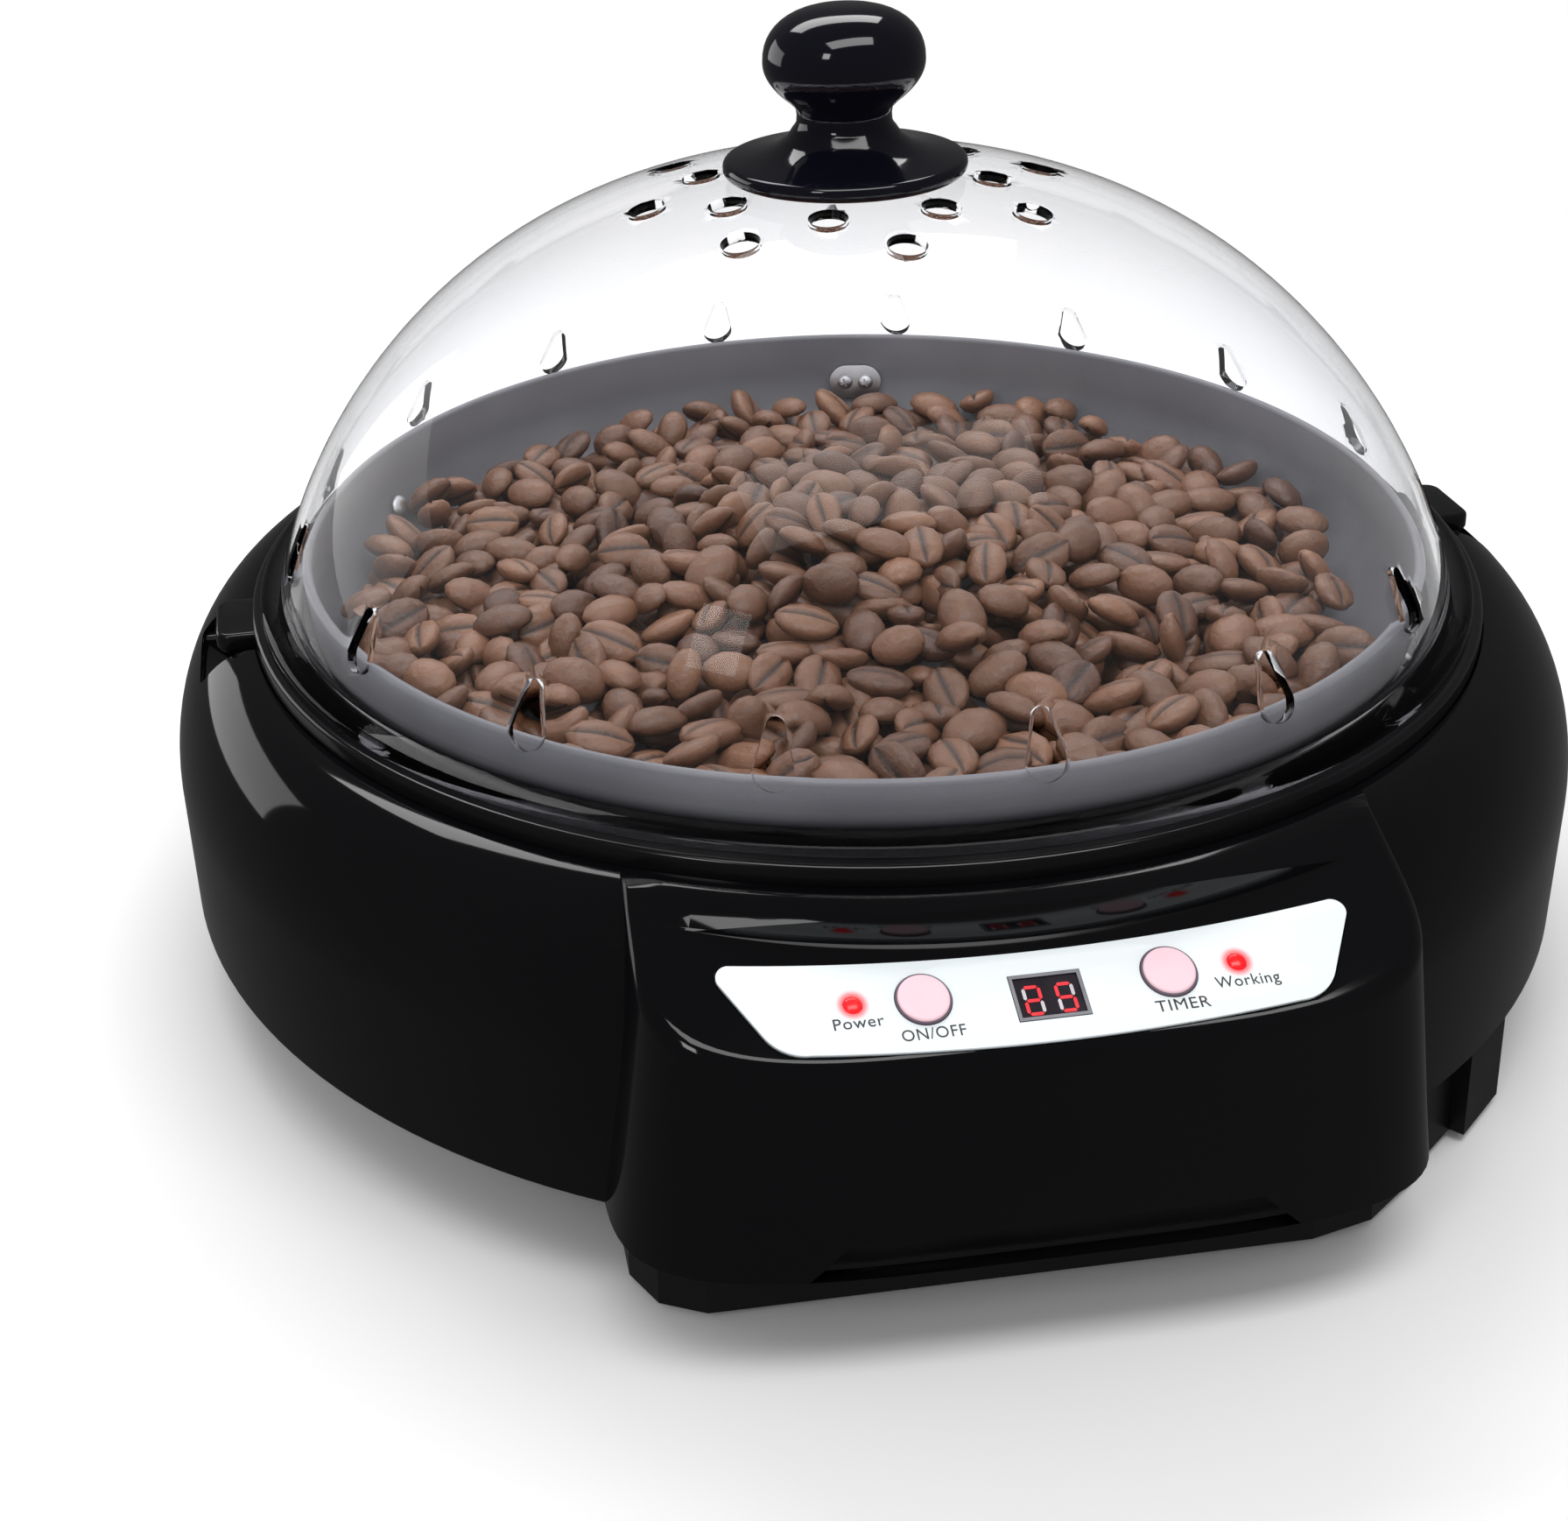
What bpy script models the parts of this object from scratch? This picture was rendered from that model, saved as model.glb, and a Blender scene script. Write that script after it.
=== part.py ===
"""Home coffee bean roaster with a lift-off clear dome, a lift-out pan and a driven stirrer.

The part stands on its feet at z = 0, with the control panel facing -Y. The pan, the dome, the
stirrer and the drive shaft share one upright axis. All lengths are in metres.
"""

import math

import bmesh
import bpy
from mathutils import Matrix, Vector

MM = 0.001
TURN = 2 * math.pi

# Clearances and cutting allowances
TOUCH_GAP = 0.3 * MM
RUNNING_GAP = 0.6 * MM
OVERRUN = 2 * MM

# Housing: round drum, rounded shoulder, well that holds the pan ring
DRUM_RADIUS = 145.2 * MM
DRUM_TAPER = 0.8 * MM
DRUM_FOOT_RADIUS = DRUM_RADIUS - DRUM_TAPER
SHELL_WALL = 3 * MM
SHELL_BOTTOM = 21 * MM
DRUM_WALL_HEIGHT = 28 * MM
SHOULDER_RUN = 17.7 * MM
SHOULDER_RISE = 29 * MM
SHOULDER_BOTTOM = SHELL_BOTTOM + DRUM_WALL_HEIGHT
LIP_RADIUS = DRUM_RADIUS - SHOULDER_RUN
LIP_HEIGHT = SHOULDER_BOTTOM + SHOULDER_RISE
LIP_LAND = 0.3 * MM
WELL_RADIUS = LIP_RADIUS - LIP_LAND
WELL_DEPTH = 10 * MM
LEDGE_WIDTH = 11.2 * MM
LEDGE_THICKNESS = 3 * MM
LEDGE_TOP = LIP_HEIGHT - WELL_DEPTH
LEDGE_RADIUS = WELL_RADIUS - LEDGE_WIDTH

# Control box on the front of the drum
BOX_PROUD = 6.8 * MM
GLAND_PROUD = 6.8 * MM
FRONT_REACH = DRUM_RADIUS + BOX_PROUD
REAR_REACH = DRUM_RADIUS + GLAND_PROUD
AXIS_Y = (FRONT_REACH - REAR_REACH) / 2
BOX_HALF_WIDTH = 72 * MM
BOX_TOP_INSET = 7 * MM
BOX_TOP_HALF_WIDTH = BOX_HALF_WIDTH - BOX_TOP_INSET
BOX_BOW = 34 * MM
BOX_TOP_BOW = 31.5 * MM
BOX_TOP_SETBACK = 0.5 * MM
BOX_START = FRONT_REACH - BOX_BOW
BOX_TOP_REACH = FRONT_REACH - BOX_TOP_SETBACK
BOX_TOP_START = BOX_TOP_REACH - BOX_TOP_BOW
BOX_ROOT = 18 * MM
BOX_REAR = BOX_START - BOX_ROOT
BOX_CORNER_POWER = 4
BOX_WALL = 2.8 * MM
PANEL_SLOPE = math.radians(25)
PANEL_SETBACK = 9 * MM
PANEL_DROP = 12.5 * MM
PANEL_CENTRE_REACH = FRONT_REACH - PANEL_SETBACK
PANEL_CENTRE_HEIGHT = LIP_HEIGHT - PANEL_DROP
PANEL_THICKNESS = 2.6 * MM
PANEL_POCKET_TOP = 9.2 * MM
NOTCH_SETBACK = 19.5 * MM
NOTCH_REACH = FRONT_REACH - NOTCH_SETBACK
NOTCH_RADIUS = 210 * MM
NOTCH_SIDE = 18 * MM
NOTCH_HALF_WIDTH = BOX_HALF_WIDTH + NOTCH_SIDE
CUTOUT_HALF_WIDTH = 38 * MM
CUTOUT_HEIGHT = 7 * MM

# Label, buttons, lamps and display on the panel
LABEL_INSET = 12.2 * MM
LABEL_HALF_WIDTH = BOX_TOP_HALF_WIDTH - LABEL_INSET
LABEL_TOP = 12.2 * MM
LABEL_SAG = 3.5 * MM
LABEL_CORNER = 2.2 * MM
LABEL_SIDE_ANGLE = math.radians(27)
LABEL_SIDE_RUN = 12.8 * MM
LABEL_FOOT_HALF_WIDTH = LABEL_HALF_WIDTH - LABEL_SIDE_RUN
LABEL_FOOT_RADIUS = 8 * MM
LABEL_FOOT_DROP = 5.4 * MM
LABEL_BELLY = 2.2 * MM
LABEL_THICKNESS = 0.8 * MM
LABEL_RECESS = 0.7 * MM
BUTTON_SPACING = 40.6 * MM
BUTTON_RISE = 2.2 * MM
BUTTON_RADIUS = 4.6 * MM
BUTTON_PROUD = 0.9 * MM
BUTTON_TRAVEL = 0.6 * MM
BUTTON_COLLAR = 1 * MM
BUTTON_COLLAR_THICKNESS = 0.8 * MM
BUTTON_STEM_RADIUS = 1.4 * MM
LAMP_OFFSET = 11.5 * MM
LAMP_SPACING = BUTTON_SPACING + 2 * LAMP_OFFSET
LAMP_RISE = 2.6 * MM
LAMP_RADIUS = 1.5 * MM
DISPLAY_WIDTH = 11.8 * MM
DISPLAY_DEPTH = 8.2 * MM
DISPLAY_RISE = 0.4 * MM
BOARD_DROP = 8.5 * MM
BOARD_THICKNESS = 1.6 * MM
BOARD_MARGIN = 12.2 * MM
BOARD_WIDTH = LAMP_SPACING + 2 * BOARD_MARGIN
BOARD_DEPTH = 11 * MM
BOARD_RISE = 1.2 * MM
SWITCH_SIZE = 6 * MM
SWITCH_HEIGHT = 3.4 * MM
BOSS_RADIUS = 2.6 * MM
BOSS_EDGE = 5 * MM
BOSS_SPACING = BOARD_WIDTH - 2 * BOSS_EDGE
SMALL_SCREW_RADIUS = 0.9 * MM
SMALL_HEAD_RADIUS = 1.9 * MM
SMALL_HEAD_HEIGHT = 1.2 * MM
SMALL_SCREW_LENGTH = 4.4 * MM

# Base tray, plinth, legs and feet
TRAY_FLOOR = 2.5 * MM
TRAY_WALL = 2 * MM
TRAY_RISE = 9 * MM
PLINTH_BOTTOM = 2 * MM
PLINTH_LEFT = 68 * MM
PLINTH_RIGHT = 76 * MM
PLINTH_SETBACK = 18 * MM
PLINTH_REACH = FRONT_REACH - PLINTH_SETBACK
PLINTH_CORNER = 12 * MM
PLINTH_SIDE_REACH = PLINTH_REACH - PLINTH_CORNER
PLINTH_DEPTH = 26 * MM
PLINTH_WALL = 2.8 * MM
LEG_WIDTH = 15.5 * MM
LEG_DEPTH = 15 * MM
LEG_SETBACK = 1.6 * MM
LEG_REACH = DRUM_RADIUS - LEG_SETBACK
LEG_ANGLE = math.radians(42)
REAR_LEG_SETBACK = 17.5 * MM
REAR_LEG_REACH = DRUM_RADIUS - REAR_LEG_SETBACK
REAR_LEG_ANGLE = math.radians(135)
WEB_INSET = 2 * MM
WEB_WIDTH = 3 * MM
FOOT_RADIUS = 5.5 * MM
FOOT_STEM_RADIUS = 2.2 * MM
FOOT_STEM_LENGTH = 7 * MM
FOOT_BOSS_RADIUS = 6.5 * MM
FRONT_FOOT_INSET = 12 * MM
FRONT_FOOT_SETBACK = 13 * MM
FRONT_FOOT_X = PLINTH_LEFT - FRONT_FOOT_INSET
FRONT_FOOT_REACH = PLINTH_REACH - FRONT_FOOT_SETBACK
COLUMN_RADIUS = 5.5 * MM
COLUMN_OFFSET = 4.1 * MM
COLUMN_REACH = LIP_RADIUS + COLUMN_OFFSET
COLUMN_ANGLE = math.radians(58)
REAR_COLUMN_ANGLE = math.radians(128)
CASE_SCREW_RADIUS = 1.7 * MM
CASE_HEAD_RADIUS = 3.4 * MM
CASE_HEAD_HEIGHT = 2.2 * MM
CASE_SCREW_LENGTH = 16 * MM

# Cord gland
GLAND_RADIUS = 5.4 * MM
GLAND_FLANGE_RADIUS = 8 * MM
GLAND_BORE_RADIUS = 3.3 * MM
GLAND_FLANGE = 2 * MM
GLAND_RISE = 1.5 * MM
GLAND_HEIGHT = SHELL_BOTTOM + TRAY_RISE + GLAND_FLANGE_RADIUS + GLAND_RISE

# Pan ring with ears, and the finger recesses round them
RING_WIDTH = 11 * MM
RING_OUTER_RADIUS = WELL_RADIUS - TOUCH_GAP
RING_INNER_RADIUS = RING_OUTER_RADIUS - RING_WIDTH
RING_PROUD = 3.7 * MM
RING_TOP = LIP_HEIGHT + RING_PROUD
RING_WALL = 2.6 * MM
EAR_HALF_WIDTH = 9 * MM
EAR_LENGTH = 7.6 * MM
EAR_REACH = RING_OUTER_RADIUS + EAR_LENGTH
EAR_DROP = 1.7 * MM
EAR_TOP = RING_TOP - EAR_DROP
EAR_THICKNESS = 4 * MM
FINGER_GAP = 4 * MM
FINGER_DEPTH = 6 * MM
RECESS_SIDE = 3.5 * MM
RECESS_HALF_WIDTH = EAR_HALF_WIDTH + RECESS_SIDE
RECESS_REACH = EAR_REACH + FINGER_GAP
RECESS_FLOOR = EAR_TOP - EAR_THICKNESS - FINGER_DEPTH
RECESS_WALL = 3 * MM

# Pan
PAN_FIT = 0.9 * MM
PAN_RADIUS = RING_INNER_RADIUS - PAN_FIT
PAN_PROUD = 9.3 * MM
PAN_TOP = RING_TOP + PAN_PROUD
PAN_WALL = 2 * MM
PAN_DEPTH = 34.5 * MM
PAN_FLOOR = PAN_TOP - PAN_DEPTH
PAN_BOWL_RUN = 33 * MM
PAN_FLOOR_RADIUS = PAN_RADIUS - PAN_BOWL_RUN
PAN_COLLAR = 9 * MM
PAN_SHOULDER = PAN_TOP - PAN_COLLAR
PAN_DRAFT = 0.6 * MM
RIVET_RADIUS = 1.5 * MM
RIVET_HEAD_RADIUS = 3 * MM
RIVET_HEAD_HEIGHT = 1.2 * MM
RIVET_DROP = 6 * MM
RIVET_HEIGHT = PAN_SHOULDER - RIVET_DROP
RIVET_ANGLE = math.radians(57.5)
RIVET_BITE = 3 * MM
RIVET_STANDOFF = 0.9 * MM
PLATE_ANGLE = math.radians(166)
PLATE_DROP = 3 * MM
PLATE_HEIGHT = PAN_SHOULDER - PLATE_DROP
PLATE_WIDTH = 13 * MM
PLATE_DEPTH = 8.5 * MM
PLATE_THICKNESS = 1 * MM
PLATE_SCREW_SPACING = 5.2 * MM
PLATE_STANDOFF = 1.1 * MM
PLATE_BITE = 1.6 * MM

# Centre bush and stirrer
SHAFT_RADIUS = 4 * MM
BUSH_WALL = 3.4 * MM
BUSH_NECK_RADIUS = SHAFT_RADIUS + RUNNING_GAP + BUSH_WALL
BUSH_FLANGE_WIDTH = 5 * MM
BUSH_FLANGE_RADIUS = BUSH_NECK_RADIUS + BUSH_FLANGE_WIDTH
BUSH_FLANGE = 2 * MM
HUB_WALL = 4.4 * MM
HUB_RADIUS = BUSH_NECK_RADIUS + RUNNING_GAP + HUB_WALL
HUB_HEIGHT = 20.5 * MM
HUB_TOP = PAN_FLOOR + PAN_WALL + HUB_HEIGHT
HUB_ROOF = 3.5 * MM
BUSH_HEADROOM = 2.5 * MM
BUSH_TOP = HUB_TOP - HUB_ROOF - BUSH_HEADROOM
ARM_WALL_GAP = 18 * MM
ARM_REACH = PAN_RADIUS - ARM_WALL_GAP
ARM_RADIUS = 2.2 * MM
ARM_RISE = 8.5 * MM
ARM_HEIGHT = PAN_FLOOR + PAN_WALL + ARM_RISE
ARM_TIP_RISE = 4.5 * MM
BLADE_THICKNESS = 1.6 * MM
BLADE_HUB_GAP = 7 * MM
BLADE_INNER_REACH = HUB_RADIUS + BLADE_HUB_GAP
BLADE_EDGE_GAP = 4 * MM
BLADE_OUTER_REACH = PAN_FLOOR_RADIUS - BLADE_EDGE_GAP
BLADE_CLEARANCE = 1.2 * MM
CAP_RADIUS = 8 * MM
CAP_HEIGHT = 7 * MM
CAP_BITE = 4 * MM

# Motor
MOTOR_RADIUS = 25 * MM
MOTOR_HEIGHT = 14 * MM
MOTOR_BOSS_RADIUS = 7 * MM
MOTOR_BOSS_HEIGHT = 3.4 * MM
MOTOR_SOCKET_DEPTH = 8 * MM
STRAP_WIDTH = 24 * MM
STRAP_THICKNESS = 1.5 * MM
POST_RADIUS = 4 * MM
POST_OFFSET = 6 * MM
POST_REACH = MOTOR_RADIUS + POST_OFFSET
STRAP_END = 5 * MM

# Heater
SHIELD_DROP = 11.3 * MM
SHIELD_FLOOR = PAN_FLOOR - SHIELD_DROP
SHIELD_THICKNESS = 0.8 * MM
SHIELD_MARGIN = 6 * MM
SHIELD_FLOOR_RADIUS = PAN_FLOOR_RADIUS + SHIELD_MARGIN
SHIELD_RIM_INSET = 4 * MM
SHIELD_RIM_RADIUS = LEDGE_RADIUS - SHIELD_RIM_INSET
SHIELD_FLANGE_INSET = 3.2 * MM
SHIELD_FLANGE_RADIUS = WELL_RADIUS - SHIELD_FLANGE_INSET
SHIELD_MOTOR_GAP = 3 * MM
SHIELD_HOLE_RADIUS = MOTOR_RADIUS + SHIELD_MOTOR_GAP
SHIELD_SCREW_RADIUS = 1.2 * MM
SHIELD_SCREW_HEAD_RADIUS = 2.6 * MM
SHIELD_SCREW_HEAD_HEIGHT = 1.4 * MM
SHIELD_SCREW_LENGTH = 3 * MM
SHIELD_SCREW_COUNT = 3
SHIELD_SCREW_PHASE = math.radians(30)
ELEMENT_INSET = 16 * MM
ELEMENT_RADIUS = PAN_FLOOR_RADIUS - ELEMENT_INSET
ELEMENT_TUBE_RADIUS = 3.2 * MM
ELEMENT_DROP = 5.9 * MM
ELEMENT_HEIGHT = PAN_FLOOR - ELEMENT_DROP
ELEMENT_GAP_ANGLE = math.radians(24)
ELEMENT_TAIL = 10.2 * MM
ELEMENT_TAIL_HEIGHT = SHIELD_FLOOR - ELEMENT_TAIL
CLIP_COUNT = 3
CLIP_WIDTH = 7 * MM
CLIP_LENGTH = 12 * MM
THERMOSTAT_RADIUS = 8 * MM
THERMOSTAT_HEIGHT = 6 * MM
THERMOSTAT_GAP = 1 * MM
THERMOSTAT_REACH = POST_REACH + STRAP_END + THERMOSTAT_GAP + THERMOSTAT_RADIUS
FUSE_RADIUS = 2.4 * MM
FUSE_LENGTH = 16 * MM
FUSE_INSET = 14 * MM
FUSE_REACH = ELEMENT_RADIUS - FUSE_INSET

# Mains board
MAINS_SIDE_INSET = 63.2 * MM
MAINS_X = MAINS_SIDE_INSET - DRUM_RADIUS
MAINS_FRONT_INSET = 97.2 * MM
MAINS_Y = MAINS_FRONT_INSET - DRUM_RADIUS
MAINS_WIDTH = 48 * MM
MAINS_DEPTH = 34 * MM
MAINS_RISE = 4.5 * MM
MAINS_HEIGHT = SHELL_BOTTOM + TRAY_FLOOR + MAINS_RISE
MAINS_STANDOFF_RADIUS = 2.5 * MM
RELAY_WIDTH = 15 * MM
RELAY_DEPTH = 19 * MM
RELAY_HEIGHT = 11 * MM
TERMINAL_WIDTH = 9 * MM
TERMINAL_DEPTH = 24 * MM
TERMINAL_HEIGHT = 9 * MM

# Dome
FLANGE_HEIGHT = RING_TOP + TOUCH_GAP
FLANGE_INSET = 1.9 * MM
FLANGE_RADIUS = RING_OUTER_RADIUS - FLANGE_INSET
FLANGE_THICKNESS = 2.2 * MM
FLANGE_WIDTH = 2.6 * MM
DOME_RADIUS = FLANGE_RADIUS - FLANGE_WIDTH
DOME_RISE = 83.6 * MM
DOME_CROWN = FLANGE_HEIGHT + DOME_RISE
DOME_SKIRT = 9 * MM
DOME_START = FLANGE_HEIGHT - DOME_SKIRT
DOME_WALL = 2 * MM
DOME_SIDE_POWER = 2 / 2.4
DOME_CROWN_POWER = 2 / 1.59
KNOB_FLANGE_RADIUS = 24.4 * MM
VENT_COUNT = 8
VENT_RADIUS = 3.85 * MM
VENT_MARGIN = 4.8 * MM
VENT_PITCH = 11.6 * MM
INNER_VENT_REACH = KNOB_FLANGE_RADIUS + VENT_MARGIN
OUTER_VENT_REACH = INNER_VENT_REACH + VENT_PITCH
VENT_PHASE = math.radians(-19)
SLOT_COUNT = 16
SLOT_RISE = 14.5 * MM
SLOT_HEIGHT = FLANGE_HEIGHT + SLOT_RISE
SLOT_LENGTH = 13 * MM
SLOT_WIDTH = 7.4 * MM
SLOT_TIP_WIDTH = 3.4 * MM
SLOT_PHASE = math.radians(-19)

# Knob
KNOB_FLANGE_THICKNESS = 3.6 * MM
KNOB_BALL_RADIUS = 16 * MM
KNOB_WAIST_RADIUS = 9.4 * MM
KNOB_WAIST_RISE = 9.9 * MM
KNOB_BALL_RISE = 21.8 * MM
KNOB_RISE = 32.6 * MM
KNOB_WAIST_HEIGHT = DOME_CROWN + KNOB_WAIST_RISE
KNOB_BALL_HEIGHT = DOME_CROWN + KNOB_BALL_RISE
KNOB_TOP = DOME_CROWN + KNOB_RISE
KNOB_HOLLOW = 1 * MM
KNOB_SCREW_RADIUS = 2 * MM
KNOB_SCREW_LENGTH = 14 * MM
KNOB_HEAD_RADIUS = 4 * MM
KNOB_HEAD_HEIGHT = 2.4 * MM
WASHER_RADIUS = 9 * MM
WASHER_THICKNESS = 1.2 * MM

# Mesh steps
LARGE_STEPS = 40
MEDIUM_STEPS = 24
SMALL_STEPS = 16
TINY_STEPS = 10


def clear_scene():
    """Remove every object and collection of the open file."""
    for obj in list(bpy.data.objects):
        bpy.data.objects.remove(obj, do_unlink=True)
    for collection in list(bpy.data.collections):
        bpy.data.collections.remove(collection)


def make_collection(name):
    """Add a collection to the scene and return it."""
    collection = bpy.data.collections.new(name)
    bpy.context.scene.collection.children.link(collection)
    return collection


def make_material(name, colour, roughness, metallic=0.0, alpha=1.0):
    """Return a Principled material in one plain colour."""
    material = bpy.data.materials.new(name)
    material.use_nodes = True
    shader = material.node_tree.nodes["Principled BSDF"]
    shader.inputs["Base Color"].default_value = (*colour, 1.0)
    shader.inputs["Roughness"].default_value = roughness
    shader.inputs["Metallic"].default_value = metallic
    shader.inputs["Alpha"].default_value = alpha
    material.diffuse_color = (*colour, alpha)
    return material


def polar(reach, angle, height=0.0):
    """Point at a reach from the roaster's axis; angle 0 faces the front, positive toward +X."""
    return Vector((reach * math.sin(angle), AXIS_Y - reach * math.cos(angle), height))


def spin(angle):
    """Rotation about Z that turns the front direction to an angle of polar()."""
    return Matrix.Rotation(angle, 4, "Z")


class Builder:
    """Collects parts and cutters, and keeps their materials."""

    def __init__(self, name):
        self.parts = make_collection(name)
        self.cutters = make_collection("Cutters")

    def part(self, name, mesh, material, place=None, parent=None):
        """Add a mesh as a named part."""
        obj = bpy.data.objects.new(name, mesh)
        self.parts.objects.link(obj)
        obj.data.materials.append(material)
        if parent is not None:
            obj.parent = parent
        if place is not None:
            obj.matrix_basis = place
        return obj

    def cutter(self, mesh, place=None, parent=None):
        """Add a mesh as a guide that only shapes other objects."""
        obj = bpy.data.objects.new("cutter", mesh)
        self.cutters.objects.link(obj)
        obj.hide_render = True
        obj.display_type = "WIRE"
        if parent is not None:
            obj.parent = parent
        if place is not None:
            obj.matrix_basis = place
        return obj

    def empty(self, name, place, parent=None):
        """Add an empty that carries other objects."""
        obj = bpy.data.objects.new(name, None)
        self.parts.objects.link(obj)
        if parent is not None:
            obj.parent = parent
        obj.matrix_basis = place
        return obj


def combine(obj, other, operation):
    """Add an exact Boolean modifier."""
    modifier = obj.modifiers.new(operation.title(), "BOOLEAN")
    modifier.operation = operation
    modifier.solver = "EXACT"
    modifier.object = other


def cut(obj, *others):
    """Take other objects away from obj."""
    for other in others:
        combine(obj, other, "DIFFERENCE")


def join(obj, *others):
    """Unite other objects with obj."""
    for other in others:
        combine(obj, other, "UNION")


def shade_round(mesh):
    """Shade a mesh smooth, with its real edges sharp."""
    mesh.shade_smooth()
    mesh.set_sharp_from_angle(angle=math.radians(35))


def mesh_from(bm, name):
    """Turn a bmesh into mesh data with outward faces."""
    bmesh.ops.recalc_face_normals(bm, faces=bm.faces)
    mesh = bpy.data.meshes.new(name)
    bm.to_mesh(mesh)
    bm.free()
    return mesh


def box_mesh(size, centre=Vector((0, 0, 0))):
    """Box with a size along each axis."""
    bm = bmesh.new()
    bmesh.ops.create_cube(bm, size=1)
    bmesh.ops.scale(bm, vec=size, verts=bm.verts)
    bmesh.ops.translate(bm, vec=centre, verts=bm.verts)
    return mesh_from(bm, "box")


def rod_mesh(radius, bottom, top, steps=SMALL_STEPS, top_radius=None):
    """Upright cylinder or cone between two heights, on the local Z axis."""
    bm = bmesh.new()
    bmesh.ops.create_cone(
        bm,
        cap_ends=True,
        segments=steps,
        radius1=radius,
        radius2=radius if top_radius is None else top_radius,
        depth=top - bottom,
    )
    bmesh.ops.translate(bm, vec=(0, 0, (top + bottom) / 2), verts=bm.verts)
    mesh = mesh_from(bm, "rod")
    shade_round(mesh)
    return mesh


def profile_mesh(points, closed):
    """Edge loop in the XZ plane, from (radius, height) pairs, for a Screw modifier."""
    bm = bmesh.new()
    verts = [bm.verts.new((radius, 0, height)) for radius, height in points]
    for first, second in zip(verts, verts[1:]):
        bm.edges.new((first, second))
    if closed:
        bm.edges.new((verts[-1], verts[0]))
    mesh = bpy.data.meshes.new("profile")
    bm.to_mesh(mesh)
    bm.free()
    return mesh


def add_screw(obj, steps):
    """Turn an object's profile once round its Z axis."""
    screw = obj.modifiers.new("Screw", "SCREW")
    screw.axis = "Z"
    screw.angle = TURN
    screw.steps = steps
    screw.render_steps = steps
    screw.use_merge_vertices = True
    screw.merge_threshold = 0.01 * MM
    screw.use_smooth_shade = True


def turned_part(build, name, points, steps, material, closed=False, place=None, parent=None):
    """Part turned from a profile that runs down its outer side."""
    obj = build.part(name, profile_mesh(points, closed), material, place, parent)
    add_screw(obj, steps)
    return obj


def turned_cutter(build, points, steps, closed=False, place=None, parent=None):
    """Guide turned from a profile that runs down its outer side."""
    obj = build.cutter(profile_mesh(points, closed), place, parent)
    add_screw(obj, steps)
    return obj


def outline_mesh(outlines, bottom, top):
    """Plate between two heights from flat outlines; outlines after the first are holes."""
    curve = bpy.data.curves.new("outline", "CURVE")
    curve.dimensions = "2D"
    curve.fill_mode = "BOTH"
    curve.extrude = (top - bottom) / 2
    for outline in outlines:
        spline = curve.splines.new("POLY")
        spline.points.add(len(outline) - 1)
        for point, (x, y) in zip(spline.points, outline):
            point.co = (x, y, 0, 1)
        spline.use_cyclic_u = True
    guide = bpy.data.objects.new("outline", curve)
    bpy.context.scene.collection.objects.link(guide)
    depsgraph = bpy.context.evaluated_depsgraph_get()
    mesh = bpy.data.meshes.new_from_object(guide.evaluated_get(depsgraph))
    bpy.data.objects.remove(guide, do_unlink=True)
    bm = bmesh.new()
    bm.from_mesh(mesh)
    bpy.data.meshes.remove(mesh)
    bmesh.ops.remove_doubles(bm, verts=bm.verts, dist=0.01 * MM)
    bmesh.ops.translate(bm, vec=(0, 0, (top + bottom) / 2), verts=bm.verts)
    return mesh_from(bm, "plate")


def tube_mesh(points, radius, resolution=2):
    """Solid round bar along points, with closed ends."""
    curve = bpy.data.curves.new("bar", "CURVE")
    curve.dimensions = "3D"
    curve.bevel_depth = radius
    curve.bevel_resolution = resolution
    curve.use_fill_caps = True
    spline = curve.splines.new("POLY")
    spline.points.add(len(points) - 1)
    for point, place in zip(spline.points, points):
        point.co = (*place, 1)
    guide = bpy.data.objects.new("bar", curve)
    bpy.context.scene.collection.objects.link(guide)
    depsgraph = bpy.context.evaluated_depsgraph_get()
    mesh = bpy.data.meshes.new_from_object(guide.evaluated_get(depsgraph))
    bpy.data.objects.remove(guide, do_unlink=True)
    bm = bmesh.new()
    bm.from_mesh(mesh)
    bpy.data.meshes.remove(mesh)
    bmesh.ops.remove_doubles(bm, verts=bm.verts, dist=0.01 * MM)
    result = mesh_from(bm, "bar")
    shade_round(result)
    return result


def loft_mesh(lower, upper, bottom, top):
    """Solid between two outlines with as many points each, at two heights."""
    bm = bmesh.new()
    low = [bm.verts.new((x, y, bottom)) for x, y in lower]
    high = [bm.verts.new((x, y, top)) for x, y in upper]
    bm.faces.new(low)
    bm.faces.new(high)
    count = len(low)
    for index in range(count):
        following = (index + 1) % count
        bm.faces.new((low[index], low[following], high[following], high[index]))
    return mesh_from(bm, "loft")


def arc_points(centre, radius, start, end, count):
    """Points on an arc in the XY plane, from one angle to another, both ends in."""
    points = []
    for index in range(count):
        angle = start + (end - start) * index / (count - 1)
        points.append((centre[0] + radius * math.cos(angle), centre[1] + radius * math.sin(angle)))
    return points


def ellipse_quarter(centre, half_width, half_height, count, start=0.0):
    """(radius, height) pairs from an ellipse's top toward its outer side."""
    points = []
    for index in range(count):
        angle = start + (math.pi / 2 - start) * index / (count - 1)
        points.append((centre[0] + half_width * math.sin(angle), centre[1] + half_height * math.cos(angle)))
    return points


def bow_outline(half_width, start, reach, rear, count=17):
    """Outline of the control box: straight sides, then one bowed front with full corners."""
    points = [(-half_width, AXIS_Y - rear)]
    bow = reach - start
    for index in range(count):
        angle = math.pi * index / (count - 1)
        across = math.copysign(abs(math.cos(angle)) ** (2 / BOX_CORNER_POWER), -math.cos(angle))
        along = abs(math.sin(angle)) ** (2 / BOX_CORNER_POWER)
        points.append((half_width * across, AXIS_Y - start - bow * along))
    points.append((half_width, AXIS_Y - rear))
    return points


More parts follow.
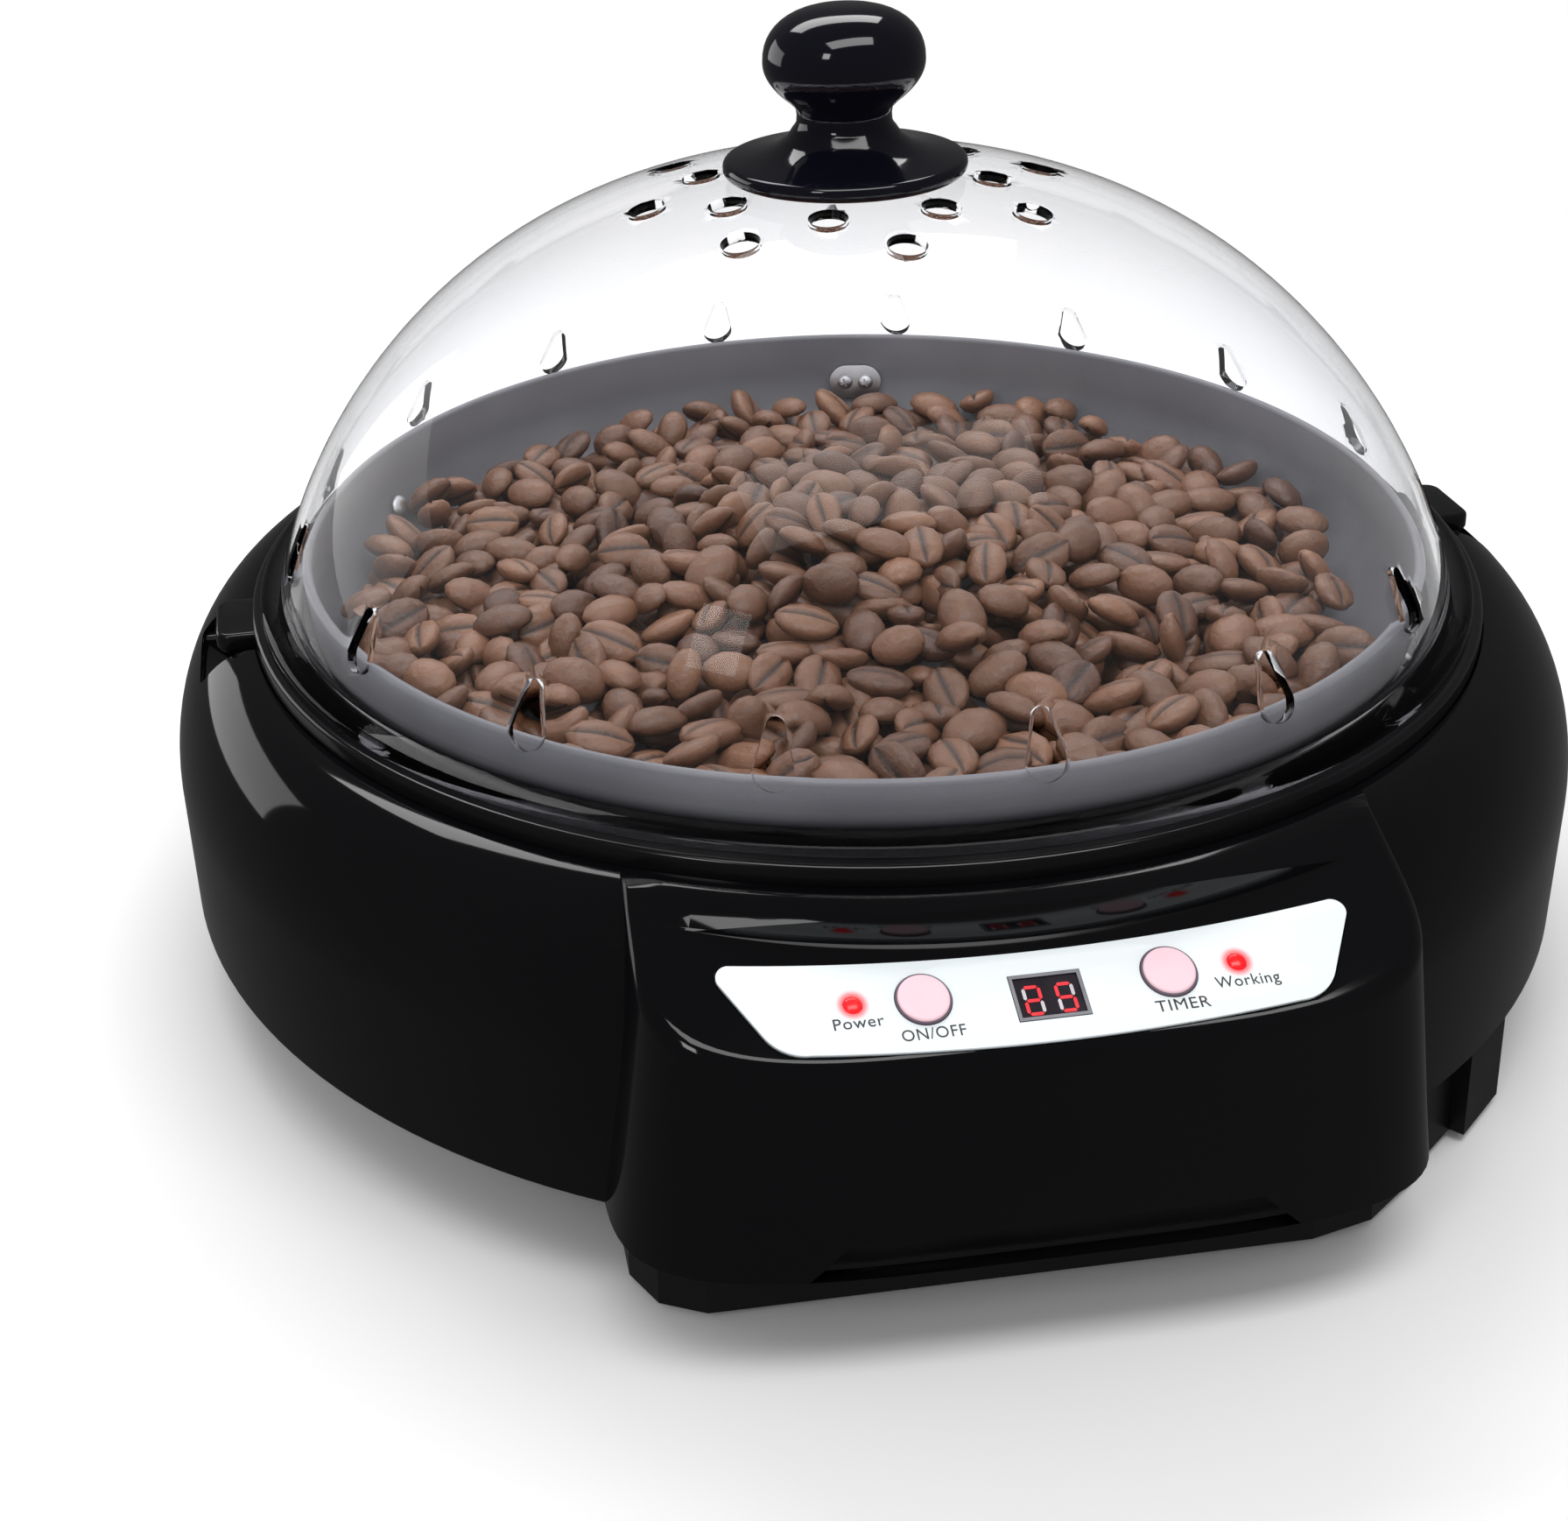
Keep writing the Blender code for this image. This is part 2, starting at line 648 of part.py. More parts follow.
def box_outline(height, inset=0.0):
    """Outline of the control box at a height, moved inwards by an inset."""
    share = (height - SHELL_BOTTOM) / (LIP_HEIGHT - SHELL_BOTTOM)
    half_width = BOX_HALF_WIDTH + (BOX_TOP_HALF_WIDTH - BOX_HALF_WIDTH) * share
    start = BOX_START + (BOX_TOP_START - BOX_START) * share
    reach = FRONT_REACH + (BOX_TOP_REACH - FRONT_REACH) * share
    return bow_outline(half_width - inset, start, reach - inset, BOX_REAR)


def box_mesh_between(bottom, top, inset=0.0):
    """Stretch of the control box between two heights."""
    return loft_mesh(box_outline(bottom, inset), box_outline(top, inset), bottom, top)


def panel_matrix():
    """Frame of the sloping panel: X to the right, Y up the slope, Z out of the panel."""
    place = Vector((0, AXIS_Y - PANEL_CENTRE_REACH, PANEL_CENTRE_HEIGHT))
    return Matrix.Translation(place) @ Matrix.Rotation(PANEL_SLOPE, 4, "X")


def drum_solid_profile():
    """Outer form of the drum, solid up to its lip."""
    centre = (LIP_RADIUS, SHOULDER_BOTTOM)
    shoulder = ellipse_quarter(centre, DRUM_RADIUS - LIP_RADIUS, SHOULDER_RISE, 8)
    return [(0, LIP_HEIGHT)] + shoulder + [(DRUM_FOOT_RADIUS, SHELL_BOTTOM), (0, SHELL_BOTTOM)]


def drum_void_profile():
    """Space inside the drum's wall, under its ledge and through the ledge's round hole."""
    start_radius = LIP_RADIUS + SHELL_WALL
    half_width = DRUM_RADIUS - LIP_RADIUS - SHELL_WALL
    start = math.asin(SHELL_WALL / half_width)
    centre = (LIP_RADIUS, SHOULDER_BOTTOM)
    inner = ellipse_quarter(centre, half_width, SHOULDER_RISE - SHELL_WALL, 6, start)
    ledge_bottom = LEDGE_TOP - LEDGE_THICKNESS
    low = SHELL_BOTTOM - OVERRUN
    return (
        [(0, LEDGE_TOP + OVERRUN), (LEDGE_RADIUS, LEDGE_TOP + OVERRUN)]
        + [(LEDGE_RADIUS, ledge_bottom), (start_radius, ledge_bottom)]
        + inner
        + [(DRUM_FOOT_RADIUS - SHELL_WALL, low), (0, low)]
    )


def notch_outline(reach):
    """Plan of what is cleared above the panel: a bowed rear edge and open sides."""
    half_angle = math.asin(NOTCH_HALF_WIDTH / NOTCH_RADIUS)
    centre = (0, AXIS_Y - reach + NOTCH_RADIUS)
    middle = -math.pi / 2
    rear = arc_points(centre, NOTCH_RADIUS, middle - half_angle, middle + half_angle, 15)
    front = AXIS_Y - FRONT_REACH - NOTCH_HALF_WIDTH / 2
    return rear + [(NOTCH_HALF_WIDTH, front), (-NOTCH_HALF_WIDTH, front)]


def panel_slab(build, drop):
    """Guide that fills the space above the panel's plane, lowered by a drop."""
    height = SHOULDER_RISE * 2
    size = Vector((NOTCH_HALF_WIDTH * 3, NOTCH_HALF_WIDTH * 2, height))
    return build.cutter(box_mesh(size, Vector((0, 0, height / 2 - drop))), panel_matrix())


def above_panel(build, drop, reach):
    """Guide for the part of that space that lies in front of a bowed line at a reach."""
    top = SHELL_BOTTOM + SHOULDER_RISE * 3
    column = build.cutter(outline_mesh([notch_outline(reach)], SHELL_BOTTOM, top))
    combine(column, panel_slab(build, drop), "INTERSECT")
    return column


def ear_angles():
    """Angles of the two ears."""
    return (-math.pi / 2, math.pi / 2)


def column_angles():
    """Angles of the four columns that take the case screws."""
    return (-COLUMN_ANGLE, COLUMN_ANGLE, REAR_COLUMN_ANGLE, -REAR_COLUMN_ANGLE)


def radial_box(half_width, inner, outer, bottom, top):
    """Box that points from the axis toward the front, before it is spun to its angle."""
    size = Vector((2 * half_width, outer - inner, top - bottom))
    return box_mesh(size, Vector((0, -(inner + outer) / 2, (top + bottom) / 2)))


def at_axis(angle):
    """Place on the roaster's axis, turned to an angle."""
    return Matrix.Translation(Vector((0, AXIS_Y, 0))) @ spin(angle)


def label_outline():
    """Label outline in the panel's plane: bowed long edges, rounded upper corners, slanted sides."""
    points = []
    count = 9
    for index in range(count):
        share = 2 * index / (count - 1) - 1
        bow = LABEL_SAG * (1 - share * share)
        points.append((share * (LABEL_HALF_WIDTH - LABEL_CORNER), LABEL_TOP - bow))
    corner = (LABEL_HALF_WIDTH - LABEL_CORNER, LABEL_TOP - LABEL_CORNER)
    right = arc_points(corner, LABEL_CORNER, math.pi / 4, -LABEL_SIDE_ANGLE, 4)
    foot = (LABEL_FOOT_HALF_WIDTH, LABEL_FOOT_RADIUS - LABEL_FOOT_DROP)
    right += arc_points(foot, LABEL_FOOT_RADIUS, -LABEL_SIDE_ANGLE, -math.pi / 2, 5)
    points += right
    for index in range(1, count - 1):
        share = 1 - 2 * index / (count - 1)
        bow = LABEL_BELLY * (1 - share * share)
        points.append((share * LABEL_FOOT_HALF_WIDTH, -LABEL_FOOT_DROP - bow))
    points += [(-x, y) for x, y in reversed(right)]
    return points


def grown(outline, distance):
    """Outline moved outwards by a distance, each point along the mean of its edges' normals."""
    count = len(outline)
    area = sum(
        outline[i][0] * outline[(i + 1) % count][1] - outline[(i + 1) % count][0] * outline[i][1]
        for i in range(count)
    )
    side = math.copysign(1, area)
    points = []
    for index, (x, y) in enumerate(outline):
        before = Vector(outline[index - 1])
        after = Vector(outline[(index + 1) % count])
        here = Vector((x, y))
        first = (here - before).normalized()
        second = (after - here).normalized()
        normal = Vector((first.y + second.y, -first.x - second.x)).normalized() * side
        spread = max(normal.dot(Vector((first.y, -first.x)) * side), 0.5)
        points.append((x + normal.x * distance / spread, y + normal.y * distance / spread))
    return points


def build_housing(build, gloss):
    """Drum, control box, panel notch, well, columns and finger recesses as one moulding."""
    housing = turned_part(build, "housing", drum_solid_profile(), LARGE_STEPS, gloss, place=at_axis(0))
    panel = build.empty("panel_frame", panel_matrix())

    box = build.cutter(box_mesh_between(SHELL_BOTTOM, LIP_HEIGHT + OVERRUN))
    cut(box, panel_slab(build, 0))
    join(housing, box)
    well = build.cutter(rod_mesh(WELL_RADIUS, LEDGE_TOP, LIP_HEIGHT + OVERRUN, LARGE_STEPS), at_axis(0))
    cut(housing, above_panel(build, TOUCH_GAP / 10, NOTCH_REACH), well)

    void = turned_cutter(build, drum_void_profile(), LARGE_STEPS, place=at_axis(0))
    ledge_bottom = LEDGE_TOP - LEDGE_THICKNESS
    join(void, build.cutter(box_mesh_between(SHELL_BOTTOM - OVERRUN, ledge_bottom, BOX_WALL)))
    low = BOARD_RISE - BOARD_DEPTH / 2
    depth = OVERRUN * 2 - PANEL_THICKNESS - board_top()
    size = Vector((BOARD_WIDTH, PANEL_POCKET_TOP - low, depth))
    middle = Vector((0, (PANEL_POCKET_TOP + low) / 2, board_top() - OVERRUN + depth / 2))
    join(void, build.cutter(box_mesh(size, middle), parent=panel))
    cut(void, above_panel(build, PANEL_THICKNESS, NOTCH_REACH - PANEL_THICKNESS))
    for angle in column_angles():
        column = rod_mesh(COLUMN_RADIUS, column_bottom(), LIP_HEIGHT, SMALL_STEPS)
        cut(void, build.cutter(column, Matrix.Translation(polar(COLUMN_REACH, angle))))
    for angle in ear_angles():
        block = radial_box(
            RECESS_HALF_WIDTH + RECESS_WALL,
            LIP_RADIUS,
            DRUM_RADIUS,
            RECESS_FLOOR - RECESS_WALL,
            LIP_HEIGHT,
        )
        cut(void, build.cutter(block, at_axis(angle)))
    for across in (-BOSS_SPACING / 2, BOSS_SPACING / 2):
        boss = rod_mesh(BOSS_RADIUS, board_top() + TOUCH_GAP, 0, SMALL_STEPS)
        cut(void, build.cutter(boss, Matrix.Translation((across, BOARD_RISE, 0)), panel))
    cut(housing, void)

    for angle in ear_angles():
        recess = radial_box(
            RECESS_HALF_WIDTH, LIP_RADIUS - OVERRUN, RECESS_REACH, RECESS_FLOOR, LIP_HEIGHT + OVERRUN
        )
        cut(housing, build.cutter(recess, at_axis(angle)))
    cut(housing, build.cutter(cutout_mesh(SHELL_BOTTOM - OVERRUN, SHELL_BOTTOM + CUTOUT_HEIGHT)))
    for angle in column_angles():
        hole = rod_mesh(
            CASE_SCREW_RADIUS + TOUCH_GAP,
            SHELL_BOTTOM,
            SHELL_BOTTOM + CASE_SCREW_LENGTH + OVERRUN,
            TINY_STEPS,
        )
        cut(housing, build.cutter(hole, Matrix.Translation(polar(COLUMN_REACH, angle))))
    for angle in shield_screw_angles():
        hole = rod_mesh(
            SHIELD_SCREW_RADIUS + TOUCH_GAP, ledge_bottom - OVERRUN, LEDGE_TOP + OVERRUN, TINY_STEPS
        )
        cut(housing, build.cutter(hole, Matrix.Translation(polar(shield_screw_reach(), angle))))
    cut(housing, build.cutter(
        rod_mesh(GLAND_RADIUS + TOUCH_GAP, 0, BOX_WALL * 4), gland_place(-BOX_WALL * 2)
    ))
    cut_panel(build, housing, panel)
    return panel


def column_bottom():
    """Height at which the housing's columns meet the tray."""
    return SHELL_BOTTOM + TRAY_FLOOR + TOUCH_GAP


def cutout_mesh(bottom, top):
    """Raised stretch of the housing's lower edge at the front, with slanted ends."""
    slant = top - bottom
    low = [(-CUTOUT_HALF_WIDTH - slant / 2, bottom), (CUTOUT_HALF_WIDTH + slant / 2, bottom)]
    high = [(CUTOUT_HALF_WIDTH - slant / 2, top), (-CUTOUT_HALF_WIDTH + slant / 2, top)]
    mesh = outline_mesh([low + high], 0, BOX_WALL * 4)
    place = Vector((0, AXIS_Y - FRONT_REACH + BOX_WALL * 2, 0))
    mesh.transform(Matrix.Translation(place) @ Matrix.Rotation(math.pi / 2, 4, "X"))
    return mesh


def cut_panel(build, housing, panel):
    """Label recess, and the openings for buttons, lamps and display."""
    recess = outline_mesh([grown(label_outline(), TOUCH_GAP)], -LABEL_RECESS, OVERRUN)
    cut(housing, build.cutter(recess, parent=panel))
    deep = -PANEL_THICKNESS - OVERRUN * 2
    for across in (-BUTTON_SPACING / 2, BUTTON_SPACING / 2):
        hole = rod_mesh(BUTTON_RADIUS + TOUCH_GAP, deep, OVERRUN, SMALL_STEPS)
        cut(housing, build.cutter(hole, Matrix.Translation((across, BUTTON_RISE, 0)), panel))
    for across in (-LAMP_SPACING / 2, LAMP_SPACING / 2):
        hole = rod_mesh(LAMP_RADIUS + TOUCH_GAP, deep, OVERRUN, SMALL_STEPS)
        cut(housing, build.cutter(hole, Matrix.Translation((across, LAMP_RISE, 0)), panel))
    window = Vector((DISPLAY_WIDTH + 2 * TOUCH_GAP, DISPLAY_DEPTH + 2 * TOUCH_GAP, OVERRUN - deep))
    middle = Vector((0, DISPLAY_RISE, (OVERRUN + deep) / 2))
    cut(housing, build.cutter(box_mesh(window, middle), parent=panel))
    for across in (-BOSS_SPACING / 2, BOSS_SPACING / 2):
        hole = rod_mesh(SMALL_SCREW_RADIUS + TOUCH_GAP / 2, board_top(), -PANEL_THICKNESS, TINY_STEPS)
        cut(housing, build.cutter(hole, Matrix.Translation((across, BOARD_RISE, 0)), panel))


def board_top():
    """Height of the control board's upper face in the panel's frame."""
    return -BOARD_DROP


def build_panel(build, panel, kit):
    """Label, buttons, switches, lamps, display, control board and its screws."""
    hole_count = SMALL_STEPS
    holes = []
    for across in (-BUTTON_SPACING / 2, BUTTON_SPACING / 2):
        holes.append(
            arc_points((across, BUTTON_RISE), BUTTON_RADIUS + TOUCH_GAP, 0, TURN, hole_count + 1)[:-1]
        )
    for across in (-LAMP_SPACING / 2, LAMP_SPACING / 2):
        holes.append(arc_points((across, LAMP_RISE), LAMP_RADIUS + TOUCH_GAP, 0, TURN, hole_count + 1)[:-1])
    half_width = DISPLAY_WIDTH / 2 + TOUCH_GAP
    low = DISPLAY_RISE - DISPLAY_DEPTH / 2 - TOUCH_GAP
    high = DISPLAY_RISE + DISPLAY_DEPTH / 2 + TOUCH_GAP
    holes.append([(-half_width, low), (half_width, low), (half_width, high), (-half_width, high)])
    label_bottom = TOUCH_GAP - LABEL_RECESS
    label_top = label_bottom + LABEL_THICKNESS
    label = outline_mesh([label_outline()] + holes, label_bottom, label_top)
    build.part("control_label", label, kit["label"], parent=panel)

    collar_top = -PANEL_THICKNESS - TOUCH_GAP
    collar_bottom = collar_top - BUTTON_COLLAR_THICKNESS
    stem_bottom = board_top() + TOUCH_GAP + SWITCH_HEIGHT + BUTTON_TRAVEL + TOUCH_GAP
    for name, side in (("power", -1), ("timer", 1)):
        across = side * BUTTON_SPACING / 2
        place = Matrix.Translation((across, BUTTON_RISE, 0))
        top = label_top + BUTTON_PROUD
        profile = [(0, top), (BUTTON_RADIUS * 0.8, top - BUTTON_PROUD / 4), (BUTTON_RADIUS, label_top)]
        profile += [(BUTTON_RADIUS, collar_top), (BUTTON_RADIUS + BUTTON_COLLAR, collar_top)]
        profile += [(BUTTON_RADIUS + BUTTON_COLLAR, collar_bottom), (BUTTON_STEM_RADIUS, collar_bottom)]
        profile += [(BUTTON_STEM_RADIUS, stem_bottom), (0, stem_bottom)]
        turned_part(build, f"button_{name}", profile, SMALL_STEPS, kit["pink"], place=place, parent=panel)
        body = box_mesh(
            Vector((SWITCH_SIZE, SWITCH_SIZE, SWITCH_HEIGHT)),
            Vector((0, 0, board_top() + TOUCH_GAP + SWITCH_HEIGHT / 2)),
        )
        build.part(f"switch_{name}", body, kit["dark_plastic"], place, panel)
        lamp_name = {"power": "lamp_power", "timer": "lamp_working"}[name]
        lamp_place = Matrix.Translation((side * LAMP_SPACING / 2, LAMP_RISE, 0))
        lamp = [(0, label_top), (LAMP_RADIUS * 0.7, label_top - LAMP_RADIUS * 0.3)]
        lamp += [(LAMP_RADIUS, label_top - LAMP_RADIUS), (LAMP_RADIUS, board_top() + TOUCH_GAP)]
        lamp += [(0, board_top() + TOUCH_GAP)]
        turned_part(build, lamp_name, lamp, SMALL_STEPS, kit["red"], place=lamp_place, parent=panel)

    display_bottom = board_top() + TOUCH_GAP
    display_top = label_bottom
    size = Vector((DISPLAY_WIDTH, DISPLAY_DEPTH, display_top - display_bottom))
    middle = Vector((0, DISPLAY_RISE, (display_top + display_bottom) / 2))
    build.part("display_module", box_mesh(size, middle), kit["smoke"], parent=panel)

    half_width = BOARD_WIDTH / 2
    low = BOARD_RISE - BOARD_DEPTH / 2
    high = BOARD_RISE + BOARD_DEPTH / 2
    edge = [(-half_width, low), (half_width, low), (half_width, high), (-half_width, high)]
    bores = []
    for across in (-BOSS_SPACING / 2, BOSS_SPACING / 2):
        bores.append(
            arc_points((across, BOARD_RISE), SMALL_SCREW_RADIUS + TOUCH_GAP, 0, TURN, TINY_STEPS + 1)[:-1]
        )
    board_bottom = board_top() - BOARD_THICKNESS
    board = outline_mesh([edge] + bores, board_bottom, board_top())
    build.part("control_board", board, kit["board"], parent=panel)
    for index, across in enumerate((-BOSS_SPACING / 2, BOSS_SPACING / 2), start=1):
        place = Matrix.Translation((across, BOARD_RISE, 0))
        head_top = board_bottom - TOUCH_GAP
        screw = [(0, head_top + SMALL_SCREW_LENGTH), (SMALL_SCREW_RADIUS, head_top + SMALL_SCREW_LENGTH)]
        screw += [(SMALL_SCREW_RADIUS, head_top), (SMALL_HEAD_RADIUS, head_top)]
        screw += [(SMALL_HEAD_RADIUS, head_top - SMALL_HEAD_HEIGHT), (0, head_top - SMALL_HEAD_HEIGHT)]
        turned_part(build, f"board_screw_{index}", screw, TINY_STEPS, kit["steel"], place=place, parent=panel)


def leg_places():
    """Outer reach and angle of the three legs beside the plinth."""
    return (
        (LEG_REACH, LEG_ANGLE),
        (REAR_LEG_REACH, REAR_LEG_ANGLE),
        (REAR_LEG_REACH, -REAR_LEG_ANGLE),
    )


def foot_places():
    """Centres of the four feet: one in the plinth's left end, the others under the legs."""
    under_legs = [polar(reach - LEG_DEPTH / 2, angle) for reach, angle in leg_places()]
    return [Vector((-FRONT_FOOT_X, AXIS_Y - FRONT_FOOT_REACH, 0))] + under_legs


def strip_outline(start, end, width):
    """Outline of a straight strip between two points of the XY plane."""
    along = (end - start).normalized()
    across = Vector((-along.y, along.x)) * width / 2
    return [start - across, end - across, end + across, start + across]


def plinth_outline(inset):
    """Plan of the plinth under the control box, with cut corners."""
    left = -PLINTH_LEFT + inset
    right = PLINTH_RIGHT - inset
    front = AXIS_Y - PLINTH_REACH + inset
    side = AXIS_Y - PLINTH_SIDE_REACH + inset
    rear = AXIS_Y - PLINTH_REACH + PLINTH_DEPTH - inset
    corner = PLINTH_CORNER
    return [
        (left, rear),
        (left, side),
        (left + corner / 3, front + corner / 3),
        (left + corner, front),
        (right - 2 * corner, front),
        (right - corner, front + corner / 4),
        (right, side),
        (right, rear),
    ]


def build_skirt(build, tray_radius, box_inset):
    """Plinth, its web, the legs and the first foot's boss, as a guide that meets the tray."""
    into_floor = SHELL_BOTTOM + TRAY_FLOOR / 2
    skirt = build.cutter(outline_mesh([plinth_outline(0)], PLINTH_BOTTOM, into_floor))
    hollow = outline_mesh([plinth_outline(PLINTH_WALL)], PLINTH_BOTTOM - OVERRUN, SHELL_BOTTOM)
    cut(skirt, build.cutter(hollow))
    boss = rod_mesh(FOOT_BOSS_RADIUS, PLINTH_BOTTOM, into_floor)
    join(skirt, build.cutter(boss, Matrix.Translation(foot_places()[0])))
    for reach, angle in leg_places():
        leg = radial_box(LEG_WIDTH / 2, reach - LEG_DEPTH, reach, PLINTH_BOTTOM, into_floor)
        join(skirt, build.cutter(leg, at_axis(angle)))
    web_start = Vector((PLINTH_RIGHT - WEB_INSET, AXIS_Y - PLINTH_SIDE_REACH + WEB_INSET))
    web_end = polar(LEG_REACH - WEB_INSET * 2, LEG_ANGLE).xy
    web = outline_mesh([strip_outline(web_start, web_end, WEB_WIDTH)], PLINTH_BOTTOM, into_floor)
    join(skirt, build.cutter(web))

    depth = SHELL_BOTTOM - TOUCH_GAP - PLINTH_BOTTOM + OVERRUN
    size = Vector((DRUM_RADIUS * 3, DRUM_RADIUS * 3, depth))
    limit = build.cutter(box_mesh(size, Vector((0, AXIS_Y, PLINTH_BOTTOM - OVERRUN + depth / 2))))
    join(limit, build.cutter(
        rod_mesh(tray_radius, PLINTH_BOTTOM, SHELL_BOTTOM + TRAY_FLOOR, LARGE_STEPS), at_axis(0)
    ))
    join(limit, build.cutter(box_mesh_between(PLINTH_BOTTOM, SHELL_BOTTOM + TRAY_FLOOR, box_inset)))
    combine(skirt, limit, "INTERSECT")
    return skirt


def build_base(build, kit):
    """Tray that closes the housing, its plinth and legs, the feet and the case screws."""
    floor_top = SHELL_BOTTOM + TRAY_FLOOR
    wall_top = SHELL_BOTTOM + TRAY_RISE
    outer = DRUM_FOOT_RADIUS - SHELL_WALL - TOUCH_GAP * 2
    disc = rod_mesh(outer, SHELL_BOTTOM, wall_top, LARGE_STEPS)
    base = build.part("base_tray", disc, kit["matt"], at_axis(0))
    inset = BOX_WALL + TOUCH_GAP * 2
    join(base, build.cutter(box_mesh_between(SHELL_BOTTOM, wall_top, inset)))
    well = build.cutter(rod_mesh(outer - TRAY_WALL, floor_top, wall_top + OVERRUN, LARGE_STEPS), at_axis(0))
    join(well, build.cutter(box_mesh_between(floor_top, wall_top + OVERRUN, inset + TRAY_WALL)))
    cut(base, well)
    join(base, build_skirt(build, outer - TOUCH_GAP, inset + TOUCH_GAP))
    into_floor = SHELL_BOTTOM + TRAY_FLOOR / 2

    for index, place in enumerate(foot_places(), start=1):
        stem_top = PLINTH_BOTTOM - TOUCH_GAP + FOOT_STEM_LENGTH
        hole = rod_mesh(
            FOOT_STEM_RADIUS + TOUCH_GAP, PLINTH_BOTTOM - OVERRUN, stem_top + TOUCH_GAP, TINY_STEPS
        )
        cut(base, build.cutter(hole, Matrix.Translation(place)))
        pad_top = PLINTH_BOTTOM - TOUCH_GAP
        foot = [(0, stem_top), (FOOT_STEM_RADIUS, stem_top), (FOOT_STEM_RADIUS, pad_top)]
        foot += [(FOOT_RADIUS, pad_top), (FOOT_RADIUS, 0), (0, 0)]
        turned_part(build, f"foot_{index}", foot, SMALL_STEPS, kit["rubber"], place=Matrix.Translation(place))

    for index, angle in enumerate(column_angles(), start=1):
        place = Matrix.Translation(polar(COLUMN_REACH, angle))
        hole = rod_mesh(
            CASE_SCREW_RADIUS + TOUCH_GAP, SHELL_BOTTOM - OVERRUN, floor_top + OVERRUN, TINY_STEPS
        )
        cut(base, build.cutter(hole, place))
        head_top = SHELL_BOTTOM - TOUCH_GAP
        tip = head_top + CASE_SCREW_LENGTH
        screw = [
            (0, tip), (CASE_SCREW_RADIUS, tip), (CASE_SCREW_RADIUS, head_top), (CASE_HEAD_RADIUS, head_top)
        ]
        screw += [(CASE_HEAD_RADIUS, head_top - CASE_HEAD_HEIGHT), (0, head_top - CASE_HEAD_HEIGHT)]
        turned_part(build, f"case_screw_{index}", screw, TINY_STEPS, kit["steel"], place=place)

    for place in strap_posts():
        post = rod_mesh(POST_RADIUS, into_floor, motor_top() + TOUCH_GAP, SMALL_STEPS)
        join(base, build.cutter(post, Matrix.Translation(place)))
        hole = rod_mesh(CASE_SCREW_RADIUS + TOUCH_GAP, floor_top + OVERRUN, motor_top() + OVERRUN, TINY_STEPS)
        cut(base, build.cutter(hole, Matrix.Translation(place)))
    for place in mains_standoffs():
        standoff = rod_mesh(MAINS_STANDOFF_RADIUS, into_floor, MAINS_HEIGHT - TOUCH_GAP, TINY_STEPS)
        join(base, build.cutter(standoff, Matrix.Translation(place)))
    return base


def gland_place(inwards):
    """Place of the cord gland on the rear wall, its Z axis pointing away from the drum."""
    rear = AXIS_Y + DRUM_FOOT_RADIUS + inwards
    half_step = math.pi / SMALL_STEPS
    place = Matrix.Translation((0, rear, GLAND_HEIGHT)) @ Matrix.Rotation(-math.pi / 2, 4, "X")
    return place @ Matrix.Rotation(half_step, 4, "Z")


def build_gland(build, rubber):
    """Bush that leads the mains cord through the rear wall, with an open bore."""
    seat = TOUCH_GAP * 3
    end = AXIS_Y + REAR_REACH - (AXIS_Y + DRUM_FOOT_RADIUS)
    inner = -SHELL_WALL - TOUCH_GAP * 2
    profile = [(GLAND_BORE_RADIUS, end), (GLAND_RADIUS, end), (GLAND_FLANGE_RADIUS, seat + GLAND_FLANGE)]
    profile += [(GLAND_FLANGE_RADIUS, seat), (GLAND_RADIUS, seat), (GLAND_RADIUS, inner)]
    profile += [(GLAND_FLANGE_RADIUS, inner), (GLAND_FLANGE_RADIUS, inner - GLAND_FLANGE)]
    profile += [(GLAND_BORE_RADIUS, inner - GLAND_FLANGE)]
    turned_part(build, "cord_gland", profile, SMALL_STEPS, rubber, closed=True, place=gland_place(0))


def motor_bottom():
    """Height of the motor's underside."""
    return SHELL_BOTTOM + TRAY_FLOOR + TOUCH_GAP


def motor_top():
    """Height of the motor's upper face."""
    return motor_bottom() + MOTOR_HEIGHT


def strap_posts():
    """Places of the two posts beside the motor."""
    return (Vector((-POST_REACH, AXIS_Y, 0)), Vector((POST_REACH, AXIS_Y, 0)))


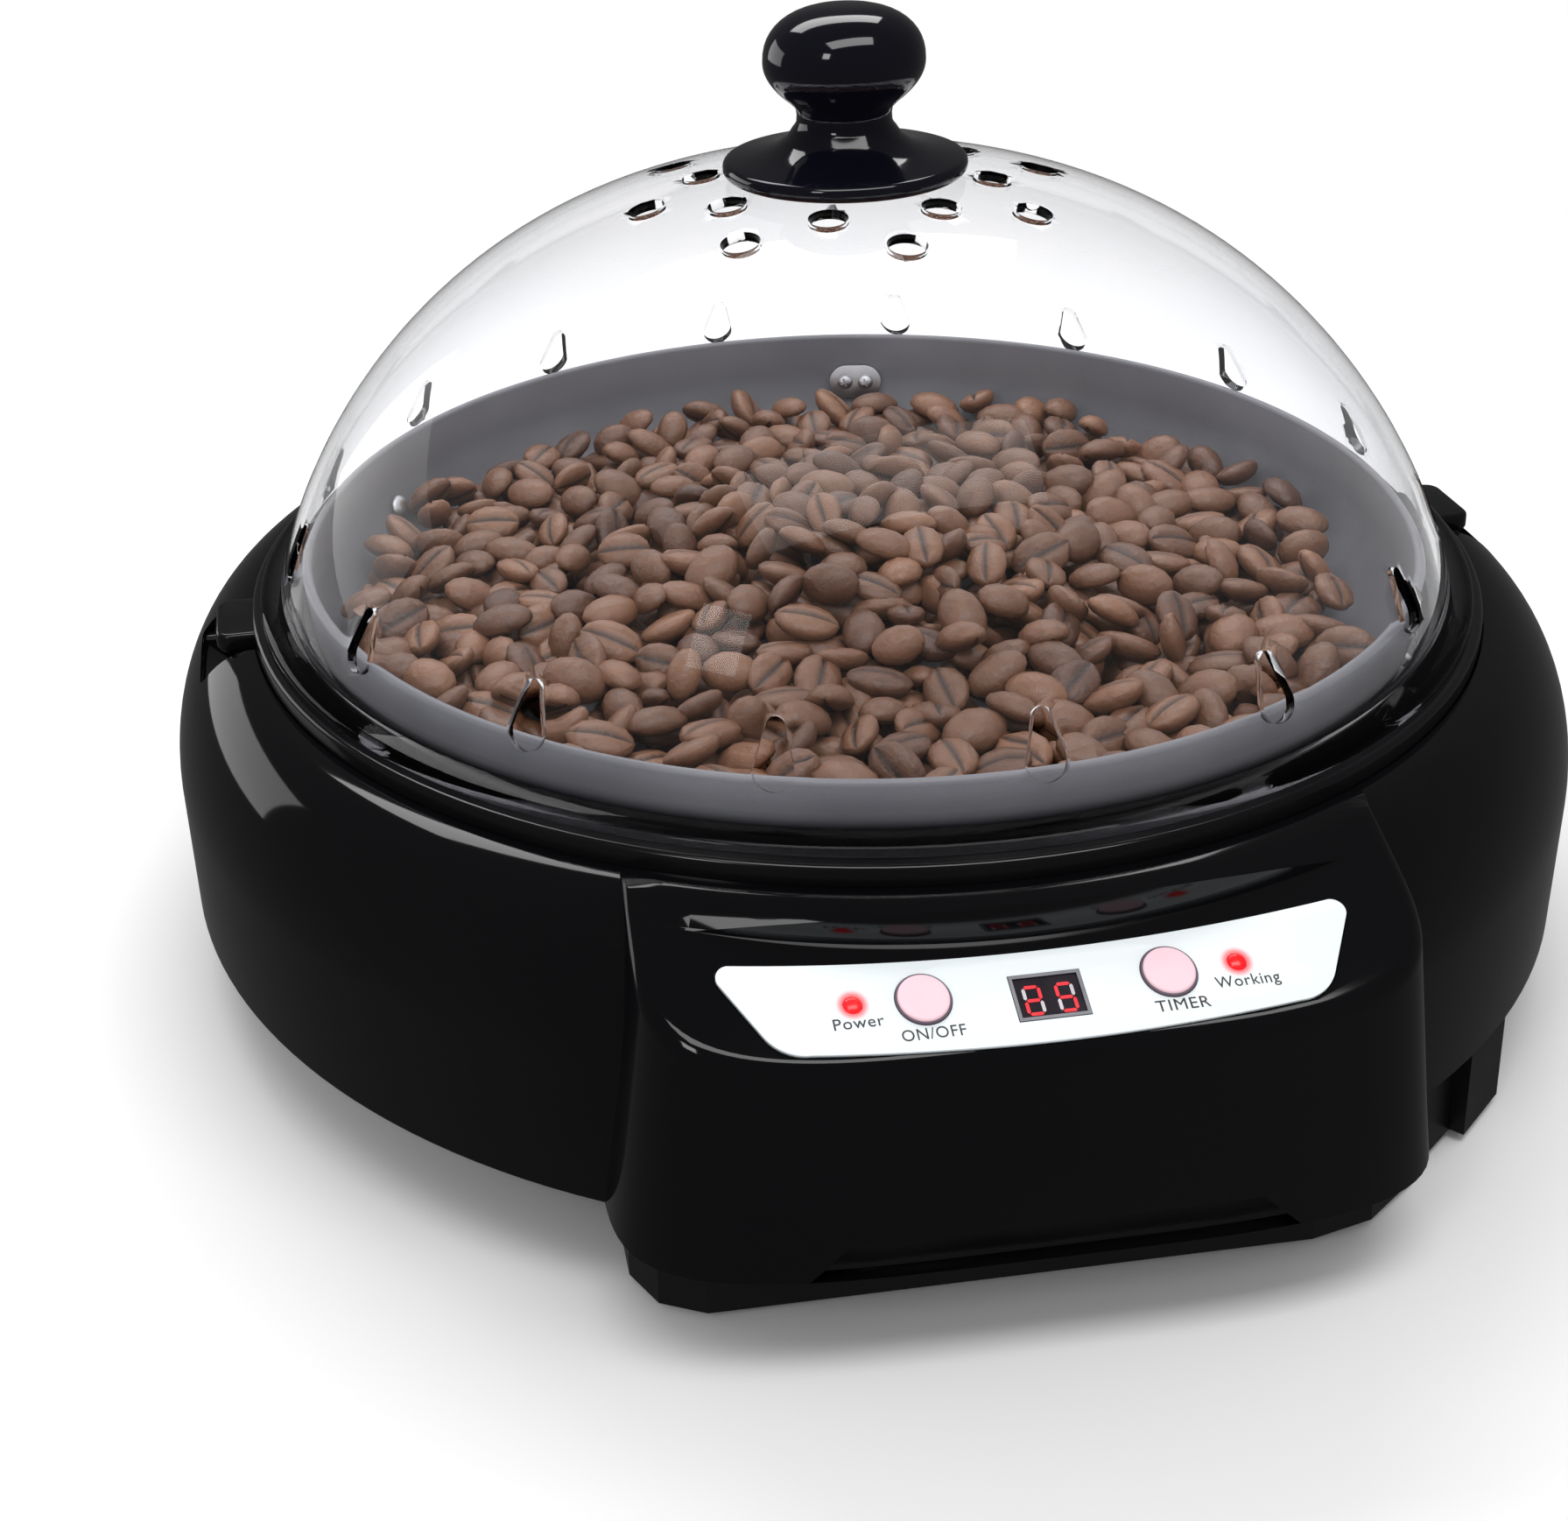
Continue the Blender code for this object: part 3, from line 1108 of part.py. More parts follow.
def build_motor(build, kit):
    """Flat geared motor, the strap that holds it, its screws and the drive shaft."""
    bottom = motor_bottom()
    top = motor_top()
    boss_top = top + MOTOR_BOSS_HEIGHT
    socket = SHAFT_RADIUS + TOUCH_GAP
    socket_floor = boss_top - MOTOR_SOCKET_DEPTH
    profile = [(0, socket_floor), (socket, socket_floor), (socket, boss_top), (MOTOR_BOSS_RADIUS, boss_top)]
    profile += [(MOTOR_BOSS_RADIUS, top), (MOTOR_RADIUS, top), (MOTOR_RADIUS, bottom), (0, bottom)]
    turned_part(build, "motor", profile, MEDIUM_STEPS, kit["steel"], place=at_axis(0))

    strap_bottom = top + TOUCH_GAP * 2
    end = POST_REACH + STRAP_END
    half_width = STRAP_WIDTH / 2
    edge = [(-end, AXIS_Y - half_width), (end, AXIS_Y - half_width)]
    edge += [(end, AXIS_Y + half_width), (-end, AXIS_Y + half_width)]
    middle_hole = arc_points((0, AXIS_Y), MOTOR_BOSS_RADIUS + TOUCH_GAP, 0, TURN, SMALL_STEPS + 1)[:-1]
    holes = [middle_hole]
    for place in strap_posts():
        holes.append(
            arc_points((place.x, place.y), CASE_SCREW_RADIUS + TOUCH_GAP, 0, TURN, TINY_STEPS + 1)[:-1]
        )
    strap = outline_mesh([edge] + holes, strap_bottom, strap_bottom + STRAP_THICKNESS)
    build.part("motor_strap", strap, kit["steel"])
    for index, place in enumerate(strap_posts(), start=1):
        head_bottom = strap_bottom + STRAP_THICKNESS + TOUCH_GAP
        tip = SHELL_BOTTOM + TRAY_FLOOR + OVERRUN + TOUCH_GAP * 2
        screw = [(0, head_bottom + CASE_HEAD_HEIGHT), (CASE_HEAD_RADIUS, head_bottom + CASE_HEAD_HEIGHT)]
        screw += [(CASE_HEAD_RADIUS, head_bottom), (CASE_SCREW_RADIUS, head_bottom)]
        screw += [(CASE_SCREW_RADIUS, tip), (0, tip)]
        turned_part(
            build, f"motor_screw_{index}", screw, TINY_STEPS, kit["steel"], place=Matrix.Translation(place)
        )

    shaft_bottom = socket_floor + TOUCH_GAP
    shaft_top = HUB_TOP + TOUCH_GAP + CAP_BITE
    shaft = [(0, shaft_top), (SHAFT_RADIUS * 0.8, shaft_top), (SHAFT_RADIUS, shaft_top - SHAFT_RADIUS * 0.2)]
    shaft += [(SHAFT_RADIUS, shaft_bottom), (0, shaft_bottom)]
    turned_part(build, "drive_shaft", shaft, SMALL_STEPS, kit["steel"], place=at_axis(0))


def shield_screw_angles():
    """Angles of the screws that hang the heat shield from the ledge."""
    return tuple(
        SHIELD_SCREW_PHASE + TURN * index / SHIELD_SCREW_COUNT for index in range(SHIELD_SCREW_COUNT)
    )


def shield_screw_reach():
    """Reach of those screws, midway across the shield's flange."""
    return (LEDGE_RADIUS + SHIELD_FLANGE_RADIUS) / 2


def build_heater(build, kit):
    """Heat shield, its screws, the heating element, its clips, the thermostat and the fuse."""
    flange_top = LEDGE_TOP - LEDGE_THICKNESS - TOUCH_GAP
    skin = SHIELD_THICKNESS
    floor_top = SHIELD_FLOOR + skin
    profile = [(SHIELD_HOLE_RADIUS, floor_top), (SHIELD_FLOOR_RADIUS, floor_top)]
    profile += [(SHIELD_RIM_RADIUS, flange_top), (SHIELD_FLANGE_RADIUS, flange_top)]
    profile += [(SHIELD_FLANGE_RADIUS, flange_top - skin), (SHIELD_RIM_RADIUS + skin, flange_top - skin)]
    profile += [(SHIELD_FLOOR_RADIUS + skin, SHIELD_FLOOR), (SHIELD_HOLE_RADIUS, SHIELD_FLOOR)]
    shield = turned_part(
        build, "heat_shield", profile, LARGE_STEPS, kit["tin"], closed=True, place=at_axis(0)
    )
    for index, angle in enumerate(shield_screw_angles(), start=1):
        place = Matrix.Translation(polar(shield_screw_reach(), angle))
        hole = rod_mesh(
            SHIELD_SCREW_RADIUS + TOUCH_GAP, flange_top - OVERRUN, flange_top + OVERRUN, TINY_STEPS
        )
        cut(shield, build.cutter(hole, place))
        head_top = flange_top - skin - TOUCH_GAP
        tip = head_top + SHIELD_SCREW_LENGTH
        head_bottom = head_top - SHIELD_SCREW_HEAD_HEIGHT
        screw = [(0, tip), (SHIELD_SCREW_RADIUS, tip), (SHIELD_SCREW_RADIUS, head_top)]
        screw += [
            (SHIELD_SCREW_HEAD_RADIUS, head_top), (SHIELD_SCREW_HEAD_RADIUS, head_bottom), (0, head_bottom)
        ]
        turned_part(build, f"shield_screw_{index}", screw, TINY_STEPS, kit["steel"], place=place)

    start = ELEMENT_GAP_ANGLE / 2
    sweep = TURN - ELEMENT_GAP_ANGLE
    bend = ELEMENT_TUBE_RADIUS * 1.2
    ring_count = 32
    ring = [polar(
        ELEMENT_RADIUS, math.pi + start + sweep * i / ring_count, ELEMENT_HEIGHT
    ) for i in range(ring_count + 1)]
    turn_in = bend / ELEMENT_RADIUS
    first = [polar(
        ELEMENT_RADIUS, math.pi + start - turn_in, height
    ) for height in (ELEMENT_TAIL_HEIGHT, ELEMENT_HEIGHT - bend)]
    last = [polar(
        ELEMENT_RADIUS, math.pi - start + turn_in, height
    ) for height in (ELEMENT_HEIGHT - bend, ELEMENT_TAIL_HEIGHT)]
    path = first + ring + last
    build.part("heating_element", tube_mesh(path, ELEMENT_TUBE_RADIUS, 2), kit["element"])
    for tail in (first[0], last[-1]):
        hole = rod_mesh(ELEMENT_TUBE_RADIUS * 1.5, SHIELD_FLOOR - OVERRUN, floor_top + OVERRUN, SMALL_STEPS)
        cut(shield, build.cutter(hole, Matrix.Translation((tail.x, tail.y, 0))))

    saddle = build.cutter(tube_mesh(path, ELEMENT_TUBE_RADIUS + TOUCH_GAP, 2))
    for index in range(CLIP_COUNT):
        clip_bottom = floor_top + TOUCH_GAP
        clip_top = ELEMENT_HEIGHT
        size = Vector((CLIP_WIDTH, CLIP_LENGTH, clip_top - clip_bottom))
        angle = TURN * index / CLIP_COUNT
        middle = Vector((0, -ELEMENT_RADIUS, (clip_top + clip_bottom) / 2))
        clip = build.part(f"element_clip_{index + 1}", box_mesh(size, middle), kit["steel"], at_axis(angle))
        cut(clip, saddle)

    disc_top = SHIELD_FLOOR - TOUCH_GAP
    place = Matrix.Translation(polar(THERMOSTAT_REACH, math.pi / 2))
    disc = [
        (0, disc_top), (THERMOSTAT_RADIUS, disc_top), (THERMOSTAT_RADIUS, disc_top - THERMOSTAT_HEIGHT / 3)
    ]
    disc += [(THERMOSTAT_RADIUS * 0.7, disc_top - THERMOSTAT_HEIGHT / 3)]
    disc += [(THERMOSTAT_RADIUS * 0.7, disc_top - THERMOSTAT_HEIGHT), (0, disc_top - THERMOSTAT_HEIGHT)]
    turned_part(build, "thermostat", disc, SMALL_STEPS, kit["dark_plastic"], place=place)

    fuse_y = AXIS_Y - FUSE_REACH
    fuse_z = SHIELD_FLOOR - TOUCH_GAP - FUSE_RADIUS
    ends = [Vector((-FUSE_LENGTH / 2, fuse_y, fuse_z)), Vector((FUSE_LENGTH / 2, fuse_y, fuse_z))]
    build.part("thermal_fuse", tube_mesh(ends, FUSE_RADIUS, 2), kit["white_plastic"])


def mains_standoffs():
    """Places of the four standoffs under the mains board."""
    places = []
    for side_x in (-1, 1):
        for side_y in (-1, 1):
            x = MAINS_X + side_x * (MAINS_WIDTH / 2 - MAINS_STANDOFF_RADIUS)
            y = MAINS_Y + side_y * (MAINS_DEPTH / 2 - MAINS_STANDOFF_RADIUS)
            places.append(Vector((x, AXIS_Y + y, 0)))
    return places


def build_mains(build, kit):
    """Mains board with its relay and terminal block."""
    top = MAINS_HEIGHT + BOARD_THICKNESS
    centre = Vector((MAINS_X, AXIS_Y + MAINS_Y, (MAINS_HEIGHT + top) / 2))
    board = box_mesh(Vector((MAINS_WIDTH, MAINS_DEPTH, BOARD_THICKNESS)), centre)
    build.part("mains_board", board, kit["board"])
    seat = top + TOUCH_GAP
    relay_x = MAINS_X + MAINS_WIDTH / 2 - RELAY_WIDTH
    middle = Vector((relay_x, AXIS_Y + MAINS_Y, seat + RELAY_HEIGHT / 2))
    relay = box_mesh(Vector((RELAY_WIDTH, RELAY_DEPTH, RELAY_HEIGHT)), middle)
    build.part("relay", relay, kit["relay"])
    block_x = MAINS_X - MAINS_WIDTH / 2 + TERMINAL_WIDTH
    middle = Vector((block_x, AXIS_Y + MAINS_Y, seat + TERMINAL_HEIGHT / 2))
    block = box_mesh(Vector((TERMINAL_WIDTH, TERMINAL_DEPTH, TERMINAL_HEIGHT)), middle)
    build.part("terminal_block", block, kit["white_plastic"])


def pan_outer_radius(height):
    """Outer radius of the pan's upper wall at a height, where the wall has only its draft."""
    return PAN_RADIUS - PAN_DRAFT * (PAN_TOP - height) / (PAN_TOP - PAN_SHOULDER)


def pan_bowl(offset, count=6):
    """(radius, height) pairs from the pan's upper wall down to its flat floor."""
    wall_radius = pan_outer_radius(PAN_SHOULDER) - offset
    floor_radius = PAN_FLOOR_RADIUS - offset / 2
    floor = PAN_FLOOR + offset
    points = []
    for index in range(count):
        angle = math.pi / 2 * index / (count - 1)
        radius = floor_radius + (wall_radius - floor_radius) * math.cos(angle)
        points.append((radius, PAN_SHOULDER - (PAN_SHOULDER - floor) * math.sin(angle)))
    return points


def pan_inner_radius(height):
    """Inner radius of the pan at a height on its bowl."""
    wall_radius = pan_outer_radius(PAN_SHOULDER) - PAN_WALL
    floor_radius = PAN_FLOOR_RADIUS - PAN_WALL / 2
    floor = PAN_FLOOR + PAN_WALL
    share = (PAN_SHOULDER - height) / (PAN_SHOULDER - floor)
    return floor_radius + (wall_radius - floor_radius) * math.sqrt(max(0.0, 1 - share * share))


def wall_lean(height):
    """Angle by which the pan's inner wall leans back from upright at a height."""
    step = TOUCH_GAP
    run = pan_inner_radius(height + step) - pan_inner_radius(height - step)
    return math.atan2(run, 2 * step)


def wall_place(height, angle):
    """Place on the pan's inner wall, its Z axis square to the wall and pointing inwards."""
    inwards = Matrix.Translation((0, -pan_inner_radius(height), height))
    return at_axis(angle) @ inwards @ Matrix.Rotation(wall_lean(height) - math.pi / 2, 4, "X")


def bite_length(height, bite):
    """Length from the pan's inner wall, square to it, to a bite past the ring's inner side."""
    return (RING_INNER_RADIUS + bite - pan_inner_radius(height)) / math.cos(wall_lean(height))


def build_pan(build, kit):
    """Pan, its ring with two ears, the rivets, and the oval plate with its two screws."""
    inner_top = PAN_RADIUS - PAN_WALL
    outer = [(PAN_RADIUS, PAN_TOP)] + pan_bowl(0)
    inner = pan_bowl(PAN_WALL)
    inner.reverse()
    hole = BUSH_NECK_RADIUS + TOUCH_GAP
    profile = outer + [(hole, PAN_FLOOR), (hole, PAN_FLOOR + PAN_WALL)] + inner + [(inner_top, PAN_TOP)]
    pan = turned_part(build, "pan", profile, LARGE_STEPS, kit["non_stick"], closed=True, place=at_axis(0))

    ledge = LEDGE_TOP + TOUCH_GAP
    top = RING_TOP
    ring_profile = [(RING_INNER_RADIUS, top), (RING_OUTER_RADIUS, top)]
    ring_profile += [(RING_OUTER_RADIUS, ledge), (RING_OUTER_RADIUS - RING_WALL, ledge)]
    ring_profile += [
        (RING_OUTER_RADIUS - RING_WALL, top - RING_WALL), (RING_INNER_RADIUS + RING_WALL, top - RING_WALL)
    ]
    ring_profile += [(RING_INNER_RADIUS + RING_WALL, ledge), (RING_INNER_RADIUS, ledge)]
    ring = turned_part(
        build, "pan_ring", ring_profile, LARGE_STEPS, kit["gloss"], closed=True, place=at_axis(0)
    )
    for angle in ear_angles():
        ear = radial_box(
            EAR_HALF_WIDTH, RING_OUTER_RADIUS - RING_WALL / 2, EAR_REACH, EAR_TOP - EAR_THICKNESS, EAR_TOP
        )
        join(ring, build.cutter(ear, at_axis(angle)))

    for index, angle in enumerate((RIVET_ANGLE, RIVET_ANGLE + math.pi), start=1):
        place = wall_place(RIVET_HEIGHT, angle)
        reach = bite_length(RIVET_HEIGHT, RIVET_BITE)
        seat = RIVET_STANDOFF
        head = seat + RIVET_HEAD_HEIGHT
        rivet = [(0, head), (RIVET_HEAD_RADIUS * 0.7, head - RIVET_HEAD_HEIGHT * 0.3)]
        rivet += [(RIVET_HEAD_RADIUS, seat), (RIVET_RADIUS, seat), (RIVET_RADIUS, -reach), (0, -reach)]
        turned_part(build, f"pan_rivet_{index}", rivet, TINY_STEPS, kit["steel"], place=place)
        bore = rod_mesh(RIVET_RADIUS + TOUCH_GAP, -reach - TOUCH_GAP, OVERRUN, TINY_STEPS)
        cut(pan, build.cutter(bore, place))
        cut(ring, build.cutter(bore.copy(), place))

    frame = wall_place(PLATE_HEIGHT, PLATE_ANGLE)
    half_run = (PLATE_WIDTH - PLATE_DEPTH) / 2
    round_end = PLATE_DEPTH / 2
    oval = arc_points((half_run, 0), round_end, -math.pi / 2, math.pi / 2, 7)
    oval += arc_points((-half_run, 0), round_end, math.pi / 2, 3 * math.pi / 2, 7)
    holes = []
    for across in (-PLATE_SCREW_SPACING / 2, PLATE_SCREW_SPACING / 2):
        holes.append(arc_points((across, 0), SMALL_SCREW_RADIUS + TOUCH_GAP, 0, TURN, TINY_STEPS + 1)[:-1])
    plate_bottom = PLATE_STANDOFF
    plate_top = plate_bottom + PLATE_THICKNESS
    build.part("locating_plate", outline_mesh([oval] + holes, plate_bottom, plate_top), kit["steel"], frame)
    reach = bite_length(PLATE_HEIGHT, PLATE_BITE)
    for index, across in enumerate((-PLATE_SCREW_SPACING / 2, PLATE_SCREW_SPACING / 2), start=1):
        place = frame @ Matrix.Translation((across, 0, 0))
        seat = plate_top + TOUCH_GAP
        screw = [(0, seat + SMALL_HEAD_HEIGHT), (SMALL_HEAD_RADIUS * 0.7, seat + SMALL_HEAD_HEIGHT)]
        screw += [
            (SMALL_HEAD_RADIUS, seat), (SMALL_SCREW_RADIUS, seat), (SMALL_SCREW_RADIUS, -reach), (0, -reach)
        ]
        turned_part(build, f"plate_screw_{index}", screw, TINY_STEPS, kit["steel"], place=place)
        bore = rod_mesh(SMALL_SCREW_RADIUS + TOUCH_GAP, -reach - TOUCH_GAP, OVERRUN, TINY_STEPS)
        cut(pan, build.cutter(bore, place))
        cut(ring, build.cutter(bore.copy(), place))

    floor_top = PAN_FLOOR + PAN_WALL
    flange_bottom = floor_top + TOUCH_GAP
    flange_top = flange_bottom + BUSH_FLANGE
    bore_radius = SHAFT_RADIUS + RUNNING_GAP
    neck = BUSH_NECK_RADIUS
    low = PAN_FLOOR - BUSH_FLANGE
    bush = [(bore_radius, BUSH_TOP), (neck, BUSH_TOP), (neck, flange_top), (BUSH_FLANGE_RADIUS, flange_top)]
    bush += [(BUSH_FLANGE_RADIUS, flange_bottom), (neck, flange_bottom), (neck, low), (bore_radius, low)]
    turned_part(build, "pan_bush", bush, MEDIUM_STEPS, kit["steel"], closed=True, place=at_axis(0))


def build_stirrer(build, kit):
    """Hub over the bush, two arms with blades, and the cap that holds the hub."""
    flange_top = PAN_FLOOR + PAN_WALL + TOUCH_GAP + BUSH_FLANGE
    bottom = flange_top + RUNNING_GAP
    inner = BUSH_NECK_RADIUS + RUNNING_GAP
    roof = HUB_TOP - HUB_ROOF
    bore_radius = SHAFT_RADIUS + TOUCH_GAP
    hub = [(bore_radius, HUB_TOP), (HUB_RADIUS * 0.75, HUB_TOP), (HUB_RADIUS, HUB_TOP - HUB_ROOF)]
    hub += [(HUB_RADIUS, bottom), (inner, bottom), (inner, roof), (bore_radius, roof)]
    turned_part(build, "stirrer_hub", hub, MEDIUM_STEPS, kit["dark_plastic"], closed=True, place=at_axis(0))

    floor_top = PAN_FLOOR + PAN_WALL
    for index in range(2):
        angle = math.pi * index + math.pi / 2
        start = HUB_RADIUS + TOUCH_GAP
        count = 7
        path = []
        for step in range(count):
            share = step / (count - 1)
            reach = start + (ARM_REACH - start) * share
            height = ARM_HEIGHT + ARM_TIP_RISE * share ** 4
            path.append(Vector((0, -reach, height)))
        arm = build.part(
            f"stirrer_arm_{index + 1}", tube_mesh(path, ARM_RADIUS, 2), kit["steel"], at_axis(angle)
        )
        blade_bottom = floor_top + BLADE_CLEARANCE
        blade_top = ARM_HEIGHT - ARM_RADIUS * 0.5
        size = Vector((BLADE_THICKNESS, BLADE_OUTER_REACH - BLADE_INNER_REACH, blade_top - blade_bottom))
        middle = Vector((0, -(BLADE_OUTER_REACH + BLADE_INNER_REACH) / 2, (blade_top + blade_bottom) / 2))
        join(arm, build.cutter(box_mesh(size, middle), at_axis(angle)))

    cap_bottom = HUB_TOP + TOUCH_GAP
    cap_top = cap_bottom + CAP_HEIGHT
    socket = SHAFT_RADIUS + TOUCH_GAP
    socket_top = cap_bottom + CAP_BITE + TOUCH_GAP
    cap = [(0, cap_top), (
        CAP_RADIUS * 0.6, cap_top - CAP_HEIGHT * 0.15
    ), (CAP_RADIUS, cap_top - CAP_HEIGHT * 0.6)]
    cap += [(CAP_RADIUS, cap_bottom), (socket, cap_bottom), (socket, socket_top), (0, socket_top)]
    turned_part(build, "stirrer_cap", cap, SMALL_STEPS, kit["dark_plastic"], place=at_axis(0))


def dome_point(angle, offset=0.0):
    """(radius, height) on the dome's outer side; angle 0 is the crown, a right angle the foot."""
    radius = (DOME_RADIUS - offset) * math.sin(angle) ** DOME_SIDE_POWER
    height = DOME_START + (DOME_CROWN - DOME_START - offset) * math.cos(angle) ** DOME_CROWN_POWER
    return radius, height


def dome_angle(height, offset=0.0):
    """Angle of dome_point() at a height."""
    share = (height - DOME_START) / (DOME_CROWN - DOME_START - offset)
    return math.acos(share ** (1 / DOME_CROWN_POWER))


def dome_radius(height, offset=0.0):
    """Radius of the dome at a height."""
    return dome_point(dome_angle(height, offset), offset)[0]


def slot_mesh():
    """Upright drop-shaped prism, narrow at its upper end, pointing along -Y."""
    low = SLOT_WIDTH / 2
    high = SLOT_TIP_WIDTH / 2
    middle = (SLOT_LENGTH - low - high) / 2
    outline = arc_points((0, -middle), low, -math.pi, 0, 6)
    outline += arc_points((0, middle), high, 0, math.pi, 3)
    mesh = outline_mesh([outline], 0, SLOT_LENGTH)
    mesh.transform(Matrix.Rotation(math.pi / 2, 4, "X"))
    return mesh


def build_dome(build, kit):
    """Clear dome with its flange, its two rings of round vents and its ring of drop-shaped slots."""
    flange_top = FLANGE_HEIGHT + FLANGE_THICKNESS
    crown_count = 10
    lowest = dome_angle(flange_top)
    outer = [dome_point(lowest * index / crown_count) for index in range(crown_count + 1)]
    inner_low = dome_angle(FLANGE_HEIGHT, DOME_WALL)
    inner = [dome_point(inner_low * index / crown_count, DOME_WALL) for index in range(crown_count + 1)]
    inner.reverse()
    profile = outer + [(FLANGE_RADIUS, flange_top), (FLANGE_RADIUS, FLANGE_HEIGHT)] + inner
    dome = turned_part(build, "dome", profile, LARGE_STEPS, kit["clear"], place=at_axis(0))

    high = DOME_CROWN + OVERRUN
    for ring, reach in enumerate((INNER_VENT_REACH, OUTER_VENT_REACH)):
        for index in range(VENT_COUNT):
            angle = VENT_PHASE + TURN * (index + ring / 2) / VENT_COUNT
            low = DOME_CROWN - (DOME_CROWN - FLANGE_HEIGHT) / 4
            hole = rod_mesh(VENT_RADIUS, low, high, TINY_STEPS)
            cut(dome, build.cutter(hole, Matrix.Translation(polar(reach, angle))))
    slot = slot_mesh()
    start = dome_radius(SLOT_HEIGHT) - SLOT_LENGTH / 2
    for index in range(SLOT_COUNT):
        angle = SLOT_PHASE + TURN * index / SLOT_COUNT
        place = at_axis(angle) @ Matrix.Translation((0, -start, SLOT_HEIGHT))
        cut(dome, build.cutter(slot, place))
    hole = rod_mesh(KNOB_SCREW_RADIUS + TOUCH_GAP, DOME_CROWN - DOME_WALL - OVERRUN, high, SMALL_STEPS)
    cut(dome, build.cutter(hole, at_axis(0)))


def knob_profile():
    """Knob from its rounded top, by ball and waist, to its flared flange and hollow underside."""
    ball = []
    top_rise = KNOB_TOP - KNOB_BALL_HEIGHT
    for index in range(6):
        angle = math.pi / 2 * index / 5
        ball.append((
            KNOB_BALL_RADIUS * math.sin(angle) ** 0.8, KNOB_BALL_HEIGHT + top_rise * math.cos(angle) ** 0.9
        ))
    under = []
    fall = KNOB_BALL_HEIGHT - KNOB_WAIST_HEIGHT
    for index in range(1, 5):
        share = index / 4
        growth = (KNOB_BALL_RADIUS - KNOB_WAIST_RADIUS) * math.cos(math.pi / 2 * share) ** 0.8
        radius = KNOB_WAIST_RADIUS + growth
        under.append((radius, KNOB_BALL_HEIGHT - fall * share))
    bottom = DOME_CROWN + TOUCH_GAP
    rim_top = bottom + KNOB_FLANGE_THICKNESS - KNOB_HOLLOW
    flare = [
        (KNOB_WAIST_RADIUS * 1.15, rim_top + KNOB_FLANGE_THICKNESS / 2),
        ((KNOB_WAIST_RADIUS + KNOB_FLANGE_RADIUS) / 2, rim_top + KNOB_FLANGE_THICKNESS / 6),
        (KNOB_FLANGE_RADIUS - KNOB_HOLLOW / 2, rim_top),
        (KNOB_FLANGE_RADIUS, rim_top - KNOB_HOLLOW / 2),
        (KNOB_FLANGE_RADIUS, bottom - KNOB_HOLLOW),
        (KNOB_FLANGE_RADIUS - KNOB_HOLLOW, bottom - KNOB_HOLLOW),
        (KNOB_WAIST_RADIUS, bottom),
    ]
    socket = KNOB_SCREW_RADIUS + TOUCH_GAP
    socket_top = bottom + KNOB_SCREW_LENGTH
    return ball + under + flare + [(socket, bottom), (socket, socket_top), (0, socket_top)]


def build_knob(build, kit):
    """Knob on the dome's crown, with the washer and the screw that hold it from inside."""
    turned_part(build, "knob", knob_profile(), MEDIUM_STEPS, kit["gloss"], place=at_axis(0))
    under = DOME_CROWN - DOME_WALL - KNOB_HOLLOW
    washer = [(KNOB_SCREW_RADIUS + TOUCH_GAP, under), (WASHER_RADIUS, under)]
    washer += [
        (WASHER_RADIUS, under - WASHER_THICKNESS), (KNOB_SCREW_RADIUS + TOUCH_GAP, under - WASHER_THICKNESS)
    ]
    turned_part(build, "knob_washer", washer, MEDIUM_STEPS, kit["steel"], closed=True, place=at_axis(0))
    seat = under - WASHER_THICKNESS - TOUCH_GAP
    tip = DOME_CROWN + KNOB_SCREW_LENGTH - TOUCH_GAP
    screw = [(0, tip), (KNOB_SCREW_RADIUS, tip), (KNOB_SCREW_RADIUS, seat), (KNOB_HEAD_RADIUS, seat)]
    screw += [(KNOB_HEAD_RADIUS * 0.8, seat - KNOB_HEAD_HEIGHT), (0, seat - KNOB_HEAD_HEIGHT)]
    turned_part(build, "knob_screw", screw, SMALL_STEPS, kit["steel"], place=at_axis(0))


def make_kit():
    """Materials of the roaster."""
    return {
        "gloss": make_material("gloss_black", (0.012, 0.012, 0.013), 0.12),
        "matt": make_material("matt_black", (0.018, 0.018, 0.018), 0.45),
        "rubber": make_material("rubber", (0.02, 0.02, 0.02), 0.8),
        "label": make_material("label_white", (0.84, 0.9, 0.92), 0.4),
        "pink": make_material("button_pink", (0.9, 0.6, 0.66), 0.4),
        "dark_plastic": make_material("dark_plastic", (0.03, 0.03, 0.03), 0.4),
        "white_plastic": make_material("white_plastic", (0.8, 0.8, 0.78), 0.4),
        "red": make_material("lamp_red", (0.8, 0.05, 0.05), 0.2),
        "smoke": make_material("display_smoke", (0.05, 0.02, 0.03), 0.2),
        "board": make_material("board_green", (0.03, 0.2, 0.07), 0.5),
        "relay": make_material("relay_blue", (0.04, 0.12, 0.5), 0.4),
        "steel": make_material("steel", (0.6, 0.6, 0.6), 0.3, 1.0),
        "tin": make_material("bright_tin", (0.75, 0.75, 0.74), 0.25, 1.0),
        "element": make_material("element_sheath", (0.25, 0.24, 0.22), 0.5, 1.0),
        "non_stick": make_material("non_stick_grey", (0.14, 0.14, 0.15), 0.45),
        "clear": make_material("clear_dome", (0.95, 0.97, 0.98), 0.03, 0.0, 0.25),
    }


def main():
    """Build the whole roaster."""
    clear_scene()
    build = Builder("coffee_roaster")
    kit = make_kit()
    panel = build_housing(build, kit["gloss"])
    build_panel(build, panel, kit)
    build_base(build, kit)
    build_gland(build, kit["rubber"])
    build_motor(build, kit)
    build_heater(build, kit)
    build_mains(build, kit)
    build_pan(build, kit)
    build_stirrer(build, kit)
    build_dome(build, kit)
    build_knob(build, kit)
    bpy.context.view_layer.update()


main()
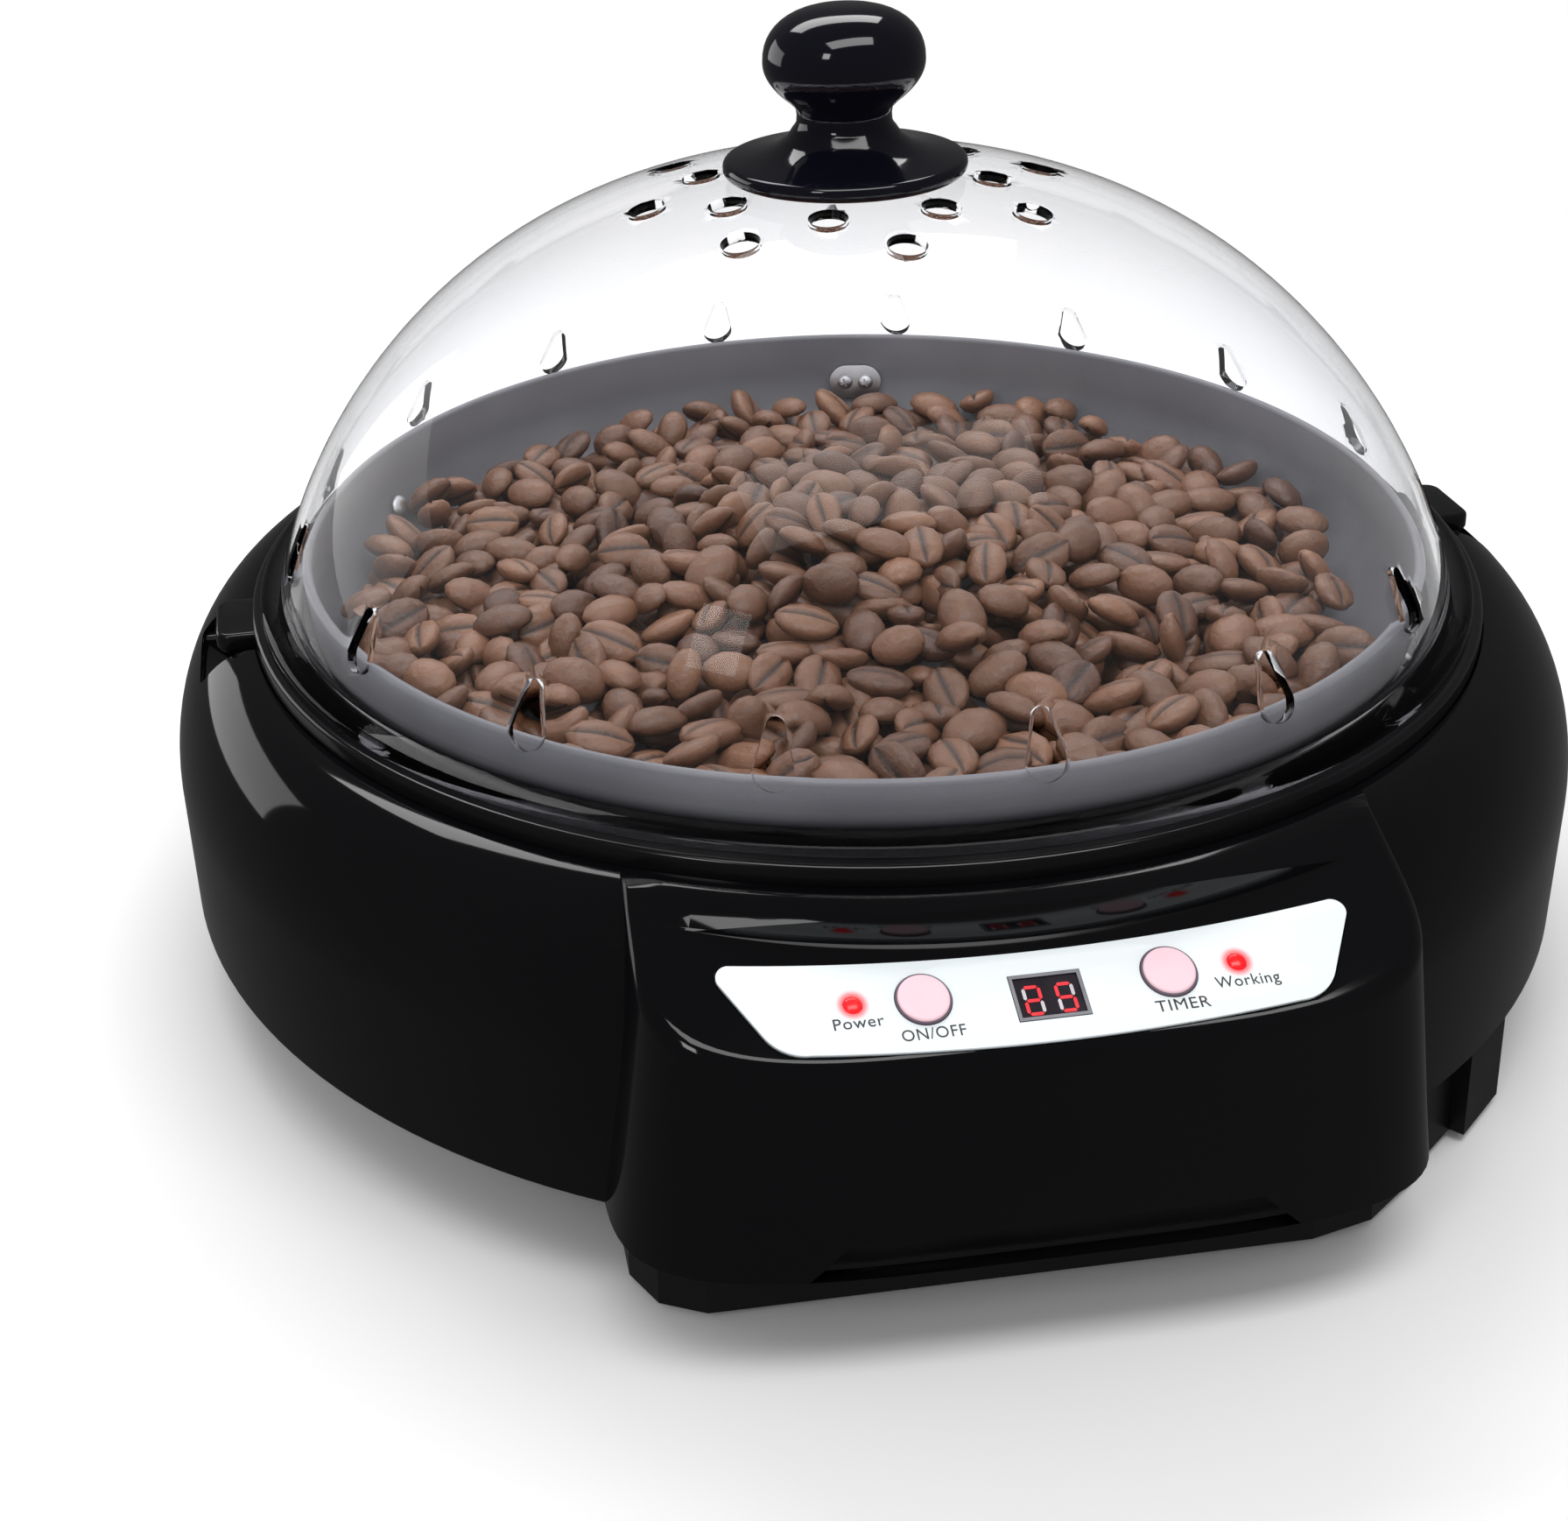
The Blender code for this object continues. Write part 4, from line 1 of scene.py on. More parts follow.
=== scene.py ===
"""Home coffee bean roaster: fine surfaces, finishes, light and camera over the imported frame.

Every length is in metres, +Z up, the roaster's axis at x = y = 0 and its front toward -Y.
"""

import logging
import math
import random
from dataclasses import dataclass, field
from enum import Enum
from typing import Callable, Iterable, Sequence

import bmesh
import bpy
from mathutils import Matrix, Quaternion, Vector


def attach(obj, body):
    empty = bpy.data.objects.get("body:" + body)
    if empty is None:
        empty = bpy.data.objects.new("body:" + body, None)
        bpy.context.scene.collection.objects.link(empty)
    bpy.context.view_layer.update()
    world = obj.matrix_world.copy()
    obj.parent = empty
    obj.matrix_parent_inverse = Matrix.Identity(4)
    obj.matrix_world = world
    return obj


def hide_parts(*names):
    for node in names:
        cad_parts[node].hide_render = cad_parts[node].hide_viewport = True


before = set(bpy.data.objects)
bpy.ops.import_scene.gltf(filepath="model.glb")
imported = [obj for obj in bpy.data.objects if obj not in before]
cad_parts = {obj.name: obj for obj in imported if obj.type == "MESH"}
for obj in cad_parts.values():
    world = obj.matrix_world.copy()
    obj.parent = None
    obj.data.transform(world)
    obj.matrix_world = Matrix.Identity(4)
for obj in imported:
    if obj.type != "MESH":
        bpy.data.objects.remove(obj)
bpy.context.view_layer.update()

LOG = logging.getLogger("roaster")
MM = 0.001
TURN = math.tau
Outline = Sequence[tuple[float, float]]
Colour = tuple[float, float, float]


class Body(Enum):
    """Rigid bodies that pieces ride on."""

    BASE = "base"
    PAN = "pan_unit"
    STIRRER = "stirrer"
    LID = "lid"
    POWER_KEY = "power_key"
    TIMER_KEY = "timer_key"


class Cut(Enum):
    """Ways in which one closed mesh works on another."""

    JOIN = "UNION"
    REMOVE = "DIFFERENCE"
    KEEP = "INTERSECT"


# Bench work: small steps of modelling that every sub-assembly uses


def deselect() -> None:
    """Leave edit mode and select nothing."""
    if bpy.context.object and bpy.context.object.mode != "OBJECT":
        bpy.ops.object.mode_set(mode="OBJECT")
    bpy.ops.object.select_all(action="DESELECT")


def pick(piece: bpy.types.Object) -> None:
    """Select one piece alone and make it the active one."""
    deselect()
    piece.select_set(True)
    bpy.context.view_layer.objects.active = piece


def started(name: str) -> bpy.types.Object:
    """Name the primitive that was just added.

    Args:
        name: the piece's name.

    Returns:
        The new object.
    """
    piece = bpy.context.object
    piece.name = name
    piece.data.name = name
    return piece


def open_mesh(piece: bpy.types.Object) -> None:
    """Enter edit mode with everything selected."""
    pick(piece)
    bpy.ops.object.mode_set(mode="EDIT")
    bpy.ops.mesh.select_mode(type="VERT")
    bpy.ops.mesh.select_all(action="SELECT")


def close_mesh(merge: float = 0.0) -> None:
    """Leave edit mode, after merging doubles and turning the faces outwards if asked.

    Args:
        merge: distance under which points are merged; nothing is done at zero.
    """
    if merge:
        bpy.ops.mesh.select_all(action="SELECT")
        bpy.ops.mesh.remove_doubles(threshold=merge)
        bpy.ops.mesh.normals_make_consistent(inside=False)
    bpy.ops.object.mode_set(mode="OBJECT")


PARTS = {
    "VERT": ("verts", lambda point: (point.co,)),
    "EDGE": ("edges", lambda edge: (edge.verts[0].co, edge.verts[1].co, edge.calc_face_angle(0.0))),
    "FACE": ("faces", lambda face: (face.calc_center_median(), face.normal)),
}


def select_where(piece: bpy.types.Object, kind: str, test: Callable[..., bool]) -> None:
    """Select points, edges or faces of the mesh in edit mode by a test.

    Args:
        piece: the object in edit mode.
        kind: VERT, EDGE or FACE.
        test: told a point's place, an edge's two ends and the angle between its faces, or a
            face's middle and normal; says whether it is wanted.
    """
    bpy.ops.mesh.select_mode(type=kind)
    mesh = bmesh.from_edit_mesh(piece.data)
    group, facts = PARTS[kind]
    chosen = [part for part in getattr(mesh, group) if test(*facts(part))]
    for part in getattr(mesh, group):
        part.select_set(False)
    for part in chosen:
        part.select_set(True)
    mesh.select_flush_mode()
    bmesh.update_edit_mesh(piece.data)


def settle(piece: bpy.types.Object, place: Matrix | None = None) -> bpy.types.Object:
    """Move a piece to a place and take that place into its mesh.

    Args:
        piece: the piece, at its own origin.
        place: where it goes; its present place if none is given.

    Returns:
        The same piece, with its object at the origin.
    """
    pick(piece)
    if place is not None:
        piece.matrix_world = place
    bpy.ops.object.transform_apply(location=True, rotation=True, scale=True)
    return piece


def apply_modifier(piece: bpy.types.Object, kind: str, **settings: object) -> None:
    """Add a modifier, set it and apply it.

    Args:
        piece: the piece to work on.
        kind: the modifier's type.
        settings: its values by name.
    """
    pick(piece)
    modifier = piece.modifiers.new(kind.title(), kind)
    for key, value in settings.items():
        setattr(modifier, key, value)
    bpy.ops.object.modifier_apply(modifier=modifier.name)


def carve(piece: bpy.types.Object, tool: bpy.types.Object, how: Cut = Cut.REMOVE) -> None:
    """Work one closed mesh on another and remove the tool.

    Args:
        piece: the piece that stays.
        tool: the mesh that is cut away, joined or kept.
        how: which of the three.
    """
    apply_modifier(piece, "BOOLEAN", object=tool, operation=how.value, solver="EXACT")
    bpy.data.objects.remove(tool, do_unlink=True)


def round_edges(piece: bpy.types.Object, width: float, segments: int = 3, angle: float = 35.0) -> None:
    """Round every edge that is sharper than an angle.

    Args:
        piece: the piece to work on.
        width: width of the rounding.
        segments: faces across it.
        angle: least angle between faces, in degrees.
    """
    apply_modifier(
        piece,
        "BEVEL",
        width=width,
        segments=segments,
        limit_method="ANGLE",
        angle_limit=math.radians(angle),
        use_clamp_overlap=True,
    )


def smooth(piece: bpy.types.Object, angle: float = 32.0) -> bpy.types.Object:
    """Shade a piece smooth, with edges sharper than an angle kept crisp.

    Args:
        piece: the piece to shade.
        angle: the angle in degrees.

    Returns:
        The same piece.
    """
    pick(piece)
    bpy.ops.object.shade_smooth_by_angle(angle=math.radians(angle))
    return piece


def polar(reach: float, angle: float, height: float = 0.0) -> Vector:
    """Point at a distance from the axis, at an angle from the front, at a height."""
    return Vector((reach * math.sin(angle), -reach * math.cos(angle), height))


def arc(
    centre: tuple[float, float], radii: tuple[float, float], start: float, end: float, count: int
) -> list:
    """Points on an ellipse's arc.

    Args:
        centre: the middle.
        radii: half width and half height.
        start: first angle, from the X axis.
        end: last angle.
        count: number of points, both ends in.

    Returns:
        The points in order.
    """
    angles = [start + (end - start) * index / (count - 1) for index in range(count)]
    return [(centre[0] + radii[0] * math.cos(a), centre[1] + radii[1] * math.sin(a)) for a in angles]


def turned(name: str, profile: Outline, steps: int, closed: bool = False) -> bpy.types.Object:
    """Turn a profile of (radius, height) points once round the Z axis.

    Args:
        name: the piece's name.
        profile: points from one end of the profile to the other.
        steps: faces round the axis.
        closed: whether the profile's last point joins its first.

    Returns:
        The turned piece at the origin.
    """
    deselect()
    bpy.ops.mesh.primitive_plane_add(size=MM, location=(0, 0, 0))
    piece = started(name)
    open_mesh(piece)
    bpy.ops.mesh.merge(type="CENTER")
    bpy.ops.transform.translate(value=(profile[0][0], 0, profile[0][1]))
    here = profile[0]
    for point in profile[1:]:
        step = (point[0] - here[0], 0, point[1] - here[1])
        bpy.ops.mesh.extrude_vertices_move(TRANSFORM_OT_translate={"value": step})
        here = point
    if closed:
        first = Vector((profile[0][0], 0, profile[0][1]))
        last = Vector((here[0], 0, here[1]))
        near = MM / 1000
        select_where(piece, "VERT", lambda co: (co - first).length < near or (co - last).length < near)
        bpy.ops.mesh.edge_face_add()
    bpy.ops.mesh.select_all(action="SELECT")
    bpy.ops.mesh.spin(steps=steps, angle=TURN, center=(0, 0, 0), axis=(0, 0, 1))
    close_mesh(merge=MM / 200)
    return piece


def plate(name: str, outlines: Sequence[Outline], bottom: float, top: float) -> bpy.types.Object:
    """Flat plate between two heights; outlines after the first are its holes.

    Args:
        name: the piece's name.
        outlines: closed outlines in the XY plane.
        bottom: lower height.
        top: upper height.

    Returns:
        The plate as a closed mesh at the origin.
    """
    curve = bpy.data.curves.new(name, "CURVE")
    curve.dimensions = "2D"
    curve.fill_mode = "BOTH"
    curve.extrude = (top - bottom) / 2
    for outline in outlines:
        spline = curve.splines.new("POLY")
        spline.points.add(len(outline) - 1)
        for point, (x, y) in zip(spline.points, outline):
            point.co = (x, y, 0, 1)
        spline.use_cyclic_u = True
    piece = bpy.data.objects.new(name, curve)
    bpy.context.scene.collection.objects.link(piece)
    pick(piece)
    bpy.ops.object.convert(target="MESH")
    open_mesh(piece)
    bpy.ops.transform.translate(value=(0, 0, (top + bottom) / 2))
    close_mesh(merge=MM / 100)
    return piece


def block(name: str, size: Sequence[float], middle: Sequence[float]) -> bpy.types.Object:
    """Make a box, as a start or a tool.

    Args:
        name: the box's name.
        size: its width, depth and height.
        middle: its middle.

    Returns:
        The box, with its object at the origin.
    """
    deselect()
    bpy.ops.mesh.primitive_cube_add(size=1, location=tuple(middle))
    piece = started(name)
    piece.scale = tuple(size)
    return settle(piece)


def rod(name: str, radius: float, bottom: float, top: float, steps: int = 48) -> bpy.types.Object:
    """Make a round bar on the Z axis, as a start or a tool.

    Args:
        name: the bar's name.
        radius: its radius.
        bottom: lower height.
        top: upper height.
        steps: faces round it.

    Returns:
        The bar, with its object at the origin.
    """
    deselect()
    bpy.ops.mesh.primitive_cylinder_add(
        vertices=steps, radius=radius, depth=top - bottom, location=(0, 0, (top + bottom) / 2)
    )
    return settle(started(name))


def copied(piece: bpy.types.Object, name: str, place: Matrix) -> bpy.types.Object:
    """Copy a piece, with a mesh of its own, to a place.

    Args:
        piece: the piece that is repeated.
        name: the copy's name.
        place: where the copy goes.

    Returns:
        The copy, its place taken into its mesh.
    """
    pick(piece)
    bpy.ops.object.duplicate(linked=False)
    return settle(started(name), place)


def joined(pieces: Sequence[bpy.types.Object], name: str) -> bpy.types.Object:
    """Join meshes into one piece.

    Args:
        pieces: the meshes.
        name: the joined piece's name.

    Returns:
        The joined piece.
    """
    pick(pieces[0])
    for piece in pieces:
        piece.select_set(True)
    bpy.ops.object.join()
    return started(name)


def grown(outline: Outline, distance: float) -> list:
    """Move an outline outwards.

    Args:
        outline: a closed outline.
        distance: how far each edge moves.

    Returns:
        The moved outline.
    """
    count = len(outline)
    points = [Vector(point) for point in outline]
    area = sum(points[i].cross(points[(i + 1) % count]) for i in range(count))
    side = math.copysign(1, area)
    moved = []
    for index, here in enumerate(points):
        first = (here - points[index - 1]).normalized()
        second = (points[(index + 1) % count] - here).normalized()
        normal = Vector((first.y + second.y, -first.x - second.x)).normalized() * side
        spread = max(normal.dot(Vector((first.y, -first.x)) * side), 0.5)
        moved.append(tuple(here + normal * distance / spread))
    return moved


def even(outline: Outline, step: float) -> list:
    """Set points at an even spacing along an open outline.

    Args:
        outline: many points along the line.
        step: the spacing wanted.

    Returns:
        The new points, both ends kept.
    """
    lengths = [0.0]
    for before, after in zip(outline, outline[1:]):
        lengths.append(lengths[-1] + math.dist(before, after))
    count = max(2, round(lengths[-1] / step))
    points = []
    index = 0
    for number in range(count + 1):
        target = lengths[-1] * number / count
        while index < len(lengths) - 2 and lengths[index + 1] < target:
            index += 1
        span = lengths[index + 1] - lengths[index]
        share = (target - lengths[index]) / span if span else 0.0
        start, end = outline[index], outline[index + 1]
        across = start[0] + (end[0] - start[0]) * share
        points.append((across, start[1] + (end[1] - start[1]) * share))
    return points


def paint(piece: bpy.types.Object, finish: "Finish") -> None:
    """Give a piece one finish in place of what it has."""
    piece.data.materials.clear()
    piece.data.materials.append(finish.material())


def finished(
    piece: bpy.types.Object, finish: "Finish", body: Body, nodes: Iterable[str] = ()
) -> None:
    """Dress a piece, let it ride on its body and report it.

    Args:
        piece: the modelled piece.
        finish: its finish.
        body: the body it rides on.
        nodes: CAD nodes it stands for.
    """
    paint(piece, finish)
    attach(piece, body.value)
    nodes = tuple(nodes)
    if nodes:
        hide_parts(*nodes)
    LOG.info("%s: %d faces on %s", piece.name, len(piece.data.polygons), body.value)


# Finishes


def linear(red: int, green: int, blue: int) -> Colour:
    """Turn a colour of 0 to 255 into scene values."""
    shares = [value / 255 for value in (red, green, blue)]
    return tuple(v / 12.92 if v <= 10 / 255 else ((v + 0.055) / 1.055) ** 2.4 for v in shares)


class Wiring:
    """Nodes and links of one material, world or group."""

    def __init__(self, tree: bpy.types.NodeTree) -> None:
        """Take the tree that is worked on."""
        self.tree = tree

    def feed(self, entry: bpy.types.NodeSocket, source: object) -> None:
        """Link an input to an output, or set it to a plain value.

        Args:
            entry: the input.
            source: an output or a value; a colour gets its alpha here.
        """
        if isinstance(source, bpy.types.NodeSocket):
            self.tree.links.new(source, entry)
        else:
            entry.default_value = (*source, 1) if isinstance(source, tuple) else source

    def add(self, kind: str, sources: dict | None = None, **settings: object) -> bpy.types.Node:
        """Add a node, set it and feed its inputs.

        Args:
            kind: the node's type, without what every shader node's type starts with.
            sources: an output or a value for each input that is fed.
            settings: the node's own settings by name.

        Returns:
            The node.
        """
        node = self.tree.nodes.new(f"ShaderNode{kind}")
        for key, value in settings.items():
            setattr(node, key, value)
        for key, source in (sources or {}).items():
            self.feed(node.inputs[key], source)
        return node

    def shade(self, sources: dict) -> None:
        """Feed inputs of the material's shader."""
        for key, source in sources.items():
            self.feed(self.tree.nodes["Principled BSDF"].inputs[key], source)

    def base_colour(self) -> bpy.types.NodeSocket:
        """Output that the shader's colour comes from."""
        return self.tree.nodes["Principled BSDF"].inputs["Base Color"].links[0].from_socket

    def math(self, operation: str, *sources: object) -> bpy.types.NodeSocket:
        """Work out one value from several, kept between 0 and 1."""
        node = self.add("Math", dict(enumerate(sources)), operation=operation, use_clamp=True)
        return node.outputs[0]

    def mixed(self, share: object, first: object, second: object, kind: str = "RGBA") -> bpy.types.NodeSocket:
        """Blend two colours or values by a share."""
        return self.add("Mix", {"Factor": share, "A": first, "B": second}, data_type=kind).outputs["Result"]

    def stretched(self, value: object, low: float, high: float, **settings: object) -> bpy.types.NodeSocket:
        """Stretch the values between two limits to 0 to 1."""
        span = {"Value": value, "From Min": low, "From Max": high}
        return self.add("MapRange", span, **settings).outputs["Result"]

    def attribute(self, name: str) -> bpy.types.NodeSocket:
        """Read one of the piece's own attributes."""
        return self.add("Attribute", attribute_name=name).outputs["Fac"]

    def ramp(self, share: object, ends: Sequence[Colour], course: str = "LINEAR") -> bpy.types.NodeSocket:
        """Turn a share into a colour between two.

        Args:
            share: how far along the ramp.
            ends: the first and the last colour.
            course: how the colour runs between them.

        Returns:
            The colour.
        """
        node = self.add("ValToRGB", {"Fac": share})
        node.color_ramp.interpolation = course
        for element, colour in zip(node.color_ramp.elements, ends):
            element.color = (*colour, 1)
        return node.outputs["Color"]

    def let_through(self, share: bpy.types.NodeSocket) -> None:
        """Make the material's shader give way to plain transparency.

        Args:
            share: how far it gives way.
        """
        nodes = self.tree.nodes
        clear = self.add("BsdfTransparent").outputs["BSDF"]
        mix = self.add("MixShader", {"Fac": share, 1: nodes["Principled BSDF"].outputs["BSDF"], 2: clear})
        self.feed(nodes["Material Output"].inputs["Surface"], mix.outputs["Shader"])


class Effect(Enum):
    """Shared effects, each built once as a node group."""

    MOTTLE = "mottle"
    GRAIN = "grain"


NOISE_DETAIL = 4.0
NOISE_SPAN = (0.35, 0.65)


def effect(kind: Effect) -> bpy.types.NodeTree:
    """Give the node group of a shared effect, built the first time it is asked for.

    Args:
        kind: which effect.

    Returns:
        The group. MOTTLE puts out a colour and a roughness that drift over the surface; GRAIN
        puts out the height of a fine moulded or cast skin.
    """
    group = bpy.data.node_groups.get(kind.value)
    if group:
        return group
    group = bpy.data.node_groups.new(kind.value, "ShaderNodeTree")
    entries = {"Vector": "Vector", "Scale": "Float"}
    results = {"Height": "Float"}
    if kind is Effect.MOTTLE:
        entries.update({"Amount": "Float", "Colour": "Color", "Second": "Color", "Roughness": "Float"})
        results = {"Colour": "Color", "Roughness": "Float"}
    for way, sockets in (("INPUT", entries), ("OUTPUT", results)):
        for label, socket in sockets.items():
            group.interface.new_socket(label, in_out=way, socket_type=f"NodeSocket{socket}")
    wiring = Wiring(group)
    given = group.nodes.new("NodeGroupInput").outputs
    result = group.nodes.new("NodeGroupOutput").inputs
    sources = {"Vector": given["Vector"], "Scale": given["Scale"], "Detail": NOISE_DETAIL}
    noise = wiring.add("TexNoise", sources).outputs["Fac"]
    if kind is Effect.GRAIN:
        wiring.feed(result["Height"], noise)
        return group
    share = wiring.stretched(noise, *NOISE_SPAN)
    wiring.feed(result["Colour"], wiring.mixed(share, given["Colour"], given["Second"]))
    drifting = wiring.math("MULTIPLY_ADD", share, given["Amount"], given["Roughness"])
    wiring.feed(result["Roughness"], drifting)
    return group


@dataclass(frozen=True)
class Finish:
    """Opaque finish whose colour and roughness drift a little, with a fine skin.

    The sockets that are the same all over are set on the shader itself.
    """

    name: str
    colour: Colour
    second: Colour
    roughness: float = 0.4
    drift: float = 0.05
    mottle_scale: float = 60.0
    grain_scale: float = 900.0
    grain: float = 0.0
    metallic: float = 0.0
    specular: float = 0.5
    glow: float = 0.0

    def material(self) -> bpy.types.Material:
        """Give the finish's material, built the first time it is asked for."""
        return bpy.data.materials.get(f"{self.name}_finish") or self.build()

    def build(self) -> bpy.types.Material:
        """Build the material's nodes.

        Returns:
            The new material.
        """
        material = bpy.data.materials.new(f"{self.name}_finish")
        material.use_nodes = True
        wiring = Wiring(material.node_tree)
        place = wiring.add("TexCoord").outputs["Object"]
        sources = {"Vector": place, "Scale": self.mottle_scale, "Amount": self.drift}
        sources.update({"Colour": self.colour, "Second": self.second, "Roughness": self.roughness})
        mottle = wiring.add("Group", sources, node_tree=effect(Effect.MOTTLE)).outputs
        wiring.shade({"Base Color": mottle["Colour"], "Roughness": mottle["Roughness"]})
        wiring.shade({"Metallic": self.metallic, "Specular IOR Level": self.specular})
        if self.grain:
            sources = {"Vector": place, "Scale": self.grain_scale}
            grain = wiring.add("Group", sources, node_tree=effect(Effect.GRAIN)).outputs["Height"]
            bump = wiring.add("Bump", {"Strength": 1.0, "Distance": self.grain, "Height": grain})
            wiring.shade({"Normal": bump.outputs["Normal"]})
        if self.glow:
            wiring.shade({"Emission Color": self.colour, "Emission Strength": self.glow})
        self.change(wiring)
        return material

    def change(self, wiring: Wiring) -> None:
        """Change the material further; a plain finish needs nothing more."""


@dataclass(frozen=True)
class ClearFinish(Finish):
    """Clear plastic that lets lamps through to what it covers, with painted shade at its flange."""

    ior: float = 1.2
    # Painted shade: a dark tint low on the flange that stands in for the black ring seen through the clear
    # plastic.
    foot: Colour = linear(40, 40, 44)
    flange_shade_height: float = 84.2 * MM
    flange_shade_fade: float = 2.4 * MM

    def change(self, wiring: Wiring) -> None:
        """Make the shader see-through, with painted shade at the flange, and pass the lamps' rays.

        Args:
            wiring: the material under way.
        """
        place = wiring.add("TexCoord").outputs["Object"]
        height = wiring.add("SeparateXYZ", {"Vector": place}).outputs["Z"]
        above = wiring.stretched(height, self.flange_shade_height, self.flange_shade_height + self.flange_shade_fade)
        # Painted shade: below the flange height the clear colour turns to the dark tint.
        wiring.shade({"Base Color": wiring.mixed(above, self.foot, wiring.base_colour())})
        wiring.shade({"Transmission Weight": 1.0, "IOR": self.ior})
        path = wiring.add("LightPath").outputs
        wiring.let_through(wiring.math("MAXIMUM", path["Is Shadow Ray"], path["Is Diffuse Ray"]))


@dataclass(frozen=True)
class PaintedGlowFinish(Finish):
    """Painted glow of a lit lamp on the label round it, from the lamp's red out to the label's own colour."""

    outer: Colour = linear(236, 244, 247)

    def change(self, wiring: Wiring) -> None:
        """Tint by the piece's own shade attribute, which fades the painted glow from red at the lens to the
        label's colour.
        """
        shade = wiring.attribute("shade")
        wiring.shade({"Base Color": wiring.ramp(shade, (self.colour, self.outer), "EASE")})


@dataclass(frozen=True)
class BeanFinish(Finish):
    """Roasted bean: brown that varies from bean to bean, painted shade in its crease and fine wrinkles."""

    # Painted shade: the colour that the crease is darkened to.
    dark: Colour = linear(38, 22, 16)
    light: Colour = linear(146, 104, 78)
    drift_share: float = 0.35

    def change(self, wiring: Wiring) -> None:
        """Tint by the piece's own attributes: one tone per bean from its shade attribute, and painted shade
        on the points of its crease.

        Args:
            wiring: the material under way.
        """
        shade = wiring.ramp(wiring.attribute("shade"), (self.colour, self.light))
        tint = wiring.mixed(self.drift_share, shade, wiring.base_colour())
        # Painted shade darkens the crease's points.
        wiring.shade({"Base Color": wiring.mixed(wiring.attribute("crease"), tint, self.dark)})


GLOSS_BLACK = Finish("gloss_black", linear(6, 6, 8), linear(10, 10, 12), 0.05, 0.03, 8.0, specular=0.35)
RING_BLACK = Finish("ring_black", linear(10, 10, 12), linear(14, 14, 16), 0.12, 0.05, 30.0, specular=0.4)
BASE_BLACK = Finish("base_black", linear(9, 9, 10), linear(14, 14, 15), 0.34, 0.1, 40.0, 1500.0, 0.02 * MM)
LABEL_WHITE = Finish("label_white", linear(236, 244, 247), linear(240, 246, 248), 0.38, 0.04, 20.0)
BUTTON_PINK = Finish("button_pink", linear(247, 205, 216), linear(250, 212, 221), 0.42, 0.04, 90.0)
BUTTON_RIM = Finish("button_rim", linear(92, 78, 92), linear(104, 90, 104), 0.4, 0.04, 90.0)
INK = Finish("ink", linear(46, 46, 50), linear(58, 58, 62), 0.5, 0.05, 300.0)
LAMP_RED = Finish("lamp_red", linear(225, 20, 26), linear(240, 34, 40), 0.2, 0.03, 200.0, glow=0.7)
# Painted glow: the lamp's red light on the label, put in as colour on a flat ring.
PAINTED_GLOW = PaintedGlowFinish("painted_lamp_glow", linear(244, 120, 126), linear(246, 130, 136), 0.38, 0.04, 200.0)
DISPLAY_FRAME = Finish("display_frame", linear(120, 120, 126), linear(136, 136, 142), 0.35, 0.06, 200.0)
DISPLAY_FACE = Finish("display_face", linear(34, 30, 36), linear(44, 38, 46), 0.12, 0.05, 120.0)
DIGIT_LIT = Finish("digit_lit", linear(216, 28, 40), linear(232, 44, 54), 0.3, 0.03, 300.0, glow=0.6)
DIGIT_OFF = Finish("digit_off", linear(196, 190, 196), linear(216, 210, 214), 0.4, 0.05, 300.0)
PAN_GREY = Finish(
    "pan_grey", linear(104, 104, 110), linear(118, 118, 124), 0.36, 0.1, 26.0, 2600.0, 0.03 * MM
)
RIVET_STEEL = Finish(
    "rivet_steel", linear(176, 176, 180), linear(198, 198, 202), 0.3, 0.1, 160.0, 1200.0, 0.01 * MM, 1.0
)
STEEL = Finish(
    "steel", linear(150, 151, 154), linear(178, 178, 182), 0.32, 0.12, 120.0, 900.0, 0.01 * MM, 1.0
)
BRIGHT_TIN = Finish(
    "bright_tin", linear(182, 182, 184), linear(206, 206, 208), 0.24, 0.14, 30.0, 700.0, 0.02 * MM, 1.0
)
ELEMENT_SHEATH = Finish(
    "element_sheath", linear(70, 62, 58), linear(96, 84, 76), 0.5, 0.15, 50.0, 900.0, 0.02 * MM, 0.6
)
RUBBER = Finish("rubber", linear(24, 24, 25), linear(32, 32, 33), 0.78, 0.08, 60.0, 1800.0, 0.03 * MM)
DARK_PLASTIC = Finish(
    "dark_plastic", linear(28, 28, 30), linear(38, 38, 40), 0.45, 0.08, 60.0, 1400.0, 0.02 * MM
)
WHITE_PLASTIC = Finish(
    "white_plastic", linear(222, 221, 214), linear(232, 231, 226), 0.45, 0.08, 50.0, 1400.0, 0.01 * MM
)
BOARD_GREEN = Finish(
    "board_green", linear(22, 84, 46), linear(34, 104, 58), 0.38, 0.1, 140.0, 1600.0, 0.02 * MM
)
RELAY_BLUE = Finish(
    "relay_blue", linear(24, 62, 140), linear(34, 76, 158), 0.4, 0.08, 80.0, 1400.0, 0.01 * MM
)
CLEAR_DOME = ClearFinish(
    "clear_dome", linear(250, 251, 253), linear(254, 254, 255), 0.0, 0.008, 14.0, specular=0.2
)
KNOB_BLACK = Finish("knob_black", linear(6, 6, 12), linear(10, 10, 20), 0.05, 0.03, 20.0)
ROASTED_BEAN = BeanFinish(
    "roasted_bean", linear(74, 46, 34), linear(112, 76, 56), 0.34, 0.18, 380.0, 900.0, 0.25 * MM
)


# Sub-assemblies


